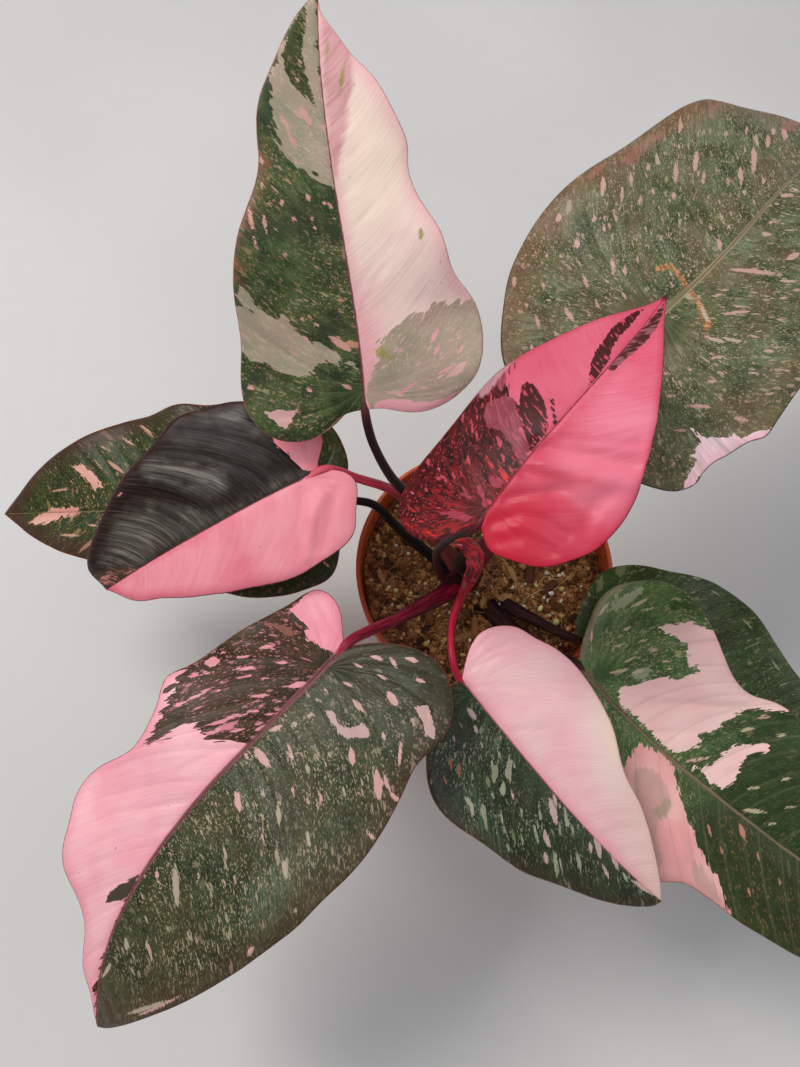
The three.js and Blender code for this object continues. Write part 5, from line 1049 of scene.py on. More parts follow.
def pink(g, base, light, deep, seed, lines=0.12, dots=True, edge=(6.0, 0.6), rib=(5.0, 0.5), mottled=0.16):
    dm, w, u = g.xyz("meas")
    n1 = blotch(g, 24.0, 2.0, seed)
    col = g.mix(g.smooth(n1, 0.36, 0.62), base, light)
    n2 = streaks(g, 0.5, 0.05, 2.0, 0.6, seed + 2)
    col = g.mix(g.mul(g.smooth(n2, 0.42, 0.66), mottled), col, deep)
    n3 = streaks(g, 2.4, 0.06, 2.0, 0.6, seed + 4)
    col = g.mix(g.mul(g.smooth(n3, 0.50, 0.70), lines), col, deep)
    n4 = blotch(g, 1.1, 1.0, seed + 8)
    col = g.mix(g.mul(g.smooth(n4, 0.45, 0.75), 0.10), col, light)
    col = g.mix(g.smooth(dm, edge[0], 0.0, 0.0, edge[1]), col, deep)
    col = g.mix(g.smooth(g.math("ABSOLUTE", w), rib[0], 0.0, 0.0, rib[1]), col, deep)
    if dots:
        d1, _ = dashes(g, 0.21, 0.17, 0.12, 0.075, seed + 31, 0.2, 0.03)
        col = g.mix(g.mul(d1, 0.75), col, c(120, 70, 60))
    return col


def leaf_finish(g, col, rib_col, edge_col, seed, rib_width=0.9, edge_width=0.45, under=None, under_mix=0.45, rough=0.40, gloss=0.5, rib_soft=0.5, vein_col=None, vein_amount=0.12, rough_mask=None, rough_to=0.3, halo=None, heel=0.0):
    dm, w, u = g.xyz("meas")
    fa, fb, side = g.xyz("flat")
    aw = g.math("ABSOLUTE", w)
    if vein_col is not None:
        vm = g.mul(g.smooth(g.attr("vl"), 0.9, 0.0), calm(g))
        col = g.mix(g.mul(vm, vein_amount), col, vein_col)
    if halo is not None:
        # the midrib's broad flank, with fine lines along it
        hw = g.smooth(u, 0.0, 0.9, halo[1], halo[1] * 0.25, "LINEAR")
        ln = g.noise(g.vec(g.mul(fa, 0.02), g.mul(w, 1.9), seed + 3), 1.0, 1.0, 0.6)
        hm = g.mul(g.smooth(aw, hw, g.mul(hw, 0.55)), g.smooth(u, heel - 0.03, heel + 0.02))
        col = g.mix(g.mul(hm, 0.75), col, g.mix(g.smooth(ln, 0.42, 0.60), halo[0], halo[2]))
    width = g.smooth(u, 0.0, 1.0, rib_width, rib_width * 0.35, "LINEAR")
    on = g.smooth(u, heel - 0.012, heel + 0.004)
    n = g.noise(g.vec(g.mul(fa, 0.35), g.mul(fb, 0.9), seed), 1.0, 1.0)
    rm = g.smooth(g.add(aw, g.mul(g.sub(n, 0.5), 0.5)), g.mul(width, 1.0 + rib_soft), g.mul(width, 0.55))
    col = g.mix(g.mul(g.mul(rm, on), 0.92), col, rib_col)
    em = g.smooth(g.add(dm, g.mul(g.sub(n, 0.5), 0.35)), edge_width * 1.5, edge_width * 0.4)
    col = g.mix(g.mul(em, 0.85), col, edge_col)
    # underside: duller and paler, the veins standing out
    is_under = g.smooth(side, 0.5, -0.5)
    uc = g.mix(under_mix, col, under or c(150, 118, 100))
    un = blotch(g, 2.2, 1.0, seed + 40)
    uc = g.mix(g.mul(g.smooth(un, 0.4, 0.7), 0.18), uc, c(196, 170, 150))
    uc = g.mix(g.mul(rm, 0.5), uc, rib_col)
    col = g.mix(is_under, col, uc)
    # surface: skin cells, veins and slight unevenness
    cells = g.noise(g.vec(g.mul(fa, 2.3), g.mul(fb, 2.3), seed), 1.0, 1.5, 0.6)
    ven = streaks(g, 1.1, 0.05, 1.0, 0.5, seed + 50)
    wave = blotch(g, 6.0, 0.5, seed + 51)
    h = g.add(g.mul(cells, 0.22), g.add(g.mul(g.mul(ven, calm(g)), 0.75), g.mul(wave, 0.6)))
    normal = g.bump(h, 0.00030, 0.55)
    r = g.mad(g.sub(blotch(g, 4.0, 1.0, seed + 60), 0.5), 0.16, rough)
    r = g.mad(g.sub(cells, 0.5), 0.12, r)
    if rough_mask is not None:
        r = g.math("MULTIPLY_ADD", rough_mask, rough_to - rough, r)
    r = g.mad(is_under, 0.16, r)
    return g.finish(col, r, normal, Specular_IOR_Level=gloss * 0.56)


def flecks(g, col, kind, color, soft=0.18, rag=1.0, amount=0.92, seed=0.0):
    x = g.attr("f_" + kind)
    n = streaks(g, 2.3, 0.30, 2.0, 0.6, seed + 70)
    n2 = streaks(g, 5.5, 1.2, 1.0, 0.6, seed + 73)
    x = g.mad(g.sub(n, 0.5), rag * 2, x)
    x = g.mad(g.sub(n2, 0.5), rag * 0.8, x)
    return g.mix(g.mul(g.smooth(x, -soft * 0.4, soft), amount), col, color)


def mat_top_left():                                     # A
    g = Graph("leaf top left")
    dm, w, u = g.xyz("meas")
    gr = green(g, c(42, 62, 29), c(80, 97, 54), c(96, 82, 54), c(136, 142, 104), 1.0, 0.30, micro=0.45, med=0.03, pale2=c(206, 146, 120), patchy=0.75)
    gr = g.mix(g.mul(g.smooth(blotch(g, 12.0, 3.0, 1.9), 0.50, 0.38), 0.5), gr, c(30, 44, 32))
    rim = g.mul(g.mul(g.smooth(u, 0.30, 0.38), g.smooth(u, 0.72, 0.62)), g.mul(g.smooth(g.mad(g.sub(blotch(g, 7.0, 3.0, 1.4), 0.5), 12.0, dm), 8.0, 0.0), g.smooth(streaks(g, 0.9, 0.2, 2.0, 0.6, 1.7), 0.42, 0.60)))
    gr = g.mix(g.mul(rim, 0.55), gr, c(150, 84, 66))
    sage = green(g, c(152, 148, 122), c(178, 160, 138), c(188, 158, 140), c(196, 180, 160), 1.0, 0.6, micro=0.22, med=0.0, pale2=c(214, 172, 160))
    sage = g.mix(g.mul(dashes(g, 0.45, 0.13, 0.10, 0.5, 3.3, 0.5)[0], 0.8), sage, c(210, 160, 152))
    col = g.mix(ragged(g, "m_sage", ((3.5, 0.32, 0.10), (1.8, 1.2, 0.3)), 0.25, 2.0), gr, sage)
    dk = green(g, c(40, 54, 22), c(70, 82, 40), c(74, 72, 42), c(140, 126, 84), 1.0, 0.35, micro=0.42, med=0.0)
    col = g.mix(ragged(g, "m_dark", ((1.0, 0.6, 0.2), (1.2, 1.7, 0.5)), 0.15, 4.0), col, dk)
    col = g.mix(ragged(g, "m_pinkL", ((1.6, 0.6, 0.2), (1.0, 1.7, 0.5)), 0.15, 5.0), col, c(222, 172, 168))
    pk = pink(g, c(238, 208, 198), c(240, 215, 203), c(228, 162, 170), 4.0, 0.10, True, (7.0, 0.6), (5.0, 0.6), 0.04)
    pk = g.mix(g.mul(ragged(g, "m_cream", ((2.0, 0.08, 0.04), (0.5, 0.6, 0.1)), 7.0, 6.6), 0.7), pk, c(240, 220, 196))
    pk = g.mix(g.mul(g.smooth(u, 0.42, 0.16), g.smooth(w, 16.0, 2.0)), pk, c(230, 168, 172))
    pk = g.mix(g.mul(g.smooth(u, 0.80, 0.98), 0.7), pk, c(226, 166, 168))
    mv = g.mix(0.94, pk, g.mix(g.smooth(streaks(g, 0.7, 0.05, 2.0, 0.6, 6.2), 0.4, 0.62), c(212, 156, 158), c(198, 140, 142)))
    pk = g.mix(ragged(g, "m_mauve", ((2.4, 0.2, 0.05), (1.0, 1.0, 0.2)), 1.4, 6.0), pk, mv)
    gy = green(g, c(158, 146, 124), c(178, 158, 140), c(184, 152, 138), c(200, 172, 158), 1.0, 0.5, micro=0.30, med=0.05, pale2=c(224, 170, 168))
    pk = g.mix(ragged(g, "m_grey", ((3.5, 0.4, 0.08), (3.2, 1.4, 0.3)), 0.35, 7.0), pk, gy)
    pk = g.mix(ragged(g, "m_pinkB", ((1.0, 0.6, 0.1), (1.2, 1.6, 0.3)), 0.3, 8.0), pk, c(230, 164, 170))
    pk = g.mix(ragged(g, "m_darkR", ((0.6, 0.6, 0.1), (0.8, 1.6, 0.3)), 0.15, 8.4), pk, c(62, 74, 38))
    pk = flecks(g, pk, "p", c(228, 158, 166), seed=1.6)
    pk = flecks(g, pk, "g", c(146, 142, 66), soft=0.6, seed=1.0, amount=0.8, rag=1.7)
    col = flecks(g, col, "p", c(216, 158, 146), seed=1.2)
    col = g.mix(half_mask(g, 0.3), col, pk)
    return leaf_finish(g, col, c(120, 60, 66), c(176, 96, 100), 1.0, 0.42, 0.22, c(186, 160, 142), 0.4, 0.42, 0.42)


def mat_back_right():                                   # B
    g = Graph("leaf back right")
    dm, w, u = g.xyz("meas")
    col = green(g, c(50, 62, 32), c(92, 100, 64), c(116, 88, 66), c(168, 154, 130), 11.0, 0.5, micro=0.5, med=0.04, pale2=c(200, 166, 146), patchy=0.55)
    edge_tint = g.smooth(dm, 18.0, 0.0, 0.0, 0.5)
    left = g.smooth(w, 0.0, -20.0)
    col = g.mix(g.mul(edge_tint, g.mad(left, 0.7, 0.3)), col, c(134, 90, 66))
    col = g.mix(ragged(g, "m_pink", ((2.6, 0.45, 0.12), (1.8, 1.5, 0.35)), 0.15, 3.0), col, pink(g, c(255, 205, 213), c(255, 216, 220), c(240, 176, 188), 12.0, 0.1, False))
    col = g.mix(g.mul(ragged(g, "m_edge", ((4.0, 0.6, 0.06), (3.0, 1.8, 0.25)), 0.5, 13.3), 0.48), col, c(164, 104, 92))
    col = flecks(g, col, "p", c(196, 154, 143), seed=2.0, rag=1.25)
    col = g.mix(g.mul(g.smooth(u, 0.10, -0.1), g.smooth(g.math("ABSOLUTE", w), 2.0, 0.5)), col, c(128, 132, 90))
    x = g.mad(g.sub(streaks(g, 2.5, 0.6, 2.0, 0.6, 9.0), 0.5), 1.2, g.attr("m_scar"))
    col = g.mix(g.mul(g.smooth(x, -0.2, 0.3), 0.9), col, g.mix(g.smooth(streaks(g, 1.6, 0.5, 2.0, 0.6, 9.5), 0.4, 0.6), c(126, 84, 50), c(196, 142, 92)))
    col = g.mix(g.mul(g.smooth(g.attr("m_scarb"), -0.4, 0.3), 0.85), col, c(184, 176, 160))
    # painted sheen: pale grey-green streaks in soft patches across the leaf
    sh = g.smooth(blotch(g, 17.0, 2.0, 12.5), 0.50, 0.68)
    col = g.mix(g.mul(g.mul(sh, g.smooth(streaks(g, 1.2, 0.06, 3.0, 0.6, 12.7), 0.40, 0.62)), 0.35), col, c(138, 150, 122))
    return leaf_finish(g, col, c(126, 92, 72), c(58, 38, 28), 2.0, 0.30, 0.34, c(150, 130, 104), 0.45, 0.44, 0.5, 0.8, c(120, 118, 88), 0.2, halo=(c(98, 104, 72), 1.5, c(160, 146, 116)), heel=-0.17)


def mat_centre():                                       # C
    g = Graph("leaf centre")
    dm, w, u = g.xyz("meas")
    hot = pink(g, c(219, 98, 121), c(226, 120, 141), c(198, 58, 84), 21.0, 0.30, True, (3.0, 0.6), (8.0, 0.45), 0.14)
    low = g.smooth(u, 0.55, -0.05, 0.0, 0.75)
    hotr = g.mix(low, hot, c(188, 14, 44))
    hotr = g.mix(g.smooth(g.mad(g.sub(blotch(g, 12.0, 2.0, 22.6), 0.5), 0.3, u), 0.34, 0.02, 0.0, 0.55), hotr, c(172, 12, 38))
    hotl = pink(g, c(205, 86, 109), c(210, 98, 120), c(184, 54, 77), 21.0, 0.2, False, (3.0, 0.5), (4.0, 0.3))
    n = streaks(g, 1.1, 0.16, 3.0, 0.65, 23.0)
    n2 = streaks(g, 0.45, 0.10, 2.0, 0.55, 24.0)
    mar = g.mix(g.smooth(n2, 0.40, 0.62), c(40, 6, 7), c(80, 13, 15))
    mar = g.mix(g.mul(g.smooth(n, 0.60, 0.68), 0.5), mar, c(136, 34, 44))
    d1, r1 = dashes(g, 2.1, 0.8, 0.5, 0.6, 25.0)
    mar = g.mix(g.mul(d1, 0.7), mar, c(170, 60, 70))
    d4, r4 = dashes(g, 0.75, 0.22, 0.16, 0.62, 25.9, 0.6, 0.07)
    mar = g.mix(g.mul(d4, 0.85), mar, c(190, 70, 84))
    mauve = g.mix(g.smooth(n, 0.45, 0.62), c(130, 56, 66), c(160, 76, 88))
    mar = g.mix(ragged(g, "m_mauve", ((2.0, 0.5, 0.12), (1.4, 1.6, 0.3)), 0.3, 26.0), mar, mauve)
    glow = g.mul(g.smooth(u, 0.22, 0.02), g.smooth(g.math("ABSOLUTE", w), 34.0, 10.0))
    mar = g.mix(g.mul(glow, g.smooth(streaks(g, 0.9, 0.3, 3.0, 0.65, 26.6), 0.46, 0.62)), mar, c(150, 26, 28))
    mar = g.mix(g.mul(ragged(g, "m_isle", ((1.4, 0.6, 0.15), (2.0, 1.6, 0.3)), 0.2, 26.3), 0.75), mar, c(166, 56, 78))
    mar = g.mix(g.mul(ragged(g, "m_glint", ((1.0, 0.6, 0.15), (1.0, 1.6, 0.3)), 0.8, 26.4), 0.55), mar, c(214, 160, 172))
    mar = flecks(g, mar, "p", c(206, 96, 116), seed=3.5)
    mar = flecks(g, mar, "o", c(216, 44, 40), seed=3.2, rag=0.8, amount=0.9)
    hot_low = g.smooth(u, 0.30, 0.0, 0.0, 0.5)
    left = g.mix(ragged(g, "m_maroon", ((3.0, 0.45, 0.10), (3.0, 1.3, 0.25)), 0.15, 27.0), hotl, mar)
    dkn = streaks(g, 0.9, 0.16, 2.0, 0.6, 28.0)
    dk = g.mix(g.smooth(dkn, 0.585, 0.61), c(66, 15, 16), c(190, 66, 86))
    matte = g.sub(1.0, half_mask(g, 0.3))
    left = g.mix(ragged(g, "m_dark", ((0.5, 0.6, 0.2), (0.8, 1.8, 0.3)), 0.12, 29.0), left, dk)
    # painted highlight along the folds of the right half
    hotr = g.mix(g.mul(ragged(g, "m_light", ((2.0, 0.1, 0.04), (0.8, 1.0, 0.1)), 6.0, 29.5), 0.35), hotr, c(238, 150, 168))
    # deeper red by the joint, with painted shade in its creases
    hotr = g.mix(g.mul(ragged(g, "m_deep", ((1.0, 0.3, 0.04), (0.8, 1.0, 0.1)), 4.0, 29.8), 0.55), hotr, c(200, 34, 58))
    col = g.mix(half_mask(g, 0.2), left, hotr)
    dk2 = g.mix(g.smooth(dkn, 0.46, 0.56), c(78, 30, 34), c(140, 84, 88))
    col = g.mix(ragged(g, "m_dark2", ((0.3, 0.6, 0.2), (0.6, 1.8, 0.3)), 0.15, 29.1), col, dk2)
    col = g.mix(g.smooth(u, 0.955, 0.985), col, c(96, 28, 36))
    col = flecks(g, col, "b", c(120, 50, 50), seed=3.0, rag=0.3)
    return leaf_finish(g, col, c(120, 30, 44), c(104, 24, 38), 3.0, 0.36, 0.24, c(206, 110, 120), 0.4, 0.36, 0.32, rough_mask=matte, rough_to=0.46)


def mat_left_upper():                                   # D
    g = Graph("leaf left upper")
    dm, w, u = g.xyz("meas")
    n = streaks(g, 0.8, 0.05, 3.0, 0.6, 31.0)
    dk = g.mix(g.smooth(n, 0.40, 0.68), c(20, 11, 7), c(42, 27, 20))
    d1, _ = dashes(g, 0.7, 0.10, 0.35, 0.34, 31.5, 0.4, 0.2)
    dk = g.mix(g.mul(d1, 0.22), dk, c(84, 70, 60))
    # painted sheen on the dark half: light streaks along the veins inside the sheen patches, and fine light streaks all
    # over it
    fs = g.smooth(streaks(g, 2.2, 0.045, 3.0, 0.7, 36.0), 0.40, 0.62)
    f2 = g.smooth(streaks(g, 0.5, 0.03, 2.0, 0.6, 36.2), 0.36, 0.62)
    fs = g.mul(fs, g.mad(f2, 0.75, 0.25))
    s1 = g.smooth(g.mad(g.sub(blotch(g, 9.0, 3.0, 36.5), 0.5), 14.0, g.attr("m_sheen")), -3.0, 7.0)
    s2 = g.smooth(g.mad(g.sub(blotch(g, 7.0, 3.0, 36.7), 0.5), 10.0, g.attr("m_sheenb")), -2.0, 4.0)
    dk = g.mix(g.mul(s1, g.mad(fs, 0.66, 0.10)), dk, c(134, 128, 116))
    dk = g.mix(g.mul(s2, g.mad(fs, 0.72, 0.12)), dk, c(138, 130, 122))
    dk = g.mix(g.mul(g.smooth(streaks(g, 3.4, 0.05, 2.0, 0.7, 37.4), 0.56, 0.74), 0.55), dk, c(96, 84, 76))
    dk = g.mix(g.mul(g.smooth(dm, 5.0, 0.0), 0.35), dk, c(74, 34, 34))
    td = g.mix(g.smooth(streaks(g, 0.9, 0.2, 2.0, 0.6, 36.9), 0.5, 0.6), c(70, 56, 36), c(168, 104, 96))
    dk = g.mix(g.mul(g.smooth(g.attr("m_tip"), -1.0, 1.5), 0.8), dk, td)
    dk = flecks(g, dk, "p", c(190, 116, 118), seed=4.1)
    dk = flecks(g, dk, "c", c(210, 196, 160), seed=4.2, rag=0.3)
    dk = flecks(g, dk, "o", c(140, 50, 40), seed=4.3, rag=0.3)
    lobe = pink(g, c(255, 142, 156), c(255, 156, 168), c(214, 100, 112), 34.0, 0.3, False)
    dk = g.mix(ragged(g, "m_pinklobe", ((2.0, 0.5, 0.12), (1.6, 1.5, 0.3)), 0.15, 33.0), dk, lobe)
    pk = pink(g, c(220, 116, 132), c(230, 146, 157), c(202, 84, 104), 34.0, 0.18, True, (6.0, 0.6), (3.0, 0.4))
    pk = g.mix(g.smooth(u, 0.45, 0.0, 0.0, 0.5), pk, c(234, 158, 166))
    mask = g.smooth(g.add(w, g.mul(g.sub(streaks(g, 1.2, 0.3, 2.0, 0.6, 35.0), 0.5), 1.2)), -0.2, 0.15)
    col = g.mix(mask, pk, dk)
    return leaf_finish(g, col, c(120, 50, 60), c(60, 30, 34), 4.0, 0.28, 0.26, c(160, 104, 104), 0.4, 0.38, 0.27, 0.5, None, 0.1, mask, 0.42)


def mat_left_lower():                                   # E
    g = Graph("leaf left lower")
    dm, w, u = g.xyz("meas")
    col = green(g, c(25, 38, 9), c(43, 60, 17), c(54, 42, 20), c(98, 102, 48), 41.0, 0.30, 0.46, 0.64, micro=0.40, med=0.05, pale2=c(190, 134, 112))
    rim = g.mul(g.smooth(g.mad(g.sub(blotch(g, 9.0, 2.0, 44.0), 0.5), 14.0, dm), 11.0, 1.0), g.smooth(u, 0.25, 0.60, 0.15, 0.75))
    col = g.mix(rim, col, c(66, 34, 28))
    col = g.mix(g.smooth(u, 0.30, 0.12, 0.0, 0.55), col, c(30, 42, 18))
    sal = pink(g, c(212, 150, 136), c(220, 168, 150), c(190, 118, 108), 42.0, 0.2, False)
    col = g.mix(ragged(g, "m_salmon", ((2.0, 0.45, 0.14), (1.6, 1.6, 0.4)), 0.15, 43.0), col, sal)
    col = flecks(g, col, "p", c(196, 146, 124), seed=4.0)
    return leaf_finish(g, col, c(112, 98, 62), c(150, 44, 44), 5.0, 0.4, 0.26, c(142, 118, 96), 0.45, 0.42, 0.40, 0.5, c(86, 92, 50), 0.12)


def mat_front_left():                                   # F
    g = Graph("leaf front left")
    dm, w, u = g.xyz("meas")
    # lower half: green with pale flecks
    lo = green(g, c(34, 42, 22), c(58, 66, 38), c(70, 60, 32), c(136, 134, 98), 51.0, 0.45, 0.46, 0.64, micro=0.55, med=0.03, pale2=c(190, 158, 142), patchy=0.6)
    lo = g.mix(g.smooth(u, 0.62, 0.95, 0.0, 0.45), lo, c(54, 46, 20))
    lo = g.mix(g.smooth(dm, 14.0, 0.0, 0.0, 0.4), lo, c(84, 58, 44))
    lo = g.mix(g.smooth(u, 0.22, -0.04, 0.0, 0.6), lo, c(34, 38, 22))
    lo = g.mix(ragged(g, "m_mauve", ((1.0, 0.6, 0.2), (1.2, 1.8, 0.5)), 0.12, 52.0), lo, c(182, 150, 144))
    sh = g.smooth(g.mad(g.sub(blotch(g, 9.0, 3.0, 52.5), 0.5), 12.0, g.attr("m_sheen")), -4.0, 5.0)
    lo = g.mix(g.mul(sh, g.smooth(streaks(g, 1.2, 0.08, 3.0, 0.6, 52.7), 0.36, 0.62, 0.06, 0.32)), lo, c(120, 134, 112))
    lo = flecks(g, lo, "p", c(204, 158, 152), seed=5.0)
    lo = flecks(g, lo, "c", c(168, 156, 134), seed=6.0)
    # upper half: brown-green with pink dashes, then the pink sector
    up = green(g, c(38, 29, 10), c(60, 46, 21), c(80, 43, 27), c(128, 78, 60), 51.0, 0.4, micro=0.42, med=0.08, pale2=c(216, 132, 146))
    dd, rr = dashes(g, 0.7, 0.1, 0.2, 0.72, 53.7, 0.6, 0.07)
    up = g.mix(g.mul(dd, 0.85), up, c(224, 142, 154))
    pk = pink(g, c(236, 164, 174), c(238, 182, 188), c(220, 130, 148), 54.0, 0.14, True, (5.0, 0.5), (4.0, 0.45))
    pk = flecks(g, pk, "b", c(136, 96, 60), seed=7.0, rag=0.5)
    isl = ((2.2, 0.45, 0.07), (3.4, 1.3, 0.16))
    up = g.mix(ragged(g, "m_pink", isl, 0.12, 55.0), up, pk)
    up = g.mix(ragged(g, "m_lobe", ((1.6, 0.5, 0.1), (1.6, 1.5, 0.3)), 0.12, 56.0), up, g.mix(0.55, pk, c(226, 124, 142)))
    up = g.mix(ragged(g, "m_streak", ((1.2, 0.6, 0.1), (1.6, 1.6, 0.2)), 0.12, 57.0), up, c(80, 62, 50))
    up = g.mix(ragged(g, "m_notch", ((0.8, 0.6, 0.1), (1.0, 1.6, 0.2)), 0.12, 58.0), up, c(70, 62, 50))
    up = flecks(g, up, "p", c(226, 150, 158), seed=8.0)
    up = flecks(g, up, "b", c(136, 96, 60), seed=7.0, rag=0.5)
    side_mask = g.smooth(g.add(w, g.mul(g.sub(streaks(g, 1.4, 0.4, 2.0, 0.6, 59.0), 0.5), 1.6)), -0.6, -0.2)
    col = g.mix(side_mask, lo, up)
    return leaf_finish(g, col, c(112, 54, 66), c(112, 46, 52), 6.0, 0.45, 0.28, c(166, 124, 116), 0.4, 0.42, 0.36, 0.9, c(110, 92, 76), 0.07, halo=(c(62, 50, 40), 1.9, c(150, 96, 100)))


def mat_front():                                        # G
    g = Graph("leaf front")
    dm, w, u = g.xyz("meas")
    pk = pink(g, c(230, 174, 180), c(228, 186, 186), c(222, 146, 158), 61.0, 0.14, False, (3.0, 0.3), (6.0, 0.6), 0.06)
    cream = g.mul(g.smooth(u, 0.15, 0.5), g.smooth(dm, 16.0, 2.0))
    pk = g.mix(g.mul(cream, 0.7), pk, c(222, 192, 178))
    pk = g.mix(g.mul(g.smooth(g.attr("m_cream"), -4.0, 3.0), 0.8), pk, c(226, 204, 150))
    pk = g.mix(g.mul(g.mul(g.smooth(u, 0.26, 0.42), g.smooth(u, 0.74, 0.5)), g.smooth(dm, 22.0, 7.0, 0.0, 0.45)), pk, c(228, 206, 200))
    pk = g.mix(g.mul(g.smooth(u, 0.10, -0.12), 0.6), pk, c(236, 150, 166))
    gr = green(g, c(16, 30, 12), c(36, 54, 24), c(52, 42, 25), c(96, 108, 70), 62.0, 0.35, 0.46, 0.62, micro=0.45, med=0.10, pale2=c(162, 152, 136), patchy=0.8)
    sh = g.smooth(g.mad(g.sub(blotch(g, 9.0, 3.0, 66.5), 0.5), 12.0, g.attr("m_sheen")), -4.0, 4.0)
    gr = g.mix(g.smooth(g.mad(g.sub(blotch(g, 6.0, 2.0, 66.2), 0.5), 6.0, dm), 7.0, 0.0, 0.0, 0.5), gr, c(66, 48, 38))
    gr = g.mix(g.mul(g.mul(sh, g.smooth(streaks(g, 1.1, 0.04, 3.0, 0.6, 66.0), 0.44, 0.66)), 0.55), gr, c(86, 108, 84))
    gr = flecks(g, gr, "p", c(184, 158, 150), seed=9.0)
    gr = flecks(g, gr, "c", c(146, 150, 124), seed=10.0)
    gr = flecks(g, gr, "o", c(160, 100, 78), seed=11.0)
    mask = g.smooth(g.add(w, g.mul(g.sub(streaks(g, 1.2, 0.3, 2.0, 0.6, 63.0), 0.5), 1.4)), -0.1, 0.3)
    col = g.mix(mask, pk, gr)
    return leaf_finish(g, col, c(196, 104, 112), c(150, 96, 92), 7.0, 0.35, 0.22, c(180, 140, 130), 0.4, 0.38, 0.55, 0.4, None, 0.1, mask, 0.28)


def mat_front_right():                                  # H
    g = Graph("leaf front right")
    dm, w, u = g.xyz("meas")
    gr = green(g, c(50, 80, 36), c(86, 116, 62), c(74, 88, 44), c(146, 152, 110), 71.0, 0.35, micro=0.48, med=0.03, pale2=c(190, 170, 130))
    gr = g.mix(g.smooth(u, 0.24, 0.46, 0.0, 0.78), gr, c(26, 42, 9))
    gr = g.mix(g.smooth(u, 0.08, -0.12, 0.0, 0.4), gr, c(124, 136, 104))
    em = g.smooth(g.mad(g.sub(blotch(g, 8.0, 3.0, 78.0), 0.5), 10.0, g.attr("m_ember")), -6.0, 8.0)
    gr = g.mix(g.mul(em, 0.45), gr, c(42, 40, 14))
    e1, r1 = dashes(g, 1.9, 0.75, 0.36, 0.6, 78.3)
    gr = g.mix(g.mul(g.mul(e1, em), 0.6), gr, g.mix(r1, c(122, 88, 50), c(158, 112, 82)))
    pk = pink(g, c(245, 195, 190), c(249, 205, 198), c(228, 162, 164), 72.0, 0.1, False, (4.0, 0.3), (4.0, 0.3))
    mv = pink(g, c(226, 158, 156), c(232, 178, 172), c(208, 130, 132), 72.0, 0.10, False)
    mv = g.mix(g.mul(ragged(g, "m_stain", ((1.6, 0.4, 0.06), (1.4, 1.4, 0.3)), 0.8, 74.0), 0.6), mv, c(176, 146, 134))
    mv = g.mix(g.mul(ragged(g, "m_smudge", ((2.0, 0.5, 0.06), (2.4, 1.5, 0.25)), 0.9, 74.4), 0.5), mv, c(128, 128, 98))
    col = g.mix(ragged(g, "m_mauve", ((2.5, 0.45, 0.09), (2.2, 1.4, 0.3)), 0.15, 75.0), gr, mv)
    col = g.mix(ragged(g, "m_pink", ((1.6, 0.5, 0.12), (1.8, 1.5, 0.35)), 0.12, 76.0), col, pk)
    col = g.mix(g.mul(ragged(g, "m_pale", ((1.4, 0.5, 0.12), (1.4, 1.6, 0.4)), 0.3, 77.0), 0.75), col, c(158, 162, 132))
    col = g.mix(g.mul(ragged(g, "m_edge", ((0.6, 0.5, 0.12), (0.8, 1.6, 0.4)), 0.5, 77.5), 0.5), col, c(168, 130, 116))
    col = flecks(g, col, "p", c(214, 170, 158), seed=12.0)
    col = flecks(g, col, "o", c(190, 128, 104), seed=13.0)
    col = flecks(g, col, "c", c(188, 172, 140), seed=14.0)
    return leaf_finish(g, col, c(120, 104, 80), c(110, 84, 62), 8.0, 0.38, 0.22, c(160, 140, 118), 0.42, 0.42, 0.48, 0.7, c(132, 130, 98), 0.2, halo=(c(74, 72, 48), 1.7, c(150, 116, 100)))


def mat_right_lower():                                  # I
    g = Graph("leaf right lower")
    col = green(g, c(34, 50, 18), c(56, 76, 34), c(58, 56, 28), c(92, 104, 64), 81.0, 0.25, micro=0.3, med=0.03, pale2=c(140, 136, 100))
    col = flecks(g, col, "c", c(150, 148, 112), seed=15.0)
    return leaf_finish(g, col, c(90, 100, 62), c(80, 60, 40), 9.0, 0.5, 0.22, c(128, 124, 96), 0.4, 0.36, 0.5, 0.6, c(92, 104, 64), 0.25)


MATS = {"top_left": mat_top_left, "back_right": mat_back_right, "centre": mat_centre, "left_upper": mat_left_upper,
        "left_lower": mat_left_lower, "front_left": mat_front_left, "front": mat_front, "front_right": mat_front_right,
        "right_lower": mat_right_lower}
for i, d in enumerate(LEAVES):
    build_leaf(d["name"], d, MATS[d["name"]](), 101 + i)


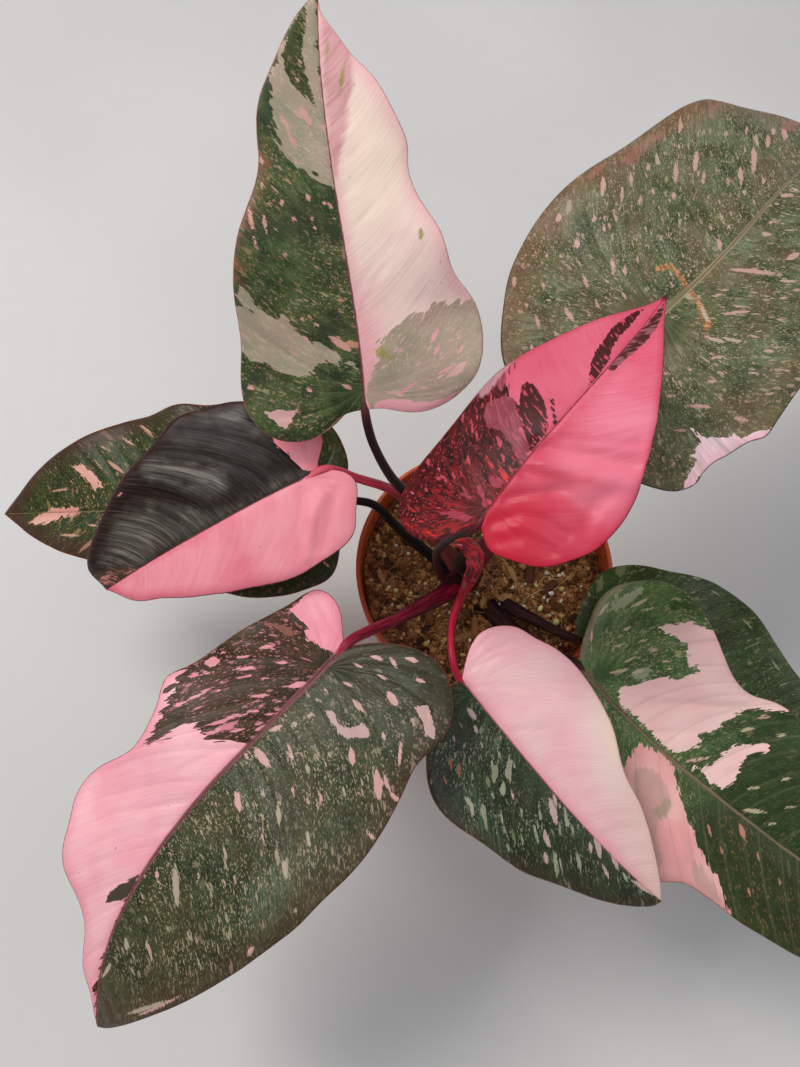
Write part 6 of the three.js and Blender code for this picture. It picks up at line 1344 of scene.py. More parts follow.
# ------------------------------------------------------------------ petioles, stem and sheath
def tube(name, pts, shape, mat, slot, node, up_end, step=1.1, around=32, seed=0, uneven=0.03):
    """a closed stalk along pts (x, y, z, radius); shape(s, ang) scales the radius"""
    pts = np.array(pts, float)
    length = np.linalg.norm(np.diff(pts[:, :3], axis=0), axis=1).sum()
    n = int(length / step) + 2
    C4 = catmull(pts, n)
    C, r = C4[:, :3], C4[:, 3]
    T = np.gradient(C, axis=0)
    T /= np.linalg.norm(T, axis=1)[:, None]
    U = np.zeros((n, 3))
    u = np.array(up_end, float)
    for i in range(n - 1, -1, -1):
        u = u - (u @ T[i]) * T[i]
        u /= np.linalg.norm(u)
        U[i] = u
    W = np.cross(T, U)
    s = np.concatenate([[0], np.cumsum(np.linalg.norm(np.diff(C, axis=0), axis=1))])
    ang = np.linspace(-np.pi, np.pi, around, endpoint=False)
    SS, AA = np.meshgrid(s, ang, indexing="ij")
    k = shape(SS / s[-1], AA, SS)
    wob = fbm(np.stack([SS / 9 + seed, np.cos(AA) * 1.2, np.sin(AA) * 1.2], -1), 2, seed) * uneven
    ridge = vnoise(np.stack([SS / 30, AA * 4.5, 0 * AA + seed], -1), seed + 3) * 0.66 * uneven
    rad = r[:, None] * (k + wob + ridge)
    V = C[:, None] + rad[..., None] * (np.cos(AA)[..., None] * U[:, None] + np.sin(AA)[..., None] * W[:, None])
    rows, al, an, ra = [], [], [], []
    def ring(P, s0, rr):
        rows.append(P)
        al.append(np.full(around, s0))
        an.append(ang / np.pi)
        ra.append(np.full(around, rr))
    for f, back in ((0.45, 0.42), (0.82, 0.2)):
        ring(C[0] + (V[0] - C[0]) * f - T[0] * r[0] * back, 0, r[0])
    for i in range(n):
        ring(V[i], s[i], r[i])
    for f, back in ((0.82, 0.2), (0.45, 0.42)):
        ring(C[-1] + (V[-1] - C[-1]) * f + T[-1] * r[-1] * back, s[-1], r[-1])
    m = len(rows)
    verts = np.vstack(rows + [[C[0] - T[0] * r[0] * 0.5], [C[-1] + T[-1] * r[-1] * 0.5]])
    at = np.stack([np.r_[np.concatenate(al), 0, s[-1]], np.r_[np.concatenate(an), 0, 0], np.r_[np.concatenate(ra), r[0], r[-1]]], 1)
    frac = at[:, 0] / s[-1]
    faces = []
    for i in range(m - 1):
        for j in range(around):
            k2 = (j + 1) % around
            faces.append((i * around + j, (i + 1) * around + j, (i + 1) * around + k2, i * around + k2))
    for j in range(around):
        k2 = (j + 1) % around
        faces.append((m * around, j, k2))
        faces.append((m * around + 1, (m - 1) * around + k2, (m - 1) * around + j))
    # around as a smooth pair, so that no seam shows
    a = at[:, 1] * np.pi
    o = add_object(name, verts, faces, mat, {"stalk": np.stack([at[:, 0], np.cos(a), np.sin(a)], 1), "part": np.stack([frac, at[:, 2], np.clip(np.r_[np.repeat(np.r_[k[0:1].max(), k[0:1].max(), k.max(1), 1, 1], around), 1, 1], 0, 3)], 1)})
    place(o, slot, node)
    return o


def stalk_mat(name, main, dark, light, wing, seed, rough=0.34, speckle=0.25, base_tint=None, end_tint=None, top=None, spec=0.16):
    g = Graph(name)
    s, cu, cw = g.xyz("stalk")
    frac, _, _ = g.xyz("part")
    v = g.vec(g.mul(s, 0.035), g.mul(cu, 1.6), g.mul(cw, 1.6))
    n = g.noise(g.vadd(v, (seed, 0, 0)), 1.0, 3.0, 0.6)
    col = g.mix(g.smooth(n, 0.36, 0.64), main, dark)
    st = g.noise(g.vec(g.mul(s, 0.10), g.mul(cu, 7.0), g.mul(cw, 7.0)), 1.0, 2.0, 0.6)
    col = g.mix(g.mul(g.smooth(st, 0.50, 0.72), 0.45), col, light)
    col = g.mix(g.mul(g.smooth(st, 0.48, 0.30), 0.40), col, dark)
    if top is not None:
        col = g.mix(g.mul(g.smooth(cu, 0.2, 0.9), 0.7), col, top)
    if wing is not None:
        wmask = g.mul(g.smooth(g.math("ABSOLUTE", cw), 0.55, 0.9), g.smooth(frac, 0.62, 0.42))
        col = g.mix(g.mul(wmask, 0.85), col, wing)
    d = g.noise(g.vec(g.mul(s, 0.9), g.mul(cu, 5.0), g.mul(cw, 5.0)), 1.0, 3.0, 0.7)
    col = g.mix(g.mul(g.smooth(d, 0.62, 0.70), speckle), col, light)
    col = g.mix(g.mul(g.smooth(d, 0.36, 0.29), speckle), col, dark)
    if base_tint is not None:
        col = g.mix(g.smooth(g.mad(g.sub(n, 0.5), 0.25, frac), 0.30, 0.10), col, base_tint)
    if end_tint is not None:
        col = g.mix(g.smooth(g.mad(g.sub(n, 0.5), 0.2, frac), 0.80, 0.97), col, end_tint)
    h = g.add(g.mul(st, 0.7), g.mul(d, 0.3))
    return g.finish(col, g.mad(g.sub(d, 0.5), 0.25, rough), g.bump(h, 0.00035, 0.6), Specular_IOR_Level=spec)


def petiole_shape(wing, groove, fade=0.55, flare=0.25):
    def f(t, a, s):
        k = np.ones_like(t)
        m = np.clip(1 - t / fade, 0, 1) ** 0.8
        k = k + wing * m * np.exp(-((abs(a) - 1.15) / 0.30) ** 2)
        k = k - groove * (0.25 + 0.75 * m) * np.exp(-(a / 0.55) ** 2)
        k = k + flare * np.exp(-(t / 0.07) ** 2)
        end = np.clip((t - 0.93) / 0.07, 0, 1)
        return k * (1 - 0.45 * end)
    return f


LEAF = {d["name"]: Blade(d) for d in LEAVES}
PLOOK = {
    "top_left": (0.15, 0.10, c(46, 20, 24), c(28, 12, 15), c(86, 44, 48), c(38, 15, 20), None, c(120, 60, 64)),
    "back_right": (0.30, 0.16, c(74, 30, 34), c(42, 18, 22), c(112, 58, 58), c(52, 22, 28), c(88, 34, 38), None),
    "centre": (0.30, 0.20, c(66, 16, 26), c(34, 9, 15), c(120, 44, 54), c(44, 14, 22), None, c(108, 36, 44)),
    "left_upper": (0.35, 0.20, c(216, 58, 82), c(170, 40, 60), c(236, 118, 132), c(124, 66, 62), c(120, 58, 56), c(226, 108, 122)),
    "left_lower": (0.15, 0.08, c(30, 17, 17), c(20, 12, 14), c(62, 34, 36), c(24, 14, 16), None, None),
    "front_left": (0.8, 0.28, c(132, 15, 42), c(70, 10, 26), c(176, 50, 74), c(38, 12, 20), None, c(178, 70, 84)),
    "front": (0.18, 0.14, c(186, 22, 56), c(128, 12, 36), c(214, 74, 96), c(70, 10, 20), c(120, 22, 32), c(206, 92, 100)),
    "front_right": (0.9, 0.3, c(58, 30, 28), c(27, 13, 14), c(112, 76, 62), c(36, 15, 20), None, c(96, 74, 60)),
    "right_lower": (0.8, 0.3, c(56, 30, 30), c(26, 13, 15), c(108, 74, 62), c(36, 16, 20), None, None),
}
for i, (name, pts) in enumerate(PETIOLES.items()):
    L = LEAF[name]
    wing, groove, main, dark, light, wc, bt, et = PLOOK[name]
    m, a_ = [], []
    r = pts[-1][3]
    k = 2.3 if name == "back_right" else 0.55
    joint = [tuple(L.J - L.T * 2.0 - L.N * (r * k)) + (r,), tuple(L.at(np.array([5.0]), np.array([float(L.mid(5.0))]), -(k + 0.2) * r)[0]) + (r * 0.8,), tuple(L.at(np.array([13.0]), np.array([float(L.mid(13.0))]), -1.7 if name == "back_right" else -0.6)[0]) + (r * 0.42,)]
    thin = {"front": 0.72, "centre": 0.66, "top_left": 0.92, "front_right": 1.0, "right_lower": 0.92, "left_lower": 0.9}.get(name, 1.0)
    line = [tuple(p[:3]) + (p[3] * thin,) for p in [*pts[:-1], *joint]]
    low = name in ("front_right", "right_lower")    # these two come up through the soil beside the stem
    if low:
        line = [(x, y, z - dz, q) for (x, y, z, q), dz in zip(line, [9.0, 8.5, 4.0, 1.0] + [0.0] * 9)]
    tube("stalk_" + name, line, petiole_shape(wing, groove), stalk_mat("petiole " + name.replace("_", " "), main, dark, light, wc, i * 3.1, 0.52 if low else 0.34, 0.45 if low else 0.25, bt, et, spec=0.09 if low else 0.16), "petiole", "petiole_" + name, L.N, seed=30 + i, uneven=0.09 if low else 0.03)


def stem_shape(t, a, s):
    k = 1 + 0.05 * np.sin(s * 1.3) * 0
    for z in (9.0, 20.0, 29.0, 38.0, 47.0, 56.0):
        k = k + 0.09 * np.exp(-((s - z - 1.4 * np.cos(a + z)) / 0.9) ** 2)
        k = k - 0.05 * np.exp(-((s - z - 2.2 - 1.4 * np.cos(a + z)) / 0.8) ** 2)
    return k


tube("stem_main", STEM, stem_shape, stalk_mat("stem", c(56, 36, 25), c(28, 17, 13), c(92, 68, 48), None, 50.0, 0.8, 0.6, c(74, 48, 30), c(26, 9, 12)), "stem", "main_stem", (1, 0, 0), 0.8, 48, seed=60)


def sheath_shape(t, a, s):
    tw = a + 0.10 * s
    w = fbm(np.stack([s / 6.0, np.cos(tw) * 2.2, np.sin(tw) * 2.2], -1), 3, 91)
    pleat = -0.30 * np.exp(-((np.abs(((tw - 0.4) + np.pi) % (2 * np.pi) - np.pi)) / 0.30) ** 2) - 0.22 * np.exp(-((np.abs(((tw + 1.7) + np.pi) % (2 * np.pi) - np.pi)) / 0.25) ** 2)
    return 1.05 + 0.24 * w + pleat


def sheath_mat():
    g = Graph("sheath")
    s, cu, cw = g.xyz("stalk")
    frac, _, _ = g.xyz("part")
    n = g.noise(g.vec(g.mul(s, 0.22), g.mul(cu, 1.3), g.mul(cw, 1.3)), 1.0, 4.0, 0.65)
    col = g.ramp(n, [(0.32, c(50, 6, 12)), (0.43, c(98, 8, 20)), (0.54, c(158, 13, 32)), (0.68, c(190, 30, 42)), (0.84, c(212, 80, 76))])
    st = g.noise(g.vec(g.mul(s, 0.12), g.mul(cu, 8.0), g.mul(cw, 8.0)), 1.0, 2.0, 0.6)
    col = g.mix(g.mul(g.smooth(st, 0.5, 0.7), 0.4), col, c(208, 82, 82))
    col = g.mix(g.smooth(frac, 0.18, 0.0, 0.0, 0.8), col, c(150, 92, 60))
    h = g.add(g.mul(n, 0.8), g.mul(st, 0.4))
    return g.finish(col, g.smooth(n, 0.3, 0.7, 0.18, 0.34), g.bump(h, 0.0006, 0.7), Specular_IOR_Level=0.36, Coat_Weight=0.18, Coat_Roughness=0.12)


tube("sheath_bud", SHEATH, sheath_shape, sheath_mat(), "sheath", "stem_sheath", (0, 0, 1), 0.45, 56, seed=70)


# ------------------------------------------------------------------ pot
def lathe(profile, n, wobble=None):
    """closed profile (r, z) turned about the axis; points at r = 0 are shared"""
    verts, faces, rings = [], [], []
    for r, z in profile:
        if r < 1e-6:
            rings.append([len(verts)])
            verts.append((0, 0, z))
        else:
            rings.append(list(range(len(verts), len(verts) + n)))
            for j in range(n):
                a = 2 * math.pi * j / n
                verts.append((r * math.cos(a), r * math.sin(a), z))
    for A, B in zip(rings, rings[1:]):
        for j in range(n):
            k = (j + 1) % n
            if len(A) == 1 and len(B) == 1:
                continue
            if len(A) == 1:
                faces.append((A[0], B[k], B[j]))
            elif len(B) == 1:
                faces.append((A[j], A[k], B[0]))
            else:
                faces.append((A[j], A[k], B[k], B[j]))
    return np.array(verts, float), faces


def arc(cx, cz, r, a0, a1, n=6):
    return [(cx + r * math.cos(math.radians(a0 + (a1 - a0) * i / n)), cz + r * math.sin(math.radians(a0 + (a1 - a0) * i / n))) for i in range(n + 1)]


def pot_material():
    g = Graph("pot plastic")
    pos = g.position()
    x, y, z = [None] * 3
    sep = g.t.nodes.new("ShaderNodeSeparateXYZ")
    g.put(sep.inputs[0], pos)
    x, y, z = sep.outputs
    n1 = g.noise(pos, 0.035, 3.0, 0.55)
    col = g.mix(g.smooth(n1, 0.35, 0.65), c(196, 82, 40), c(184, 72, 34))
    n2 = g.noise(g.vmul(pos, (0.4, 0.4, 0.12)), 1.0, 4.0, 0.65)
    col = g.mix(g.mul(g.smooth(n2, 0.56, 0.74), 0.28), col, c(214, 118, 78))
    fine = g.noise(pos, 1.6, 3.0, 0.6)
    col = g.mix(g.mul(g.smooth(fine, 0.42, 0.62), 0.16), col, c(160, 58, 26))
    # dried soil splashes low on the outside; on the inner wall above the soil, soil dirt together with painted shade,
    # darkest down by the soil and fading towards the rim
    r2 = g.math("SQRT", g.add(g.mul(x, x), g.mul(y, y)))
    inner = g.mul(g.smooth(r2, 59.2, 57.8), g.smooth(z, 84.0, 90.0))
    dust = g.noise(pos, 0.32, 5.0, 0.7)
    dirt_and_painted_shade = g.mul(g.smooth(dust, 0.46, 0.62), g.math("MAXIMUM", g.mul(inner, g.smooth(z, 103.5, 96.0, 0.25, 1.0)), g.mul(g.smooth(z, 26.0, 0.0), 0.45)))
    col = g.mix(dirt_and_painted_shade, col, c(84, 56, 38))
    spots = g.voronoi(g.vmul(pos, (0.28, 0.28, 0.28)), 1.0, "3D")
    col = g.mix(g.mul(g.smooth(spots["Distance"], 0.16, 0.10), g.smooth(dust, 0.52, 0.6)), col, c(120, 84, 60))
    scr = g.noise(g.vmul(pos, (0.15, 0.15, 2.2)), 1.0, 2.0, 0.6)
    h = g.add(g.mul(fine, 0.5), g.mul(scr, 0.35))
    rough = g.add(g.mad(g.sub(n2, 0.5), 0.3, 0.40), g.mul(dirt_and_painted_shade, 0.35))
    return g.finish(col, rough, g.bump(h, 0.00018, 0.6), Specular_IOR_Level=0.5)


def make_pot():
    H, R, rb, band = 105.0, 60.0, 43.0, 92.0
    out_r = lambda z: rb + (R - 2.4 - rb) * z / band
    p = [(0, 0.8), (8, 0.8), (20, 0.8), (26, 0.75), (36.5, 0.7), (37.6, 0.3)] + arc(38.4, 0.45, 0.45, 210, 270, 3) + [(40.5, 0.0)] + arc(rb - 1.4, 1.4, 1.4, 270, 355, 6)
    p += [(out_r(z), z) for z in np.linspace(4, band - 3.2, 26)]
    p += [(out_r(band - 2.2), band - 2.2)] + arc(out_r(band) + 0.9, band - 0.6, 0.9, 180, 120, 4)[1:] + [(R - 1.3, band + 0.15)] + arc(R - 1.2, band + 1.0, 0.85, 270, 360, 5)
    p += [(R - 0.35, 94.6), (R - 0.33, 96.4), (R - 0.62, 96.7), (R - 0.62, 97.2), (R - 0.3, 97.5), (R - 0.25, 99.8), (R - 0.2, 102.2)]
    p += arc(R - 1.0, H - 1.1, 1.0, 0, 90, 7) + arc(R - 1.3, H - 0.9, 0.9, 90, 180, 6)
    p += [(R - 2.28, 101.5), (R - 2.5, 98.0), (R - 2.9, 94.5), (out_r(band) - 1.1, band - 0.6), (out_r(88) - 1.5, 88.0)]
    p += [(out_r(z) - 1.5, z) for z in np.linspace(82, 6, 12)] + arc(rb - 3.4, 4.0, 1.9, 0, -90, 5) + [(30, 2.1), (15, 2.05), (0, 2.05)]
    v, f = lathe(p, 192)
    # barely uneven, as thin moulded plastic is
    a = np.arctan2(v[:, 1], v[:, 0])
    k = 1 + 0.0022 * np.sin(3 * a + 0.6) * v[:, 2] / 105 + 0.0012 * np.sin(5 * a + 2.0) * v[:, 2] / 105
    v[:, 0] *= k
    v[:, 1] *= k
    o = add_object("pot_shell", v, f, pot_material())
    for i in range(8):
        b = math.radians(45 * i)
        cv, cf = lathe([(0, -3), (1.8, -3), (1.8, 6), (0, 6)], 28)
        cutter = add_object("hole", cv + np.array([31 * math.cos(b), 31 * math.sin(b), 0]), cf)
        m = o.modifiers.new("hole", "BOOLEAN")
        m.operation = "DIFFERENCE"
        m.object = cutter
        m.solver = "EXACT"
        bpy.context.view_layer.objects.active = o
        bpy.ops.object.modifier_apply(modifier=m.name)
        bpy.data.objects.remove(cutter)
    m = o.data
    m.polygons.foreach_set("use_smooth", np.ones(len(m.polygons), bool))
    m.set_sharp_from_angle(angle=math.radians(38))
    place(o, "pot", "pot")


make_pot()


# ------------------------------------------------------------------ soil
rng = np.random.default_rng(7)
SOIL_R = 56.4


def soil_z(x, y):
    x, y = np.asarray(x, float), np.asarray(y, float)
    r = np.hypot(x, y)
    base = np.interp(r, [0, 20, 38, 52, 56], [96.6, 96.5, 95.4, 94.6, 93.2])
    p = np.stack([x, y, 0 * x], -1)
    z = base + 1.3 * vnoise(p / 17.0, 3) + 0.9 * vnoise(p / 6.5, 4) + 0.75 * vnoise(p / 2.9, 5) + 0.45 * vnoise(p / 1.3, 6)
    near = np.hypot(x + 5, y + 5)
    return z + 8.5 * np.exp(-(near / 10.5) ** 2)


def soil_body():
    n_r, n_a = 92, 560
    rr = SOIL_R * np.linspace(0, 1, n_r) ** 0.8
    verts, faces = [(0, 0, float(soil_z(0, 0)))], []
    for i in range(1, n_r):
        a = np.arange(n_a) * 2 * np.pi / n_a + 0.3 * i
        x, y = rr[i] * np.cos(a), rr[i] * np.sin(a)
        z = soil_z(x, y)
        if i == n_r - 1:
            z = np.clip(z, 93.4, 94.6)
        verts += list(zip(x, y, z))
    idx = lambda i, j: 1 + (i - 1) * n_a + j % n_a
    for j in range(n_a):
        faces.append((0, idx(1, j), idx(1, j + 1)))
    for i in range(1, n_r - 1):
        # rings are turned a little against each other; join each to its nearest
        sh = int(round(0.3 * n_a / (2 * np.pi)))
        for j in range(n_a):
            faces.append((idx(i, j + sh), idx(i + 1, j), idx(i + 1, j + 1), idx(i, j + 1 + sh)))
    # sides down to the pot's floor
    last = n_r - 1
    prof = [(SOIL_R, 92.6), (54.9, 89.0), (54.0, 84.0), (41.8, 7.0), (39.2, 2.6), (0, 2.6)]
    a = np.arange(n_a) * 2 * np.pi / n_a + 0.3 * last
    prev = [idx(last, j) for j in range(n_a)]
    for r, z in prof[:-1]:
        cur = list(range(len(verts), len(verts) + n_a))
        verts += list(zip(r * np.cos(a), r * np.sin(a), np.full(n_a, z)))
        for j in range(n_a):
            faces.append((prev[j], cur[j], cur[(j + 1) % n_a], prev[(j + 1) % n_a]))
        prev = cur
    verts.append((0, 0, 2.6))
    for j in range(n_a):
        faces.append((prev[j], len(verts) - 1, prev[(j + 1) % n_a]))
    return np.array(verts), faces


def soil_material():
    g = Graph("soil")
    pos = g.position()
    n1 = g.noise(pos, 0.22, 3.0, 0.65)
    n2 = g.noise(pos, 0.9, 3.0, 0.7)
    n3 = g.noise(g.vmul(pos, (1.0, 0.35, 1.0)), 2.2, 3.0, 0.65)
    col = g.ramp(g.mad(g.sub(n2, 0.5), 0.8, n1), [(0.26, c(44, 26, 15)), (0.40, c(98, 60, 34)), (0.52, c(148, 97, 57)), (0.66, c(204, 150, 94))])
    col = g.mix(g.mul(g.smooth(n3, 0.56, 0.70), 0.6), col, c(150, 104, 60))
    col = g.mix(g.mul(g.smooth(n3, 0.42, 0.30), 0.6), col, c(24, 13, 9))
    v = g.voronoi(g.vmul(pos, (0.9, 0.9, 0.9)), 1.0, "3D")
    col = g.mix(g.mul(g.smooth(v["Distance"], 0.20, 0.10), 0.6), col, c(176, 140, 92))
    return g.finish(col, g.smooth(n2, 0.3, 0.7, 0.75, 0.95), g.bump(g.add(n2, g.mul(n3, 0.8)), 0.0012, 0.9), Specular_IOR_Level=0.25)


def bits_material(name, stops, scale, rough=0.85, bump=0.0006, coat=0.0, spec=0.3, stretch=(1, 1, 1)):
    g = Graph(name)
    pos = g.position()
    r = g.attr("tone")
    n = g.noise(g.vmul(pos, stretch), scale, 4.0, 0.65)
    col = g.ramp(g.mad(g.sub(n, 0.5), 0.55, r), stops)
    n2 = g.noise(g.vmul(pos, stretch), scale * 3.1, 3.0, 0.6)
    col = g.mix(g.mul(g.smooth(n2, 0.5, 0.72), 0.35), col, stops[-1][1])
    col = g.mix(g.mul(g.smooth(n2, 0.46, 0.28), 0.35), col, stops[0][1])
    return g.finish(col, g.smooth(n, 0.3, 0.7, rough - 0.1, min(1, rough + 0.1)), g.bump(n2, bump, 0.8), Specular_IOR_Level=spec)


def ico(sub):
    import bmesh
    bm = bmesh.new()
    bmesh.ops.create_icosphere(bm, subdivisions=sub, radius=1.0)
    v = np.array([list(x.co) for x in bm.verts])
    f = [tuple(x.index for x in p.verts) for p in bm.faces]
    bm.free()
    return v, f


def rand_rot(n=1):
    q = rng.normal(size=4)
    q /= np.linalg.norm(q)
    w, x, y, z = q
    return np.array([[1 - 2 * (y * y + z * z), 2 * (x * y - z * w), 2 * (x * z + y * w)], [2 * (x * y + z * w), 1 - 2 * (x * x + z * z), 2 * (y * z - x * w)], [2 * (x * z - y * w), 2 * (y * z + x * w), 1 - 2 * (x * x + y * y)]])


def spot(rmax=53.0):
    a, r = rng.uniform(0, 2 * np.pi), rmax * math.sqrt(rng.uniform())
    return r * math.cos(a), r * math.sin(a)


class Heap:
    def __init__(s):
        s.v, s.f, s.t, s.n = [], [], [], 0

    def put(s, v, f, tone):
        s.v.append(v)
        s.f += [tuple(i + s.n for i in q) for q in f]
        s.t.append(np.full(len(v), tone))
        s.n += len(v)

    def make(s, name, mat, smooth=True):
        o = add_object(name, np.vstack(s.v), s.f, mat, {"tone": np.concatenate(s.t)}, smooth=smooth)
        place(o, "soil")
        return o


def lumps(heap, count, lo, hi, sub, rough, flat=0.8, sink=0.35, power=1.5, spots=None, rmax=52.5):
    v0, f0 = ico(sub)
    for i in range(count):
        if spots and i < len(spots):
            x, y, d = spots[i]
        else:
            d = lo + (hi - lo) * rng.uniform() ** power
            x, y = spot(rmax)
        off = rng.uniform(0, 99, 3)
        k = 1 + rough * fbm(v0 * 1.3 + off, 2, 11)
        v = v0 * k[:, None] * np.array([1, rng.uniform(0.7, 1), rng.uniform(0.6, 1) * flat]) * d / 2
        v = v @ rand_rot().T
        z = float(soil_z(x, y)) + d / 2 * flat * (1 - 2 * sink)
        heap.put(v + np.array([x, y, z]), f0, rng.uniform())


body_v, body_f = soil_body()
soil_o = add_object("soil_bed", body_v, body_f, soil_material())
place(soil_o, "soil", "soil")
WHITE = [(18.4, -17.9, 3.0), (32.0, -11.0, 3.0), (30.3, -14.5, 2.2), (-12.7, -6.1, 2.2), (-24.8, 5.4, 2.0), (-3.4, -12.5, 1.8), (36.9, -14.5, 2.2), (13.7, -8.6, 2.0), (-38.7, -21.2, 1.6), (-41.1, 13.1, 1.6), (-27.0, 21.9, 1.5), (-14.7, -10.5, 2.4), (-21.3, -15.4, 1.6), (36.9, -1.6, 2.2), (7.5, -20.3, 1.8), (-6.9, -33.6, 1.8), (-34.4, -9.6, 1.4), (22.5, -3.6, 1.6), (46.9, -7.1, 1.8)]
GRAINS = [(26.3, -18.8, 3.4), (33.4, -25.1, 3.6), (37.3, -8.6, 3.0), (-41.0, -9.6, 2.6), (25.1, -7.1, 2.6), (-46.4, 13.1, 2.6), (45.0, -25.1, 2.8)]
crumbs = Heap()
lumps(crumbs, 1500, 0.7, 3.6, 1, 0.45, 0.85, 0.30, 2.2, rmax=53.5)
crumbs.make("soil_crumbs", bits_material("peat crumbs", [(0.10, c(62, 37, 22)), (0.34, c(124, 78, 44)), (0.58, c(180, 126, 74)), (0.86, c(226, 184, 126))], 0.8, 0.9))
white = Heap()
lumps(white, 90, 0.8, 2.6, 2, 0.35, 0.9, 0.2, 2.0, WHITE, 52)
white.make("soil_perlite", bits_material("perlite", [(0.1, c(190, 178, 150)), (0.5, c(226, 218, 200)), (0.9, c(244, 240, 230))], 1.3, 0.8, 0.0003))
grains = Heap()
lumps(grains, 16, 2.0, 3.2, 2, 0.06, 1.0, 0.15, 1.0, GRAINS, 50)
grains.make("soil_granules", bits_material("coated granules", [(0.1, c(150, 140, 60)), (0.5, c(186, 178, 96)), (0.9, c(214, 206, 140))], 0.7, 0.5, 0.0002, spec=0.45))


def chips(heap, count):
    """torn bark: faceted slabs with uneven edges"""
    for i in range(count):
        L, W, T = rng.uniform(3.5, 10.5), rng.uniform(1.8, 4.5), rng.uniform(0.6, 1.8)
        nx, ny = 9, 5
        gx, gy = np.meshgrid(np.linspace(-1, 1, nx), np.linspace(-1, 1, ny), indexing="ij")
        off = rng.uniform(0, 99, 3)
        base = np.stack([gx * L / 2 * (1 - 0.18 * gy ** 2), gy * W / 2 * (1 - 0.35 * abs(gx) ** 3), 0 * gx], -1)
        n = fbm(np.stack([gx * 2, gy * 2, 0 * gx], -1) + off, 2, 12)
        n2 = fbm(np.stack([gx * 3, gy * 3, 0 * gx + 5], -1) + off, 2, 13)
        edge = 1 - np.maximum(abs(gx), abs(gy)) ** 6
        base[..., 0] += n * 0.35
        base[..., 1] += n2 * 0.3
        bend = rng.uniform(-0.03, 0.03) * base[..., 0] ** 2
        topz = bend + T / 2 * (0.35 + 0.65 * edge) + 0.25 * n
        botz = bend - T / 2 * (0.35 + 0.65 * edge) + 0.25 * n2
        top = np.concatenate([base[..., :2], topz[..., None]], -1).reshape(-1, 3)
        bot = np.concatenate([base[..., :2], botz[..., None]], -1).reshape(-1, 3)
        g = np.arange(nx * ny).reshape(nx, ny)
        f = []
        for a in range(nx - 1):
            for b in range(ny - 1):
                q = (g[a, b], g[a + 1, b], g[a + 1, b + 1], g[a, b + 1])
                f.append(q)
                f.append(tuple(k + nx * ny for k in q[::-1]))
        rim = [g[a, 0] for a in range(nx)] + [g[nx - 1, b] for b in range(1, ny)] + [g[a, ny - 1] for a in range(nx - 2, -1, -1)] + [g[0, b] for b in range(ny - 2, 0, -1)]
        for a, b in zip(rim, rim[1:] + rim[:1]):
            f.append((b, a, a + nx * ny, b + nx * ny))
        v = np.vstack([top, bot])
        tilt = rng.normal(0, 0.28, 2)
        yaw = rng.uniform(0, 2 * np.pi)
        cz, sz = math.cos(yaw), math.sin(yaw)
        Rz = np.array([[cz, -sz, 0], [sz, cz, 0], [0, 0, 1]])
        Rx = np.array([[1, 0, 0], [0, math.cos(tilt[0]), -math.sin(tilt[0])], [0, math.sin(tilt[0]), math.cos(tilt[0])]])
        Ry = np.array([[math.cos(tilt[1]), 0, math.sin(tilt[1])], [0, 1, 0], [-math.sin(tilt[1]), 0, math.cos(tilt[1])]])
        x, y = spot(48.5)
        heap.put(v @ (Rz @ Rx @ Ry).T + np.array([x, y, float(soil_z(x, y)) + T * 0.35]), [tuple(int(k) for k in q) for q in f], rng.uniform())


bark = Heap()
chips(bark, 120)
bark.make("soil_bark", bits_material("bark chips", [(0.1, c(52, 29, 18)), (0.4, c(108, 64, 36)), (0.7, c(156, 104, 62)), (0.95, c(196, 150, 100))], 0.7, 0.85, 0.0007, stretch=(1, 2.2, 1)))


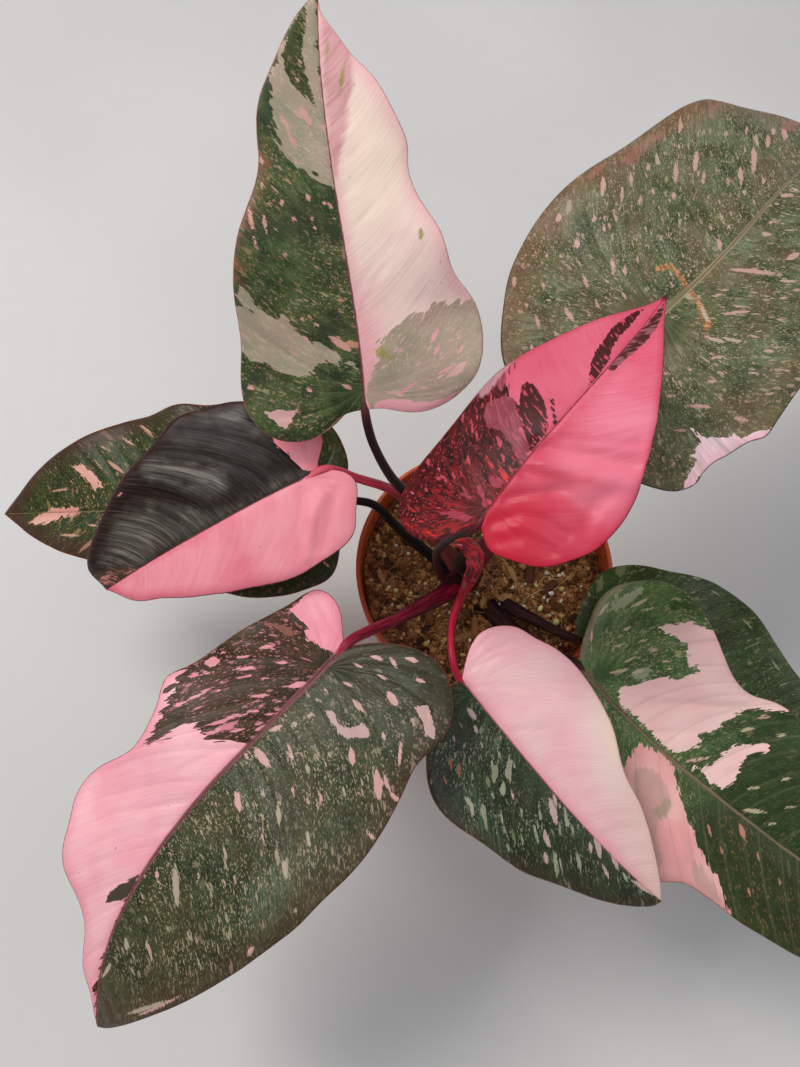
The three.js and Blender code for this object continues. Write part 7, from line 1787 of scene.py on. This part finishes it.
def fibres(heap, count):
    for i in range(count):
        n = 10
        ln, rad = 4 + 18 * rng.uniform() ** 1.8, rng.uniform(0.09, 0.22)
        x, y = spot(50)
        yaw = rng.uniform(0, 2 * np.pi)
        turn = rng.normal(0, 0.16)
        pts = []
        for k in range(n):
            if math.hypot(x, y) > 53:
                break
            z = float(soil_z(x, y))
            t = k / (n - 1)
            lift = 0.35 + 1.9 * rng.uniform(0.6, 1.0) * math.sin(math.pi * t) * (0.3 + 0.7 * (i % 5 == 0))
            pts.append((x, y, z + lift - 0.5 * (k == 0 or k == n - 1)))
            yaw += turn + rng.normal(0, 0.10)
            x += math.cos(yaw) * ln / n
            y += math.sin(yaw) * ln / n
        if len(pts) < 4:
            continue
        P = catmull(np.array(pts), 12, 4)
        T = np.gradient(P, axis=0)
        T /= np.linalg.norm(T, axis=1)[:, None]
        X = np.cross(T, [0.1, 0.05, 1.0])
        X /= np.linalg.norm(X, axis=1)[:, None]
        Y = np.cross(T, X)
        sides = 5
        rr = rad * (1 - 0.6 * abs(np.linspace(-1, 1, len(P))) ** 3)
        v = np.vstack([P[k] + rr[k] * (math.cos(a) * X[k] + math.sin(a) * Y[k]) for k in range(len(P)) for a in np.arange(sides) * 2 * np.pi / sides])
        f = [(k * sides + j, k * sides + (j + 1) % sides, (k + 1) * sides + (j + 1) % sides, (k + 1) * sides + j) for k in range(len(P) - 1) for j in range(sides)]
        f += [tuple(range(sides))[::-1], tuple((len(P) - 1) * sides + j for j in range(sides))]
        heap.put(v, f, rng.uniform())


coir = Heap()
fibres(coir, 560)
coir.make("soil_fibres", bits_material("coir fibres", [(0.1, c(74, 42, 22)), (0.45, c(128, 84, 44)), (0.75, c(176, 130, 76)), (0.95, c(206, 168, 112))], 0.9, 0.75, 0.0002))


# ------------------------------------------------------------------ floor
def floor():
    g = Graph("floor")
    pos = g.position(1.0)
    n = g.noise(pos, 3.0, 2.0, 0.55)
    n2 = g.noise(pos, 60.0, 1.0, 0.6)
    col = g.mix(g.smooth(n, 0.35, 0.65), (0.615, 0.605, 0.59, 1), (0.66, 0.65, 0.635, 1))
    col = g.mix(g.mul(g.smooth(n2, 0.4, 0.7), 0.12), col, (0.60, 0.59, 0.575, 1))
    mat = g.finish(col, g.smooth(n, 0.3, 0.7, 0.5, 0.62))
    o = add_object("floor", [(-2500, -2500, -0.4), (2500, -2500, -0.4), (2500, 2500, -0.4), (-2500, 2500, -0.4)], [(0, 1, 2, 3)], mat, smooth=False)


floor()
